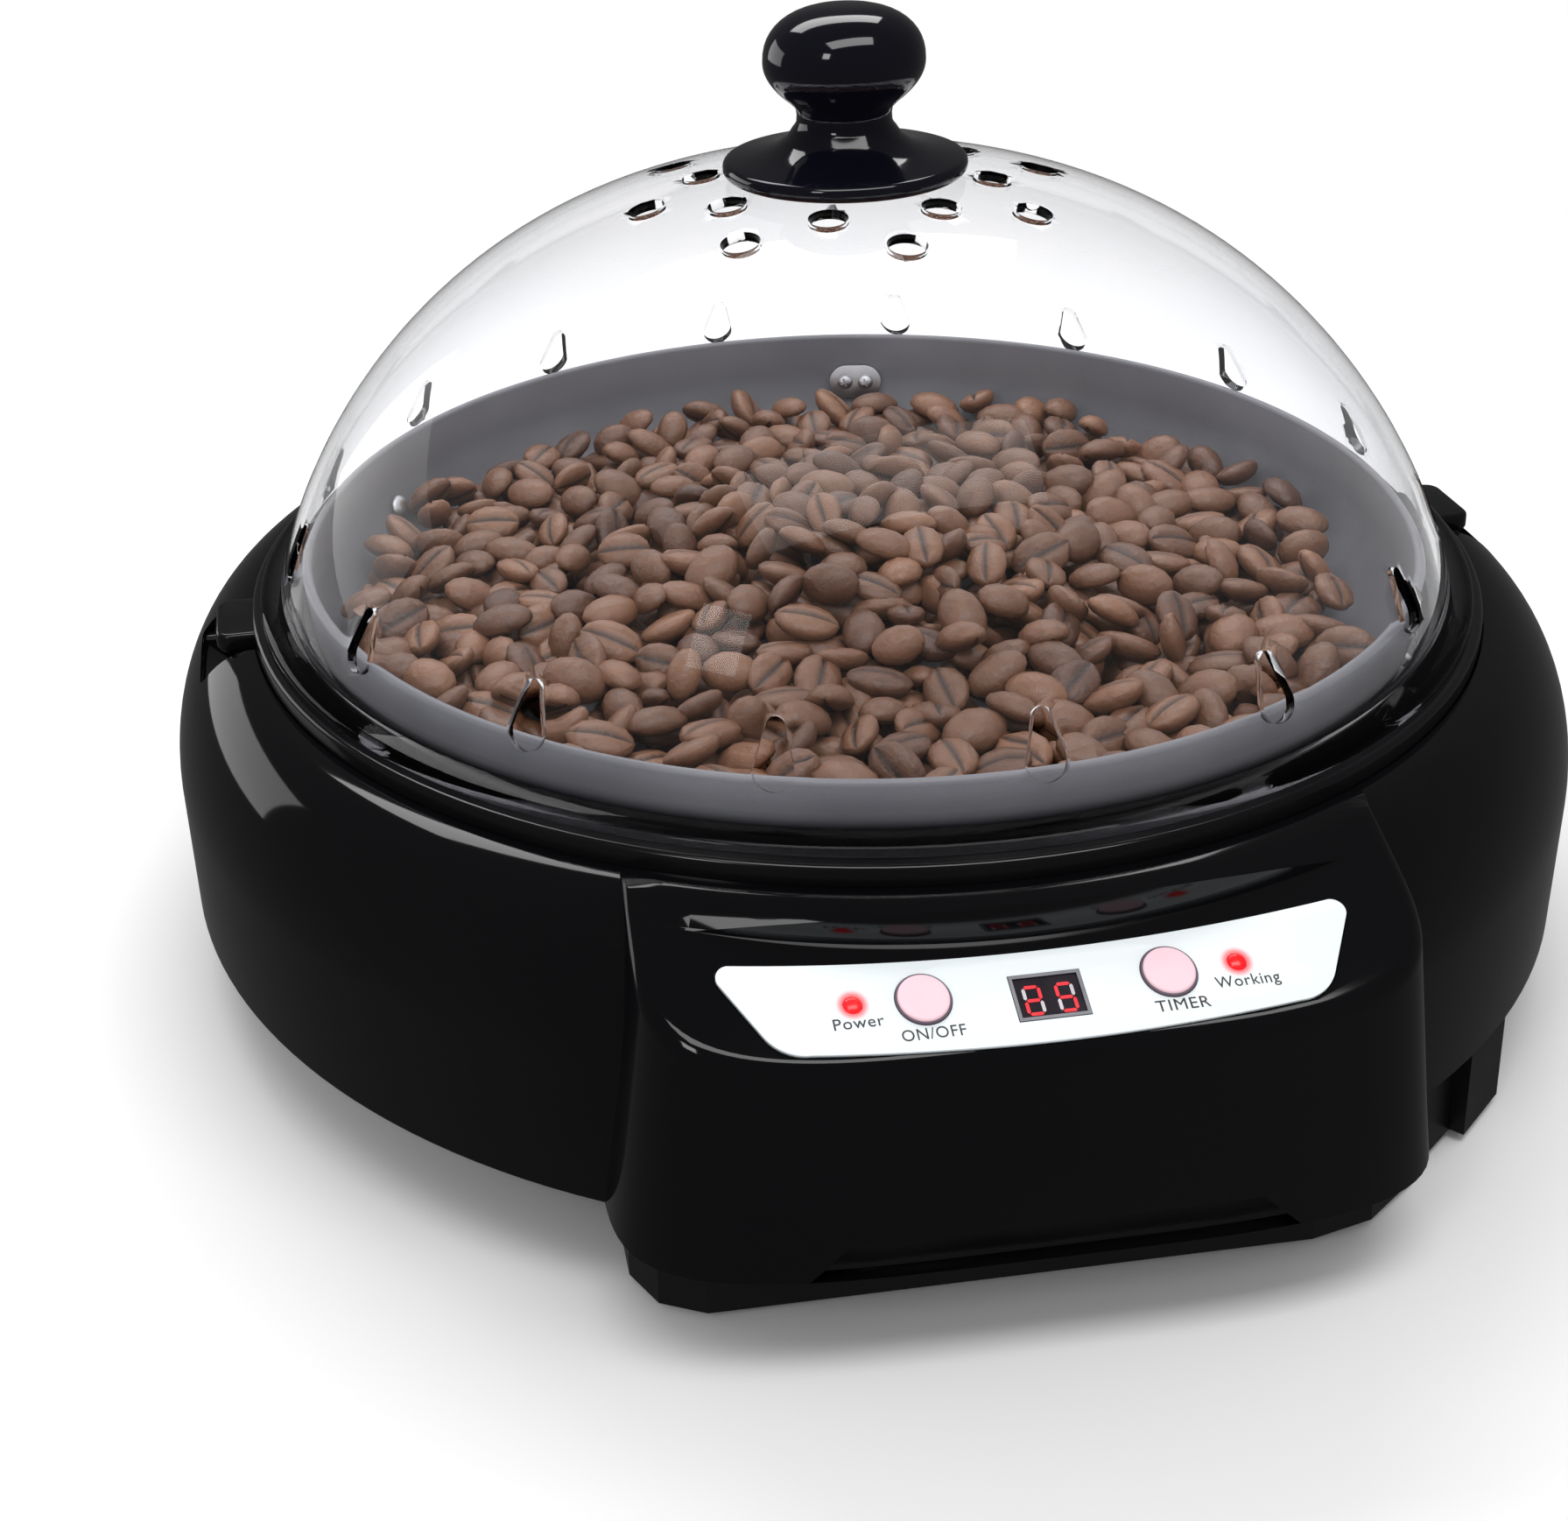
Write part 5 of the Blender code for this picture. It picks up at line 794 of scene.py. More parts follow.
@dataclass
class Housing:
    """Glossy drum with a rounded shoulder, the control box on its front and the pan's well."""

    radius: float = 145.2 * MM
    foot_radius: float = 144.4 * MM
    bottom: float = 21 * MM
    shoulder_bottom: float = 49 * MM
    lip_height: float = 78 * MM
    lip_radius: float = 127.5 * MM
    well_radius: float = 127.2 * MM
    ledge_top: float = 68 * MM
    ledge_thickness: float = 3 * MM
    ledge_radius: float = 116 * MM
    wall: float = 3 * MM
    steps: int = 180
    box_half_width: float = 72 * MM
    box_top_half_width: float = 65 * MM
    box_start: float = 118 * MM
    box_bow: float = 34 * MM
    box_top_bow: float = 31.5 * MM
    box_pivot: float = 145.2 * MM
    box_rear: float = 100 * MM
    box_power: float = 4.0
    box_wall: float = 2.8 * MM
    box_round: float = 2.6 * MM
    panel_slope: float = math.radians(25)
    panel_reach: float = 143 * MM
    panel_height: float = 65.5 * MM
    panel_thickness: float = 2.6 * MM
    label_recess: float = 0.7 * MM
    label_gap: float = 0.3 * MM
    notch_reach: float = 132.5 * MM
    notch_radius: float = 210 * MM
    notch_half_width: float = 90 * MM
    notch_clearance: float = 0.03 * MM
    rounding_start: float = 106 * MM
    recess_half_width: float = 12.5 * MM
    recess_reach: float = 138.5 * MM
    recess_floor: float = 70 * MM
    recess_wall: float = 3 * MM
    recess_round: float = 1.5 * MM
    cutout_half_width: float = 38 * MM
    cutout_height: float = 7 * MM
    cutout_reach: float = 146 * MM
    gland_radius: float = 5.7 * MM
    gland_height: float = 39.5 * MM
    tool_reach: float = 12 * MM
    tool_headroom: float = 30 * MM
    well_headroom: float = 9 * MM
    overrun: float = 2 * MM

    def panel(self) -> Matrix:
        """Frame of the sloping panel: X right, Y up the slope, Z out of it."""
        place = Matrix.Translation((0, -self.panel_reach, self.panel_height))
        return place @ Matrix.Rotation(self.panel_slope, 4, "X")

    def drum(self) -> bpy.types.Object:
        """Turn the drum as a solid up to its lip.

        Returns:
            The drum.
        """
        across = self.radius - self.lip_radius
        rise = self.lip_height - self.shoulder_bottom
        shoulder = arc((self.lip_radius, self.shoulder_bottom), (across, rise), math.pi / 2, 0, 22)
        profile = [(0, self.lip_height), *shoulder, (self.foot_radius, self.bottom), (0, self.bottom)]
        return turned("housing", profile, self.steps)

    def box_outline(self, inset: float) -> list:
        """Plan of the box at its foot: straight sides and one bowed front with full corners.

        Args:
            inset: how far the outline lies inside the outer wall.

        Returns:
            The outline's points.
        """
        half_width = self.box_half_width - inset
        bow = self.box_bow - inset
        count = 400
        front = []
        for index in range(count + 1):
            angle = math.pi * index / count
            across = math.copysign(abs(math.cos(angle)) ** (2 / self.box_power), -math.cos(angle))
            along = abs(math.sin(angle)) ** (2 / self.box_power)
            front.append((half_width * across, -self.box_start - bow * along))
        return [(-half_width, -self.box_rear), *even(front, 2.4 * MM), (half_width, -self.box_rear)]

    def box(self, inset: float, bottom: float, top: float) -> bpy.types.Object:
        """Raise the box from its plan, drawn in toward its top.

        Args:
            inset: how far it lies inside the outer wall.
            bottom: lower height.
            top: upper height.

        Returns:
            The box as a solid.
        """
        box = plate("box", [self.box_outline(inset)], self.bottom, self.lip_height)
        open_mesh(box)
        select_where(box, "VERT", lambda co: co.z > self.shoulder_bottom)
        bpy.ops.transform.resize(
            value=(self.box_top_half_width / self.box_half_width, self.box_top_bow / self.box_bow, 1),
            center_override=(0, -self.box_pivot, 0),
        )
        for height, side in ((top, 1), (bottom, -1)):
            bpy.ops.mesh.select_all(action="SELECT")
            bpy.ops.mesh.bisect(
                plane_co=(0, 0, height), plane_no=(0, 0, side), use_fill=True, clear_outer=True
            )
        close_mesh(merge=MM / 100)
        return box

    def panel_slab(self, drop: float) -> bpy.types.Object:
        """Tool that fills the space above the panel's plane, lowered by a drop."""
        size = (self.notch_half_width * 3, self.notch_half_width * 2, 2 * self.tool_headroom)
        return settle(block("slab", size, (0, 0, self.tool_headroom - drop)), self.panel())

    def above_panel(self, drop: float, reach: float) -> bpy.types.Object:
        """Tool for the space above the panel, in front of a bowed line.

        Args:
            drop: how far below the panel it starts.
            reach: the bowed line's greatest distance from the axis.

        Returns:
            The tool.
        """
        half_angle = math.asin(self.notch_half_width / self.notch_radius)
        middle = -math.pi / 2
        radii = (self.notch_radius, self.notch_radius)
        rear = arc((0, self.notch_radius - reach), radii, middle - half_angle, middle + half_angle, 81)
        front = -self.radius - self.notch_half_width / 2
        outline = [*rear, (self.notch_half_width, front), (-self.notch_half_width, front)]
        tool = plate("above_panel", [outline], self.bottom, self.lip_height + self.tool_headroom)
        carve(tool, self.panel_slab(drop), Cut.KEEP)
        return tool

    def void(self) -> bpy.types.Object:
        """Build the tool for the space inside the walls, under the ledge and through its round hole.

        Returns:
            The tool.
        """
        across = self.radius - self.lip_radius
        radii = (across - self.wall, self.lip_height - self.shoulder_bottom - self.wall)
        start = math.pi / 2 - math.asin(self.wall / radii[0])
        inner = arc((self.lip_radius, self.shoulder_bottom), radii, start, 0, 12)
        top = self.ledge_top + self.overrun
        under = self.ledge_top - self.ledge_thickness
        low = self.bottom - self.overrun
        profile = [(0, top), (self.ledge_radius, top), (self.ledge_radius, under), (inner[0][0], under)]
        profile += [*inner, (self.foot_radius - self.wall, low), (0, low)]
        void = turned("void", profile, self.steps)
        carve(void, self.box(self.box_wall, low, under), Cut.JOIN)
        carve(void, self.above_panel(self.panel_thickness, self.notch_reach - self.panel_thickness))
        foot = self.recess_floor - self.recess_wall
        size = (across, 2 * (self.recess_half_width + self.recess_wall), self.lip_height - foot)
        for side in (-1, 1):
            middle = (side * (self.radius + self.lip_radius) / 2, 0, (self.lip_height + foot) / 2)
            carve(void, block("ear_block", size, middle))
        return void

    def rounded_box(self) -> bpy.types.Object:
        """Cut the box to the panel's slope and round the edge that this leaves.

        Returns:
            The box as a solid.
        """
        box = self.box(0.0, self.bottom, self.lip_height + self.overrun)
        carve(box, self.panel_slab(0))
        normal = self.panel().to_3x3() @ Vector((0, 0, 1))
        origin = self.panel().translation
        open_mesh(box)
        select_where(
            box,
            "EDGE",
            lambda a, b, turn: abs((a - origin).dot(normal)) < MM / 20
            and abs((b - origin).dot(normal)) < MM / 20
            and turn > math.radians(20)
            and min(a.y, b.y) < -self.rounding_start,
        )
        bpy.ops.mesh.bevel(offset=self.box_round, segments=6, profile=0.5, clamp_overlap=False)
        close_mesh(merge=MM / 200)
        return box

    def ear_recess(self, side: int) -> bpy.types.Object:
        """Build the tool for the finger recess at one ear.

        Args:
            side: -1 for the left ear, 1 for the right.

        Returns:
            The tool.
        """
        inner = self.lip_radius - self.overrun
        height = self.lip_height + 2 * self.overrun - self.recess_floor
        size = (self.recess_reach - inner, 2 * self.recess_half_width, height)
        middle = (side * (self.recess_reach + inner) / 2, 0, self.recess_floor + height / 2)
        tool = block("recess", size, middle)
        round_edges(tool, self.recess_round, 4)
        return tool

    def openings(self) -> list:
        """Build the tools for the cut-out at the front foot and the cord's hole in the rear.

        Returns:
            The two tools.
        """
        slant, width, height = self.cutout_height / 2, self.cutout_half_width, self.cutout_height
        outline = [(-width - slant, 0), (width + slant, 0), (width - slant, height), (slant - width, height)]
        cutout = plate("cutout", [outline], 0, self.tool_reach)
        upright = Matrix.Rotation(math.pi / 2, 4, "X")
        settle(cutout, Matrix.Translation((0, -self.cutout_reach, self.bottom)) @ upright)
        gland = rod("gland_hole", self.gland_radius, -self.tool_reach, self.tool_reach)
        settle(gland, Matrix.Translation((0, self.foot_radius, self.gland_height)) @ upright)
        return [cutout, gland]

    def build(self, label: list) -> None:
        """Model the whole moulding and dress it.

        Args:
            label: the label's outline in the panel's frame, for its recess.
        """
        housing = self.drum()
        carve(housing, self.rounded_box(), Cut.JOIN)
        carve(housing, self.above_panel(self.notch_clearance, self.notch_reach))
        well_top = self.lip_height + self.well_headroom
        carve(housing, rod("well", self.well_radius, self.ledge_top, well_top, self.steps))
        carve(housing, self.void())
        recess = plate("label_recess", [grown(label, self.label_gap)], -self.label_recess, self.overrun)
        settle(recess, self.panel())
        for tool in (self.ear_recess(-1), self.ear_recess(1), recess, *self.openings()):
            carve(housing, tool)
        smooth(housing, 28)
        finished(housing, GLOSS_BLACK, Body.BASE, ["housing"])


class Glyph(Enum):
    """Segments of a lit digit: top, upper left, upper right, middle, lower left, lower right, foot."""

    TWO = (1, 0, 1, 1, 1, 0, 1)
    FIVE = (1, 1, 0, 1, 0, 1, 1)


@dataclass
class ControlPanel:
    """White label with its printing, two buttons, two lamps and a two-digit display."""

    housing: Housing
    half_width: float = 52.8 * MM
    top: float = 12.2 * MM
    sag: float = 3.5 * MM
    corner: float = 2.2 * MM
    side_angle: float = math.radians(27)
    foot_half_width: float = 40 * MM
    foot_radius: float = 8 * MM
    foot_drop: float = 5.4 * MM
    belly: float = 2.2 * MM
    bottom_face: float = -0.4 * MM
    top_face: float = 0.4 * MM
    button_spacing: float = 40.6 * MM
    button_rise: float = 2.2 * MM
    button_radius: float = 4.6 * MM
    button_top: float = 1.2 * MM
    collar_width: float = 0.36 * MM
    lamp_spacing: float = 63.6 * MM
    lamp_rise: float = 2.6 * MM
    lamp_radius: float = 1.5 * MM
    painted_glow_radius: float = 3.1 * MM
    display_width: float = 11.8 * MM
    display_depth: float = 8.2 * MM
    display_rise: float = 0.4 * MM
    gap: float = 0.12 * MM
    letter_height: float = 2.1 * MM
    words: tuple = (
        ("Power", -31.6 * MM, -0.7 * MM, 8.2 * MM),
        ("ON/OFF", -20.0 * MM, -4.0 * MM, 10.4 * MM),
        ("TIMER", 20.8 * MM, -3.9 * MM, 8.9 * MM),
        ("Working", 32.5 * MM, -0.9 * MM, 10.6 * MM),
    )
    digit_height: float = 5.4 * MM
    digit_width: float = 3.1 * MM
    digit_bar: float = 0.56 * MM
    digit_rise: float = 0.06 * MM
    digit_spacing: float = 5.4 * MM
    digit_drop: float = 0.5 * MM
    digit_sink: float = 0.24 * MM
    cap_share: float = 0.73
    ink_rise: float = 0.03 * MM
    crown_round: float = 0.4 * MM
    collar_drop: float = 0.45 * MM
    collar_round: float = 0.1 * MM
    shoulder_width: float = 1 * MM
    shoulder_thickness: float = 0.8 * MM
    stem_radius: float = 1.4 * MM
    stem_foot: float = -3.9 * MM
    lens_rise: float = 0.5 * MM
    lamp_foot: float = -4.6 * MM
    display_foot: float = -6 * MM
    display_border: float = 0.55 * MM
    display_sink: float = 0.25 * MM
    border_rise: float = 0.12 * MM

    def outline(self) -> list:
        """Draw the label: bowed long edges, rounded upper corners and slanted sides.

        Returns:
            The closed outline in the panel's frame.
        """
        count = 33
        shares = [2 * index / (count - 1) - 1 for index in range(count)]
        reach = self.half_width - self.corner
        points = [(share * reach, self.top - self.sag * (1 - share * share)) for share in shares]
        radii = (self.corner, self.corner)
        right = arc((reach, self.top - self.corner), radii, math.pi / 2.2, -self.side_angle, 9)
        foot = (self.foot_half_width, self.foot_radius - self.foot_drop)
        radii = (self.foot_radius, self.foot_radius)
        right += arc(foot, radii, -self.side_angle, -math.pi / 2, 12)
        points += right
        for share in reversed(shares[1:-1]):
            points.append((share * self.foot_half_width, -self.foot_drop - self.belly * (1 - share * share)))
        return points + [(-x, y) for x, y in reversed(right)]

    def circle(self, x: float, y: float, radius: float, count: int = 40) -> list:
        """Closed round outline."""
        return arc((x, y), (radius, radius), 0, TURN * (count - 1) / count, count)

    def rectangle(self, width: float, depth: float, y: float) -> list:
        """Closed outline of a rectangle on the panel's middle line."""
        half, low, high = width / 2, y - depth / 2, y + depth / 2
        return [(-half, low), (half, low), (half, high), (-half, high)]

    def label(self) -> None:
        """Cut the label with its openings and dress it."""
        holes = []
        for side in (-1, 1):
            across = side * self.button_spacing / 2
            holes.append(self.circle(across, self.button_rise, self.button_radius + self.gap))
            across = side * self.lamp_spacing / 2
            holes.append(self.circle(across, self.lamp_rise, self.lamp_radius + self.gap))
        wide = self.display_width + 2 * self.gap
        deep = self.display_depth + 2 * self.gap
        holes.append(self.rectangle(wide, deep, self.display_rise))
        label = plate("control_label", [self.outline(), *holes], self.bottom_face, self.top_face)
        round_edges(label, 0.12 * MM, 2, 50)
        settle(label, self.housing.panel())
        finished(smooth(label), LABEL_WHITE, Body.BASE, ["control_label"])

    def spot(self, x: float, y: float) -> Matrix:
        """Place on the panel, its Z axis out of it."""
        return self.housing.panel() @ Matrix.Translation((x, y, 0))

    def printing(self) -> None:
        """Set the words on the label, as thin ink."""
        for index, (word, x, y, width) in enumerate(self.words, start=1):
            deselect()
            bpy.ops.object.text_add(location=(0, 0, 0))
            text = started(f"printed_word_{index}")
            text.data.body = word
            text.data.size = self.letter_height / self.cap_share
            text.data.align_x = "CENTER"
            text.data.align_y = "CENTER"
            text.data.extrude = 0.02 * MM
            text.data.resolution_u = 4
            text.data.space_character = 1.08
            bpy.ops.object.convert(target="MESH")
            text.scale.x = width / text.dimensions.x
            settle(text)
            settle(text, Matrix.Translation((x, y, self.top_face + self.ink_rise)))
            settle(text, self.housing.panel())
            finished(text, INK, Body.BASE)

    def button(self, name: str, side: int, body: Body) -> None:
        """Turn a domed button with its stem, and the printed rim round it.

        Args:
            name: the CAD node it stands for.
            side: -1 for the left button, 1 for the right.
            body: the body it rides on.
        """
        place = self.spot(side * self.button_spacing / 2, self.button_rise)
        radius, top, soft = self.button_radius - self.collar_width, self.button_top, self.crown_round
        edge = arc((radius - soft, top - soft), (soft, soft), math.pi / 2, 0, 6)
        under = -self.housing.panel_thickness - self.gap
        wide, low = radius + self.shoulder_width, under - self.shoulder_thickness
        stem, foot = self.stem_radius, self.stem_foot
        profile = [(0, top), (radius * 0.6, top - 0.03 * MM), *edge, (radius, under), (wide, under)]
        profile += [(wide, low), (stem, low), (stem, foot), (0, foot)]
        button = settle(turned(name, profile, 64), place)
        finished(smooth(button), BUTTON_PINK, body, [name])
        outer, high, soft = self.button_radius, top - self.collar_drop, self.collar_round
        section = [(radius, high), (outer - soft, high), (outer, high - soft)]
        section += [(outer, under), (radius, under)]
        rim = settle(turned(f"{name}_collar", section, 64, True), place)
        finished(smooth(rim), BUTTON_RIM, body)

    def lamp(self, name: str, side: int) -> None:
        """Turn a lamp with a rounded lens, and the painted glow of its light on the label round it.

        Args:
            name: the CAD node it stands for.
            side: -1 for the left lamp, 1 for the right.
        """
        place = self.spot(side * self.lamp_spacing / 2, self.lamp_rise)
        radius, foot = self.lamp_radius, self.lamp_foot
        lens = arc((0, self.top_face), (radius, self.lens_rise), math.pi / 2, 0, 9)
        lamp = settle(turned(name, [*lens, (radius, foot), (0, foot)], 40), place)
        finished(smooth(lamp), LAMP_RED, Body.BASE, [name])
        inner, outer, low = radius + self.gap, self.painted_glow_radius, self.top_face + 0.01 * MM
        high = low + 0.02 * MM
        # Flat ring on the label that carries the painted glow of the lamp's light.
        painted_glow = turned(f"{name}_halo", [(inner, low), (inner, high), (outer, high), (outer, low)], 40, True)
        shade = painted_glow.data.attributes.new("shade", "FLOAT", "POINT")
        for point, value in zip(painted_glow.data.vertices, shade.data):
            value.value = 0.0 if math.hypot(point.co.x, point.co.y) < inner + 0.1 * MM else 1.0
        finished(settle(painted_glow, place), PAINTED_GLOW, Body.BASE)

    def display(self) -> None:
        """Build the display's framed window and its two seven-segment digits."""
        panel = self.housing.panel()
        wide, deep, rise = self.display_width, self.display_depth, self.display_rise
        outline, border = self.rectangle(wide, deep, rise), 2 * self.display_border
        body = plate("display_module", [outline], self.display_foot, self.top_face)
        open_mesh(body)
        select_where(body, "FACE", lambda middle, normal: normal.z > 0.9)
        bpy.ops.mesh.inset(thickness=self.display_border)
        bpy.ops.transform.translate(value=(0, 0, -self.display_sink))
        close_mesh()
        finished(settle(body, panel), DISPLAY_FACE, Body.BASE, ["display_module"])
        ring = [outline, self.rectangle(wide - border, deep - border, rise)]
        edge = plate("display_frame", ring, self.top_face, self.top_face + self.border_rise)
        finished(settle(edge, panel), DISPLAY_FRAME, Body.BASE)
        half = self.digit_spacing / 2
        self.digit(1, Glyph.TWO, -half)
        self.digit(2, Glyph.FIVE, half)

    def digit(self, number: int, glyph: Glyph, x: float) -> None:
        """Set one digit's seven bars behind the window's face.

        Args:
            number: which digit.
            glyph: which of its bars are lit.
            x: its place across the panel.
        """
        room, half = self.digit_width - self.digit_bar, (self.digit_height - self.digit_bar) / 2
        left, right = x - room / 2, x + room / 2
        bars = [(x, half, room), (left, half / 2, 0), (right, half / 2, 0), (x, 0.0, room)]
        bars += [(left, -half / 2, 0), (right, -half / 2, 0), (x, -half, room)]
        for lit, finish, label in ((1, DIGIT_LIT, "lit"), (0, DIGIT_OFF, "dark")):
            wanted = [bar for state, bar in zip(glyph.value, bars) if state == lit]
            pieces = [self.bar(across, up, flat or half, bool(flat)) for across, up, flat in wanted]
            digit = settle(joined(pieces, f"digit_{number}_{label}"), self.housing.panel())
            finished(digit, finish, Body.BASE)

    def bar(self, x: float, y: float, room: float, flat: bool) -> bpy.types.Object:
        """Cut one bar of a digit, pointed at both ends.

        Args:
            x: its place across the panel.
            y: its place up from the digit's middle.
            room: the length it may take.
            flat: whether it lies across the digit or stands in it.

        Returns:
            The bar, in the panel's frame.
        """
        tip = self.digit_bar / 2
        end = (room - tip) / 2
        outline = [(-end, 0), (tip - end, -tip), (end - tip, -tip)]
        outline += [(end, 0), (end - tip, tip), (tip - end, tip)]
        level = self.top_face - self.digit_sink
        piece = plate("bar", [outline], level, level + self.digit_rise)
        place = Matrix.Translation((x, y + self.display_rise - self.digit_drop, 0))
        return settle(piece, place @ Matrix.Rotation(0 if flat else math.pi / 2, 4, "Z"))

    def build(self) -> None:
        """Build every piece of the panel."""
        self.label()
        self.printing()
        self.button("button_power", -1, Body.POWER_KEY)
        self.button("button_timer", 1, Body.TIMER_KEY)
        self.lamp("lamp_power", -1)
        self.lamp("lamp_working", 1)
        self.display()


@dataclass
class Lid:
    """Clear dome with round vents and drop-shaped slots, and its turned knob."""

    flange_height: float = 82 * MM
    flange_radius: float = 125 * MM
    flange_thickness: float = 2.2 * MM
    radius: float = 122.4 * MM
    crown: float = 165.6 * MM
    start: float = 73 * MM
    wall: float = 2 * MM
    side_power: float = 2 / 2.4
    crown_power: float = 2 / 1.59
    steps: int = 144
    vent_radius: float = 3.85 * MM
    vent_reaches: tuple = (29.2 * MM, 40.8 * MM)
    phase: float = math.radians(-19)
    slot_count: int = 16
    slot_height: float = 96.5 * MM
    slot_length: float = 13 * MM
    slot_width: float = 7.4 * MM
    slot_tip: float = 3.4 * MM
    rim_profile: tuple = ((-1.6 * MM, 0.1 * MM), (-0.5 * MM, -0.3 * MM), (0, -1.1 * MM))
    rim_round: float = 0.4 * MM
    section_points: int = 46
    vent_count: int = 8
    tool_reach: float = 8 * MM
    hole_round: float = 0.35 * MM
    knob_top: float = 198.2 * MM
    knob_flange_radius: float = 24.4 * MM
    knob_sink: float = 0.2 * MM
    neck_radius: float = 9.6 * MM
    edge_middle: tuple = (23.2 * MM, 2.1 * MM)
    edge_radii: tuple = (1.2 * MM, 1.6 * MM)
    flare_profile: tuple = (
        (21.4 * MM, 4.1 * MM),
        (17 * MM, 5.0 * MM),
        (13.4 * MM, 6.4 * MM),
        (11.2 * MM, 8.2 * MM),
        (10.3 * MM, 9.6 * MM),
    )
    waist_profile: tuple = (
        (10.1 * MM, -1.4 * MM),
        (9.5 * MM, -0.4 * MM),
        (9.4 * MM, 1.2 * MM),
        (9.6 * MM, 2.6 * MM),
    )
    waist_height: float = 175.5 * MM
    head_radius: float = 9.8 * MM
    head_rise: float = 3.4 * MM
    ball_radius: float = 16 * MM
    ball_height: float = 187.4 * MM

    def wall_point(self, angle: float, inset: float = 0.0) -> tuple[float, float]:
        """Find a point of the dome's section.

        Args:
            angle: the angle from its crown.
            inset: how far inside the outer face.

        Returns:
            The radius and the height.
        """
        reach = (self.radius - inset) * math.sin(angle) ** self.side_power
        rise = (self.crown - self.start - inset) * max(0.0, math.cos(angle)) ** self.crown_power
        return reach, self.start + rise

    def section(self, inset: float = 0.0) -> list:
        """Many points of the dome's section, from its crown down."""
        return [self.wall_point(math.pi / 2 * index / 600, inset) for index in range(601)]

    def curve(self, inset: float, low: float) -> list:
        """Set even points along the dome's section, from its crown to a height.

        Args:
            inset: how far inside the outer face.
            low: the height.

        Returns:
            The points.
        """
        kept = [point for point in self.section(inset) if point[1] >= low]
        points = even(kept, (self.crown - self.start) * 1.6 / self.section_points)
        return [(0.0, points[0][1])] + points[1:]

    def slope_place(self, reach: float) -> tuple[float, float]:
        """Find the dome's height and slope at a distance from the axis.

        Args:
            reach: the distance.

        Returns:
            The height and the slope, as an angle.
        """
        fine = self.section()
        for before, after in zip(fine, fine[1:]):
            if before[0] <= reach <= after[0]:
                return before[1], math.atan2(before[1] - after[1], after[0] - before[0])
        return self.crown, 0.0

    def dome(self) -> None:
        """Turn the dome's shell with its flange and cut the vents and slots."""
        base, edge = self.flange_height, self.flange_radius
        top = base + self.flange_thickness
        outer = self.curve(0.0, top + 0.8 * MM)
        inner = self.curve(self.wall, base + 0.5 * MM)
        rim = [(edge + reach, top + rise) for reach, rise in self.rim_profile]
        rim += [(edge, base + self.rim_round), (edge - self.rim_round, base)]
        dome = turned("dome", [*outer, *rim, (inner[-1][0], base), *reversed(inner)], self.steps)
        tools = []
        for ring, reach in enumerate(self.vent_reaches):
            vent = rod("vent", self.vent_radius, -self.tool_reach, self.tool_reach, 28)
            tools += self.round_copies(vent, self.vent_count, ring / 2, reach, self.slope_place(reach)[0])
        tools += self.slots()
        carve(dome, joined(tools, "holes"))
        open_mesh(dome)
        low, sharp = base + 4 * MM, math.radians(55)
        select_where(dome, "EDGE", lambda a, b, turn: turn > sharp and min(a.z, b.z) > low)
        bpy.ops.mesh.bevel(offset=self.hole_round, segments=2, profile=0.5, clamp_overlap=True)
        close_mesh()
        finished(smooth(dome, 40), CLEAR_DOME, Body.LID, ["dome"])

    def round_copies(
        self, tool: bpy.types.Object, count: int, start: float, reach: float, height: float
    ) -> list:
        """Copy a tool round the axis, square to the dome's wall, and remove the first.

        Args:
            tool: the tool.
            count: how many copies.
            start: how many steps the first copy stands on from the front.
            reach: their distance from the axis.
            height: their height.

        Returns:
            The copies.
        """
        lean = Matrix.Rotation(self.slope_place(reach)[1], 4, "X")
        copies = []
        for index in range(count):
            angle = self.phase + TURN * (index + start) / count
            place = Matrix.Rotation(angle, 4, "Z") @ Matrix.Translation((0, -reach, height))
            copies.append(copied(tool, "hole", place @ lean))
        bpy.data.objects.remove(tool, do_unlink=True)
        return copies

    def slots(self) -> list:
        """Build the tools for the ring of slots, each narrower toward its upper end.

        Returns:
            The tools.
        """
        long, wide, tip = self.slot_length / 2, self.slot_width / 2, self.slot_tip / 2
        low = arc((0, wide - long), (wide, wide), math.pi, TURN, 15)
        high = arc((0, long - tip), (tip, tip), 0, math.pi, 11)
        reach = min(self.section(), key=lambda point: abs(point[1] - self.slot_height))[0]
        slot = plate("slot", [[*low, *high]], -self.tool_reach, self.tool_reach)
        return self.round_copies(slot, self.slot_count, 0, reach, self.slot_height)

    def knob(self) -> None:
        """Turn the knob: flared foot, waist and rounded head with a flat top."""
        under = self.slope_place(self.knob_flange_radius - MM)[0] - self.knob_sink
        waist, crown, start = self.waist_height, self.crown + 0.3 * MM, self.head_radius
        edge = arc(self.edge_middle, self.edge_radii, -math.pi / 2, math.pi / 2, 10)
        profile = [(0, crown + MM), (self.neck_radius, crown + 0.4 * MM)]
        profile += [(reach, under + rise) for reach, rise in (*edge, *self.flare_profile)]
        profile += [(reach, waist + rise) for reach, rise in self.waist_profile]
        fall = self.ball_height - waist - self.head_rise - self.knob_sink
        for share in (index / 12 for index in range(1, 12)):
            grow = math.sin(math.pi / 2 * share) ** 0.8
            reach = start + (self.ball_radius - start) * grow
            profile.append((reach, waist + self.head_rise + fall * share))
        rise = self.knob_top - self.ball_height
        for index in range(14):
            angle = math.pi / 2 * (1 - index / 13)
            reach = self.ball_radius * math.sin(angle) ** 0.8 if index < 13 else 0.0
            profile.append((reach, self.ball_height + rise * math.cos(angle) ** 0.9))
        finished(smooth(turned("knob", profile, 96), 45), KNOB_BLACK, Body.LID, ["knob"])

    def build(self) -> None:
        """Build the lid's pieces."""
        self.dome()
        self.knob()


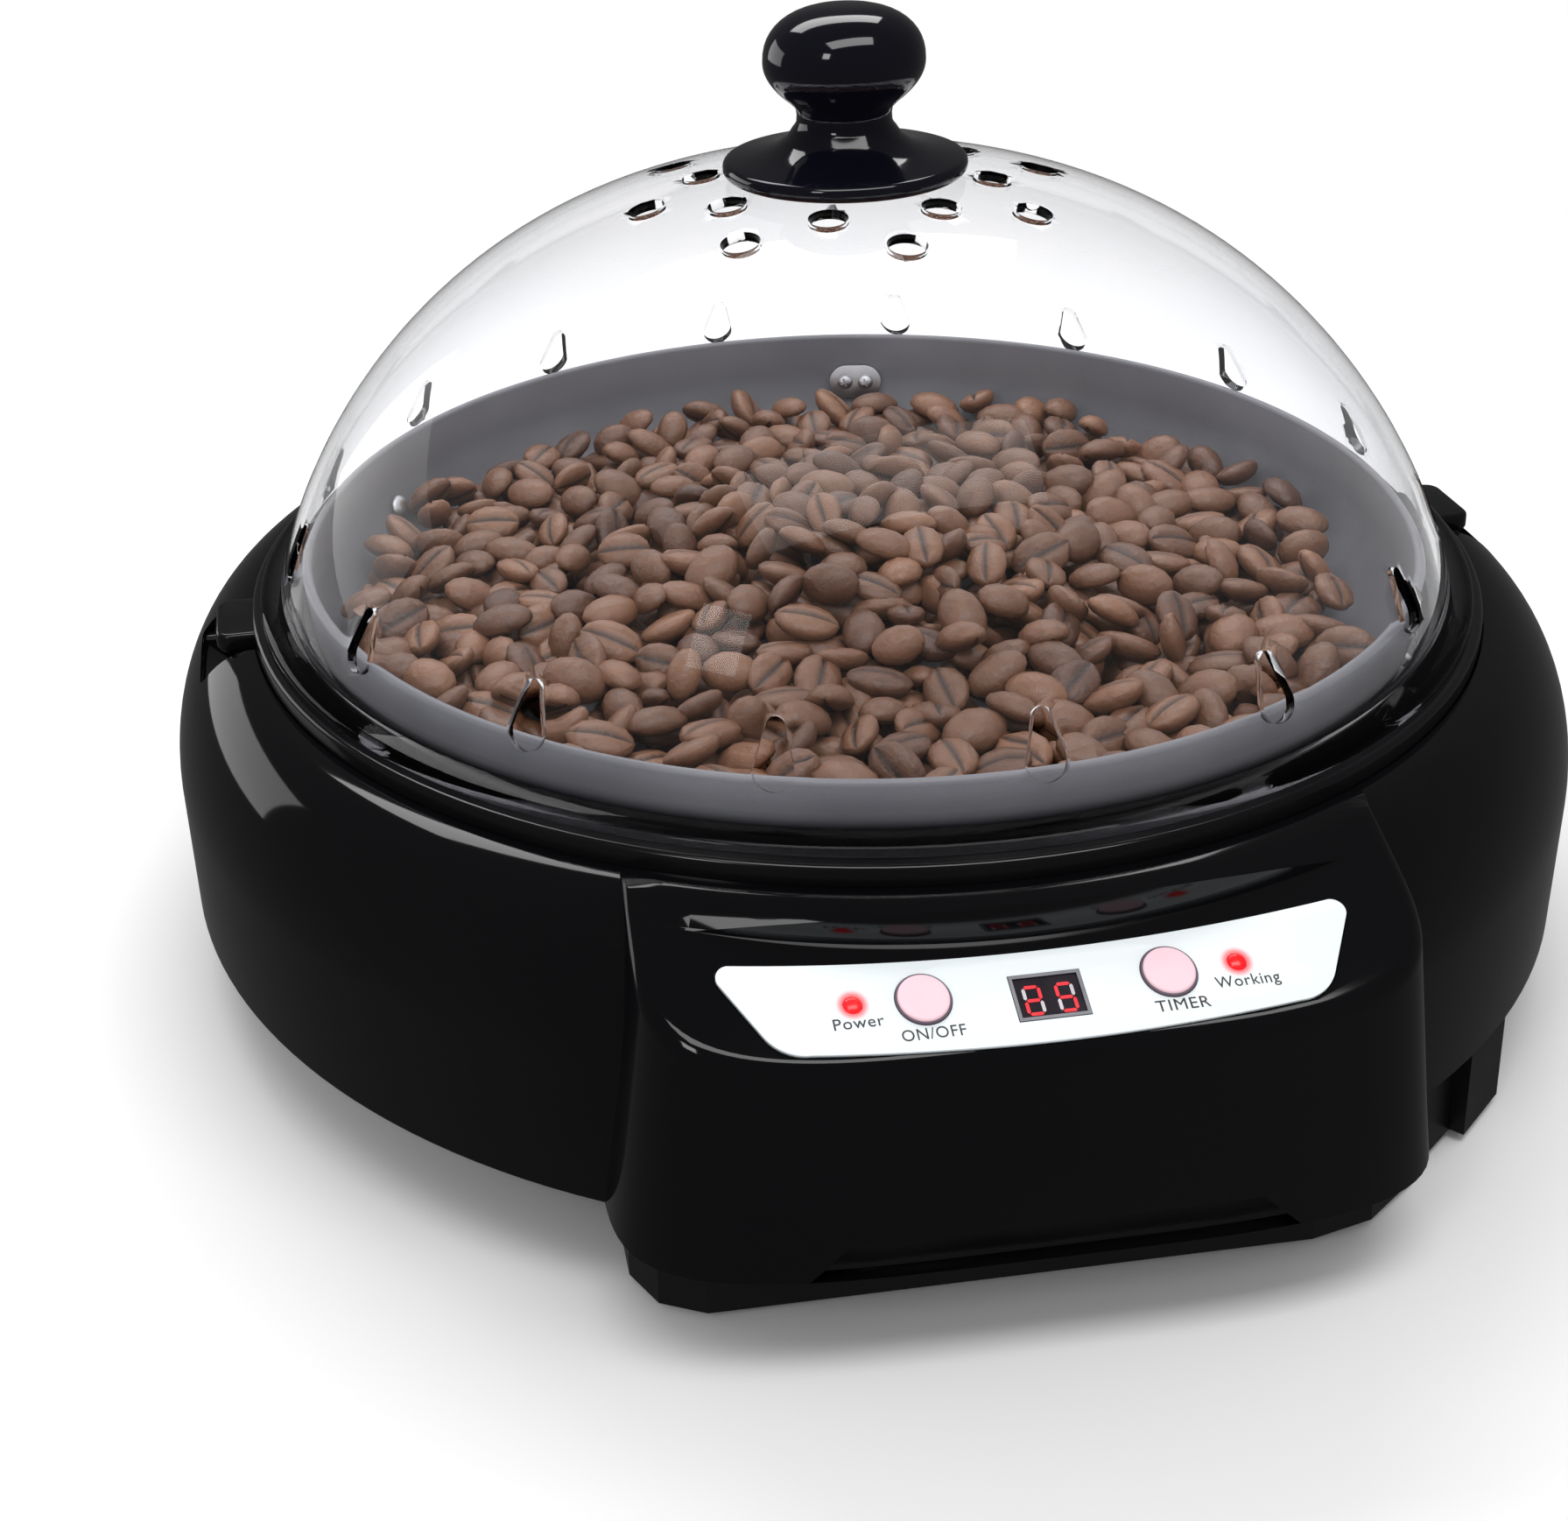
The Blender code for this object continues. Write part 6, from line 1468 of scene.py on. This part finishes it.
@dataclass
class PanUnit:
    """Grey pan, the black ring with two ears that carries it, rivets and the oval plate."""

    ring_outer: float = 126.9 * MM
    ring_inner: float = 115.9 * MM
    ring_top: float = 81.7 * MM
    ring_foot: float = 68.3 * MM
    ring_wall: float = 2.6 * MM
    ear_half_width: float = 9 * MM
    ear_reach: float = 134.5 * MM
    ear_top: float = 80 * MM
    ear_thickness: float = 4 * MM
    radius: float = 115 * MM
    top: float = 91 * MM
    wall: float = 2 * MM
    floor: float = 56.5 * MM
    floor_radius: float = 82 * MM
    shoulder: float = 82 * MM
    draft: float = 0.6 * MM
    bore: float = 8.3 * MM
    rivet_height: float = 76 * MM
    rivet_angle: float = math.radians(57.5)
    rivet_head: tuple = (3 * MM, 1.3 * MM)
    rivet_seat: float = 0.9 * MM
    rivet_shank: float = 1.5 * MM
    rivet_depth: float = 3.4 * MM
    plate_height: float = 79 * MM
    plate_angle: float = math.radians(166)
    plate_half_width: float = 6.5 * MM
    plate_radius: float = 4.25 * MM
    plate_low: float = 1.1 * MM
    plate_thickness: float = 1 * MM
    plate_round: float = 0.35 * MM
    screw_head: tuple = (1.9 * MM, 1.2 * MM)
    screw_shank: float = 0.9 * MM
    screw_depth: float = 3 * MM
    screw_spacing: float = 5.2 * MM
    cross_size: tuple = (2.2 * MM, 0.42 * MM, 1 * MM)
    cross_rise: float = 1.25 * MM
    cross_turn: float = 0.4

    def bowl(self, offset: float) -> list:
        """Draw the section of the pan's bowl, from its upper wall to its floor.

        Args:
            offset: how far inside the outer face.

        Returns:
            The points.
        """
        wall = self.radius - self.draft - offset
        floor_radius = self.floor_radius - offset / 2
        floor = self.floor + offset
        points = []
        for index in range(25):
            angle = math.pi / 2 * index / 24
            reach = floor_radius + (wall - floor_radius) * math.cos(angle)
            points.append((reach, self.shoulder - (self.shoulder - floor) * math.sin(angle)))
        return points

    def inner_reach(self, height: float) -> float:
        """Find the bowl's inner radius.

        Args:
            height: the height at which it is wanted.

        Returns:
            The radius.
        """
        wall = self.radius - self.draft - self.wall
        floor_radius = self.floor_radius - self.wall / 2
        share = (self.shoulder - height) / (self.shoulder - self.floor - self.wall)
        return floor_radius + (wall - floor_radius) * math.sqrt(max(0.0, 1 - share * share))

    def wall_place(self, height: float, angle: float) -> Matrix:
        """Find a place on the bowl's inner wall.

        Args:
            height: its height.
            angle: its angle from the front.

        Returns:
            The place, its Z axis square to the wall and pointing inwards.
        """
        step = 0.3 * MM
        lean = math.atan2(self.inner_reach(height + step) - self.inner_reach(height - step), 2 * step)
        inwards = Matrix.Translation((0, -self.inner_reach(height), height))
        return Matrix.Rotation(angle, 4, "Z") @ inwards @ Matrix.Rotation(lean - math.pi / 2, 4, "X")

    def pan(self) -> None:
        """Turn the pan with a rounded rim."""
        outer = self.bowl(0.0)
        inner = self.bowl(self.wall)
        inner.reverse()
        middle = (self.radius - self.wall / 2, self.top - self.wall / 2)
        rim = arc(middle, (self.wall / 2, self.wall / 2), math.pi, 0, 9)
        floor = [(self.bore, self.floor), (self.bore, self.floor + self.wall)]
        profile = [*rim, *outer, *floor, *inner]
        pan = turned("pan", profile, 144, closed=True)
        finished(smooth(pan, 40), PAN_GREY, Body.PAN, ["pan"])

    def ring(self) -> None:
        """Turn the ring with rounded upper edges and join its two ears."""
        edge = 1.1 * MM
        outer, inner, wall = self.ring_outer, self.ring_inner, self.ring_wall
        top, foot = self.ring_top, self.ring_foot
        corner = arc((outer - edge, top - edge), (edge, edge), math.pi / 2, 0, 7)
        step = arc((inner + edge, top - edge), (edge, edge), math.pi, math.pi / 2, 7)
        profile = [*step, *corner, (outer, foot), (outer - wall, foot), (outer - wall, top - wall)]
        profile += [(inner + wall, top - wall), (inner + wall, foot), (inner, foot)]
        ring = turned("pan_ring", profile, 144, closed=True)
        for side in (-1, 1):
            start = outer - wall / 2
            size = (self.ear_reach - start, 2 * self.ear_half_width, self.ear_thickness)
            middle = (side * (self.ear_reach + start) / 2, 0, self.ear_top - self.ear_thickness / 2)
            ear = block("ear", size, middle)
            open_mesh(ear)
            select_where(
                ear,
                "EDGE",
                lambda a, b, turn: abs(a.x - b.x) < MM / 10
                and abs(a.y - b.y) < MM / 10
                and abs(a.x) > self.ring_outer,
            )
            bpy.ops.mesh.bevel(offset=3 * MM, segments=6, profile=0.5)
            close_mesh()
            round_edges(ear, 0.9 * MM, 4, 50)
            carve(ring, ear, Cut.JOIN)
        finished(smooth(ring), RING_BLACK, Body.PAN, ["pan_ring"])

    def pin(
        self, name: str, head: tuple[float, float], seat: float, shank: float, depth: float
    ) -> bpy.types.Object:
        """Turn a domed head on a shank.

        Args:
            name: the pin's name.
            head: the head's radius and rise.
            seat: height at which the head rests.
            shank: the shank's radius.
            depth: how far the shank reaches down.

        Returns:
            The pin at the origin.
        """
        dome = arc((0, seat), head, math.pi / 2, 0, 9)
        return turned(name, [*dome, (shank, seat), (shank, -depth), (0, -depth)], 32)

    def repeated(self, piece: bpy.types.Object, stem: str, places: Sequence[Matrix]) -> None:
        """Copy a steel pin to its places, dress the copies and remove the first.

        Args:
            piece: the pin.
            stem: what the copies' names and nodes start with.
            places: where they go.
        """
        smooth(piece)
        for index, place in enumerate(places, start=1):
            name = f"{stem}_{index}"
            finished(copied(piece, name, place), RIVET_STEEL, Body.PAN, [name])
        bpy.data.objects.remove(piece, do_unlink=True)

    def rivets(self) -> None:
        """Turn one domed rivet and copy it to its two places."""
        rivet = self.pin("rivet", self.rivet_head, self.rivet_seat, self.rivet_shank, self.rivet_depth)
        angles = (self.rivet_angle, self.rivet_angle + math.pi)
        self.repeated(rivet, "pan_rivet", [self.wall_place(self.rivet_height, angle) for angle in angles])

    def oval_plate(self) -> None:
        """Press the oval plate and turn its two cross-slotted screws."""
        wall = self.wall_place(self.plate_height, self.plate_angle)
        radii = (self.plate_radius, self.plate_radius)
        reach = self.plate_half_width - self.plate_radius
        outline = arc((reach, 0), radii, -math.pi / 2, math.pi / 2, 16)
        outline += arc((-reach, 0), radii, math.pi / 2, 1.5 * math.pi, 16)
        top = self.plate_low + self.plate_thickness
        piece = plate("locating_plate", [outline], self.plate_low, top)
        round_edges(piece, self.plate_round, 3)
        finished(smooth(settle(piece, wall)), RIVET_STEEL, Body.PAN, ["locating_plate"])
        seat = top + 0.3 * MM
        screw = self.pin("screw", self.screw_head, seat, self.screw_shank, self.screw_depth)
        for turn in (0, math.pi / 2):
            cross = block("slot", self.cross_size, (0, 0, seat + self.cross_rise))
            carve(screw, settle(cross, Matrix.Rotation(turn + self.cross_turn, 4, "Z")))
        half = self.screw_spacing / 2
        places = [wall @ Matrix.Translation((across, 0, 0)) for across in (-half, half)]
        self.repeated(screw, "plate_screw", places)

    def build(self) -> None:
        """Build the pan unit's pieces."""
        self.pan()
        self.ring()
        self.rivets()
        self.oval_plate()


@dataclass
class Beans:
    """Load of roasted beans that lies in the pan and turns with the stirrer."""

    pan: PanUnit
    length: float = 12.4 * MM
    width: float = 9.0 * MM
    height: float = 6.8 * MM
    seed: int = 11
    spread: float = 103 * MM
    rim_height: float = 76.5 * MM
    crown_rise: float = 12.5 * MM
    crown_radius: float = 46 * MM
    layer_depth: float = 5.0 * MM
    layer_counts: tuple = (300, 360, 370)
    face_share: float = 0.62
    lobe_share: float = 0.5
    crease_depth: float = 0.85 * MM
    wide_gap: float = 8.6 * MM
    close_gap: float = 7.2 * MM
    jitter: float = 1.6 * MM
    flipped_share: float = 0.4

    def surface(self, reach: float) -> float:
        """Height of the heap's surface at a distance from the axis."""
        return self.rim_height + self.crown_rise * math.exp(-((reach / self.crown_radius) ** 2))

    def edge(self, angle: float) -> float:
        """Uneven reach of the heap at an angle."""
        return self.spread + (2.6 * math.sin(3 * angle + 1) + 1.9 * math.sin(8 * angle)) * MM

    def bean(self) -> bpy.types.Object:
        """Shape one bean: domed back, flatter face and a crease along its face.

        Returns:
            The bean at the origin.
        """
        deselect()
        bpy.ops.mesh.primitive_uv_sphere_add(
            segments=12, ring_count=7, radius=0.5, rotation=(0, math.pi / 2, 0)
        )
        bean = settle(started("bean"))
        open_mesh(bean)
        above = 0.2 * MM
        bpy.ops.transform.resize(value=(self.length, self.width, self.height))
        select_where(bean, "VERT", lambda co: co.z > above)
        bpy.ops.transform.resize(value=(1, 1, self.face_share), center_override=(0, 0, 0))
        select_where(bean, "VERT", lambda co: co.z > above and above < abs(co.y) < self.width * 0.3)
        bpy.ops.transform.resize(value=(1, self.lobe_share, 1), center_override=(0, 0, 0))
        select_where(bean, "VERT", lambda co: co.z > above and abs(co.y) < above / 2)
        bpy.ops.transform.translate(value=(0, 0, -self.crease_depth))
        close_mesh()
        # Mark the crease's points, where painted shade darkens the bean.
        crease = bean.data.attributes.new("crease", "FLOAT", "POINT")
        for point, value in zip(bean.data.vertices, crease.data):
            inside = point.co.z > -above and abs(point.co.y) < above / 2
            value.value = 1.0 if inside and abs(point.co.x) < self.length * 0.47 else 0.0
        pick(bean)
        bpy.ops.object.shade_smooth()
        return bean

    def places(self) -> list:
        """Scatter the beans in layers, each kept clear of the pan's wall.

        Returns:
            A place for each bean.
        """
        draw = random.Random(self.seed)
        places = []
        for level, count in enumerate(reversed(self.layer_counts)):
            taken: list = []
            tries = 0
            while len(taken) < count and tries < count * 80:
                tries += 1
                angle = draw.uniform(0, TURN)
                limit = self.edge(angle)
                reach = limit * math.sqrt(draw.random())
                point = polar(reach, angle)
                gap = self.wide_gap if tries < count * 20 else self.close_gap
                if any((point - other).length < gap for other in taken):
                    continue
                taken.append(point)
                height = self.surface(reach) - level * self.layer_depth
                height += draw.uniform(-self.jitter, self.jitter)
                wall = self.pan.inner_reach(min(height, self.pan.shoulder)) - self.width * 0.75
                shrink = min(1.0, wall / reach) if reach else 1.0
                turn = Quaternion((0, 0, 1), draw.uniform(0, TURN))
                roll = draw.gauss(0, 0.55) + (math.pi if draw.random() < self.flipped_share else 0.0)
                tilt = Quaternion((1, 0, 0), roll)
                lean = Quaternion((0, 1, 0), draw.gauss(0, 0.36))
                size = draw.uniform(0.86, 1.1)
                spot = Matrix.Translation((point.x * shrink, point.y * shrink, height))
                place = spot @ (turn @ lean @ tilt).to_matrix().to_4x4()
                places.append(place @ Matrix.Diagonal((size, size * draw.uniform(0.94, 1.06), size, 1)))
        return places

    def build(self) -> None:
        """Copy the bean to every place, as one piece, with a shade for each bean."""
        bean = self.bean()
        draw = random.Random(self.seed + 1)
        shade = bean.data.attributes.new("shade", "FLOAT", "POINT")
        copies = []
        for place in self.places():
            value = min(1.0, max(0.0, draw.gauss(0.5, 0.26)))
            copy = bean.copy()
            copy.data = bean.data.copy()
            bpy.context.scene.collection.objects.link(copy)
            copy.data.attributes["shade"].data.foreach_set("value", [value] * len(copy.data.vertices))
            copy.data.transform(place)
            copies.append(copy)
        bpy.data.objects.remove(bean, do_unlink=True)
        heap = joined(copies, "roasted_beans")
        finished(heap, ROASTED_BEAN, Body.STIRRER)


def numbered(stem: str, count: int) -> tuple[str, ...]:
    """Names of the like pieces of one kind."""
    return tuple(f"{stem}_{index}" for index in range(1, count + 1))


@dataclass
class PackedPieces:
    """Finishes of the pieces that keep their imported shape."""

    finishes: dict = field(
        default_factory=lambda: {
            BASE_BLACK: ("base_tray",),
            RUBBER: (*numbered("foot", 4), "cord_gland"),
            BRIGHT_TIN: ("heat_shield",),
            ELEMENT_SHEATH: ("heating_element",),
            STEEL: (
                *numbered("shield_screw", 3),
                *numbered("element_clip", 3),
                *numbered("motor_screw", 2),
                *numbered("board_screw", 2),
                *numbered("case_screw", 4),
                *numbered("stirrer_arm", 2),
                *("thermostat", "thermal_fuse", "motor", "motor_strap"),
                *("drive_shaft", "knob_screw", "knob_washer"),
            ),
            BOARD_GREEN: ("control_board", "mains_board"),
            RELAY_BLUE: ("relay",),
            WHITE_PLASTIC: ("terminal_block",),
            DARK_PLASTIC: ("switch_power", "switch_timer", "pan_bush", "stirrer_hub", "stirrer_cap"),
        }
    )

    def build(self) -> None:
        """Give every such piece its finish."""
        for finish, nodes in self.finishes.items():
            for node in nodes:
                paint(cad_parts[node], finish)
                LOG.info("%s keeps its packed form", node)


@dataclass
class Studio:
    """Pale floor, soft lamps, plain world and the camera."""

    focal_pixels: float = 2724.0
    centre_x: float = 625.0
    centre_y: float = 549.0
    image_width: float = 1791.0
    image_height: float = 1737.0
    sensor: float = 36.0
    pitch: float = math.radians(22.51)
    roll: float = math.radians(-3.43)
    distance: float = 508.8 * MM
    side: float = -63.1 * MM
    rise: float = 18.2 * MM
    swing: float = math.radians(5.06)
    aim_height: float = 82 * MM
    floor_clear: float = 0.32
    floor_gone: float = 0.62
    floor_white: Colour = (0.94, 0.94, 0.94)
    floor_roughness: float = 0.9
    world_light: float = 0.58
    world_mirrored: float = 0.1
    lamps: tuple = (
        ("rear_lamp", (0.0, 0.75, 1.1), (0, 0, 0.05), (1.2, 0.38), 7.5),
        ("front_lamp", (0.05, -0.45, 1.25), (0, 0, 0.05), (1.1, 0.4), 7),
        ("left_window", (-0.75, -0.9, 0.9), (0, 0, 0.15), (0.22, 0.3), 1.6),
        ("rear_left_card", (-0.95, 0.75, 0.3), (-0.12, 0, 0.05), (0.8, 0.5), 2.2),
    )

    def camera(self) -> None:
        """Set the camera at the photograph's viewpoint."""
        forward = Vector((0, math.cos(self.pitch), -math.sin(self.pitch)))
        right = Vector((1, 0, 0))
        up = right.cross(forward)
        tilted_right = right * math.cos(self.roll) + up * math.sin(self.roll)
        tilted_up = up * math.cos(self.roll) - right * math.sin(self.roll)
        place = right * self.side + up * self.rise - forward * self.distance
        swing = Matrix.Rotation(-self.swing, 3, "Z")
        deselect()
        bpy.ops.object.camera_add()
        camera = bpy.context.object
        camera.name = "photo_camera"
        axes = Matrix((swing @ tilted_right, swing @ tilted_up, swing @ -forward)).transposed()
        place = swing @ place + Vector((0, 0, self.aim_height))
        camera.matrix_world = Matrix.Translation(place) @ axes.to_4x4()
        lens = camera.data
        lens.sensor_fit = "HORIZONTAL"
        lens.sensor_width = self.sensor
        lens.lens = self.focal_pixels / self.image_width * self.sensor
        lens.shift_x = (self.image_width / 2 - self.centre_x) / self.image_width
        lens.shift_y = (self.centre_y - self.image_height / 2) / self.image_width
        lens.clip_start = 10 * MM
        lens.clip_end = 50.0
        bpy.context.scene.camera = camera

    def lamp(
        self, name: str, place: Sequence[float], aim: Sequence[float], size: Sequence[float], power: float
    ) -> None:
        """Hang a soft rectangular lamp.

        Args:
            name: the lamp's name.
            place: where it hangs.
            aim: the point it faces.
            size: its width and depth.
            power: its power in watts.
        """
        deselect()
        bpy.ops.object.light_add(type="AREA", location=tuple(place))
        lamp = bpy.context.object
        lamp.name = name
        lamp.data.shape = "RECTANGLE"
        lamp.data.size, lamp.data.size_y = size
        lamp.data.energy = power
        lamp.visible_camera = False
        lamp.visible_transmission = False
        toward = Vector(aim) - Vector(place)
        lamp.rotation_euler = toward.to_track_quat("-Z", "Y").to_euler()

    def floor_material(self) -> bpy.types.Material:
        """Build the floor's finish: white, gone with distance and left out of reflections.

        Returns:
            The material.
        """
        material = bpy.data.materials.new("floor_white")
        material.use_nodes = True
        wiring = Wiring(material.node_tree)
        wiring.shade({"Base Color": self.floor_white, "Roughness": self.floor_roughness})
        wiring.shade({"Specular IOR Level": 0.0})
        place = wiring.add("TexCoord").outputs["Object"]
        reach = wiring.add("VectorMath", {0: place}, operation="LENGTH").outputs["Value"]
        fade = wiring.stretched(reach, self.floor_clear, self.floor_gone, interpolation_type="SMOOTHSTEP")
        path = wiring.add("LightPath").outputs
        mirrored = wiring.math("SUBTRACT", path["Is Glossy Ray"], path["Is Transmission Ray"])
        wiring.let_through(wiring.math("MAXIMUM", fade, mirrored))
        return material

    def floor(self) -> None:
        """Lay the floor under the feet."""
        deselect()
        bpy.ops.mesh.primitive_plane_add(size=self.floor_gone * 2.2, location=(0, 0, 0))
        floor = started("floor")
        floor.data.materials.append(self.floor_material())

    def world(self) -> None:
        """Fill the surroundings: white behind the object, a plain level for light, dark in reflections."""
        world = bpy.data.worlds.new("studio")
        bpy.context.scene.world = world
        world.use_nodes = True
        wiring = Wiring(world.node_tree)
        background = world.node_tree.nodes["Background"]
        path = wiring.add("LightPath").outputs
        seen = wiring.math("MAXIMUM", path["Is Camera Ray"], path["Is Transmission Ray"])
        mirrored = wiring.math("SUBTRACT", path["Is Glossy Ray"], seen)
        level = wiring.add("MapRange", {"Value": seen, "To Min": self.world_light, "To Max": 1.0})
        strength = wiring.mixed(mirrored, level.outputs["Result"], self.world_mirrored, "FLOAT")
        wiring.feed(background.inputs["Color"], (1, 1, 1))
        wiring.feed(background.inputs["Strength"], strength)

    def build(self) -> None:
        """Set up the whole studio."""
        self.camera()
        self.floor()
        self.world()
        for lamp in self.lamps:
            self.lamp(*lamp)
        bpy.context.scene.view_settings.view_transform = "Standard"


def main() -> None:
    """Build every sub-assembly in order."""
    logging.basicConfig(level=logging.INFO, format="%(message)s")
    housing = Housing()
    panel = ControlPanel(housing)
    housing.build(panel.outline())
    panel.build()
    Lid().build()
    pan = PanUnit()
    pan.build()
    Beans(pan).build()
    PackedPieces().build()
    Studio().build()


if __name__ == "__main__":
    main()
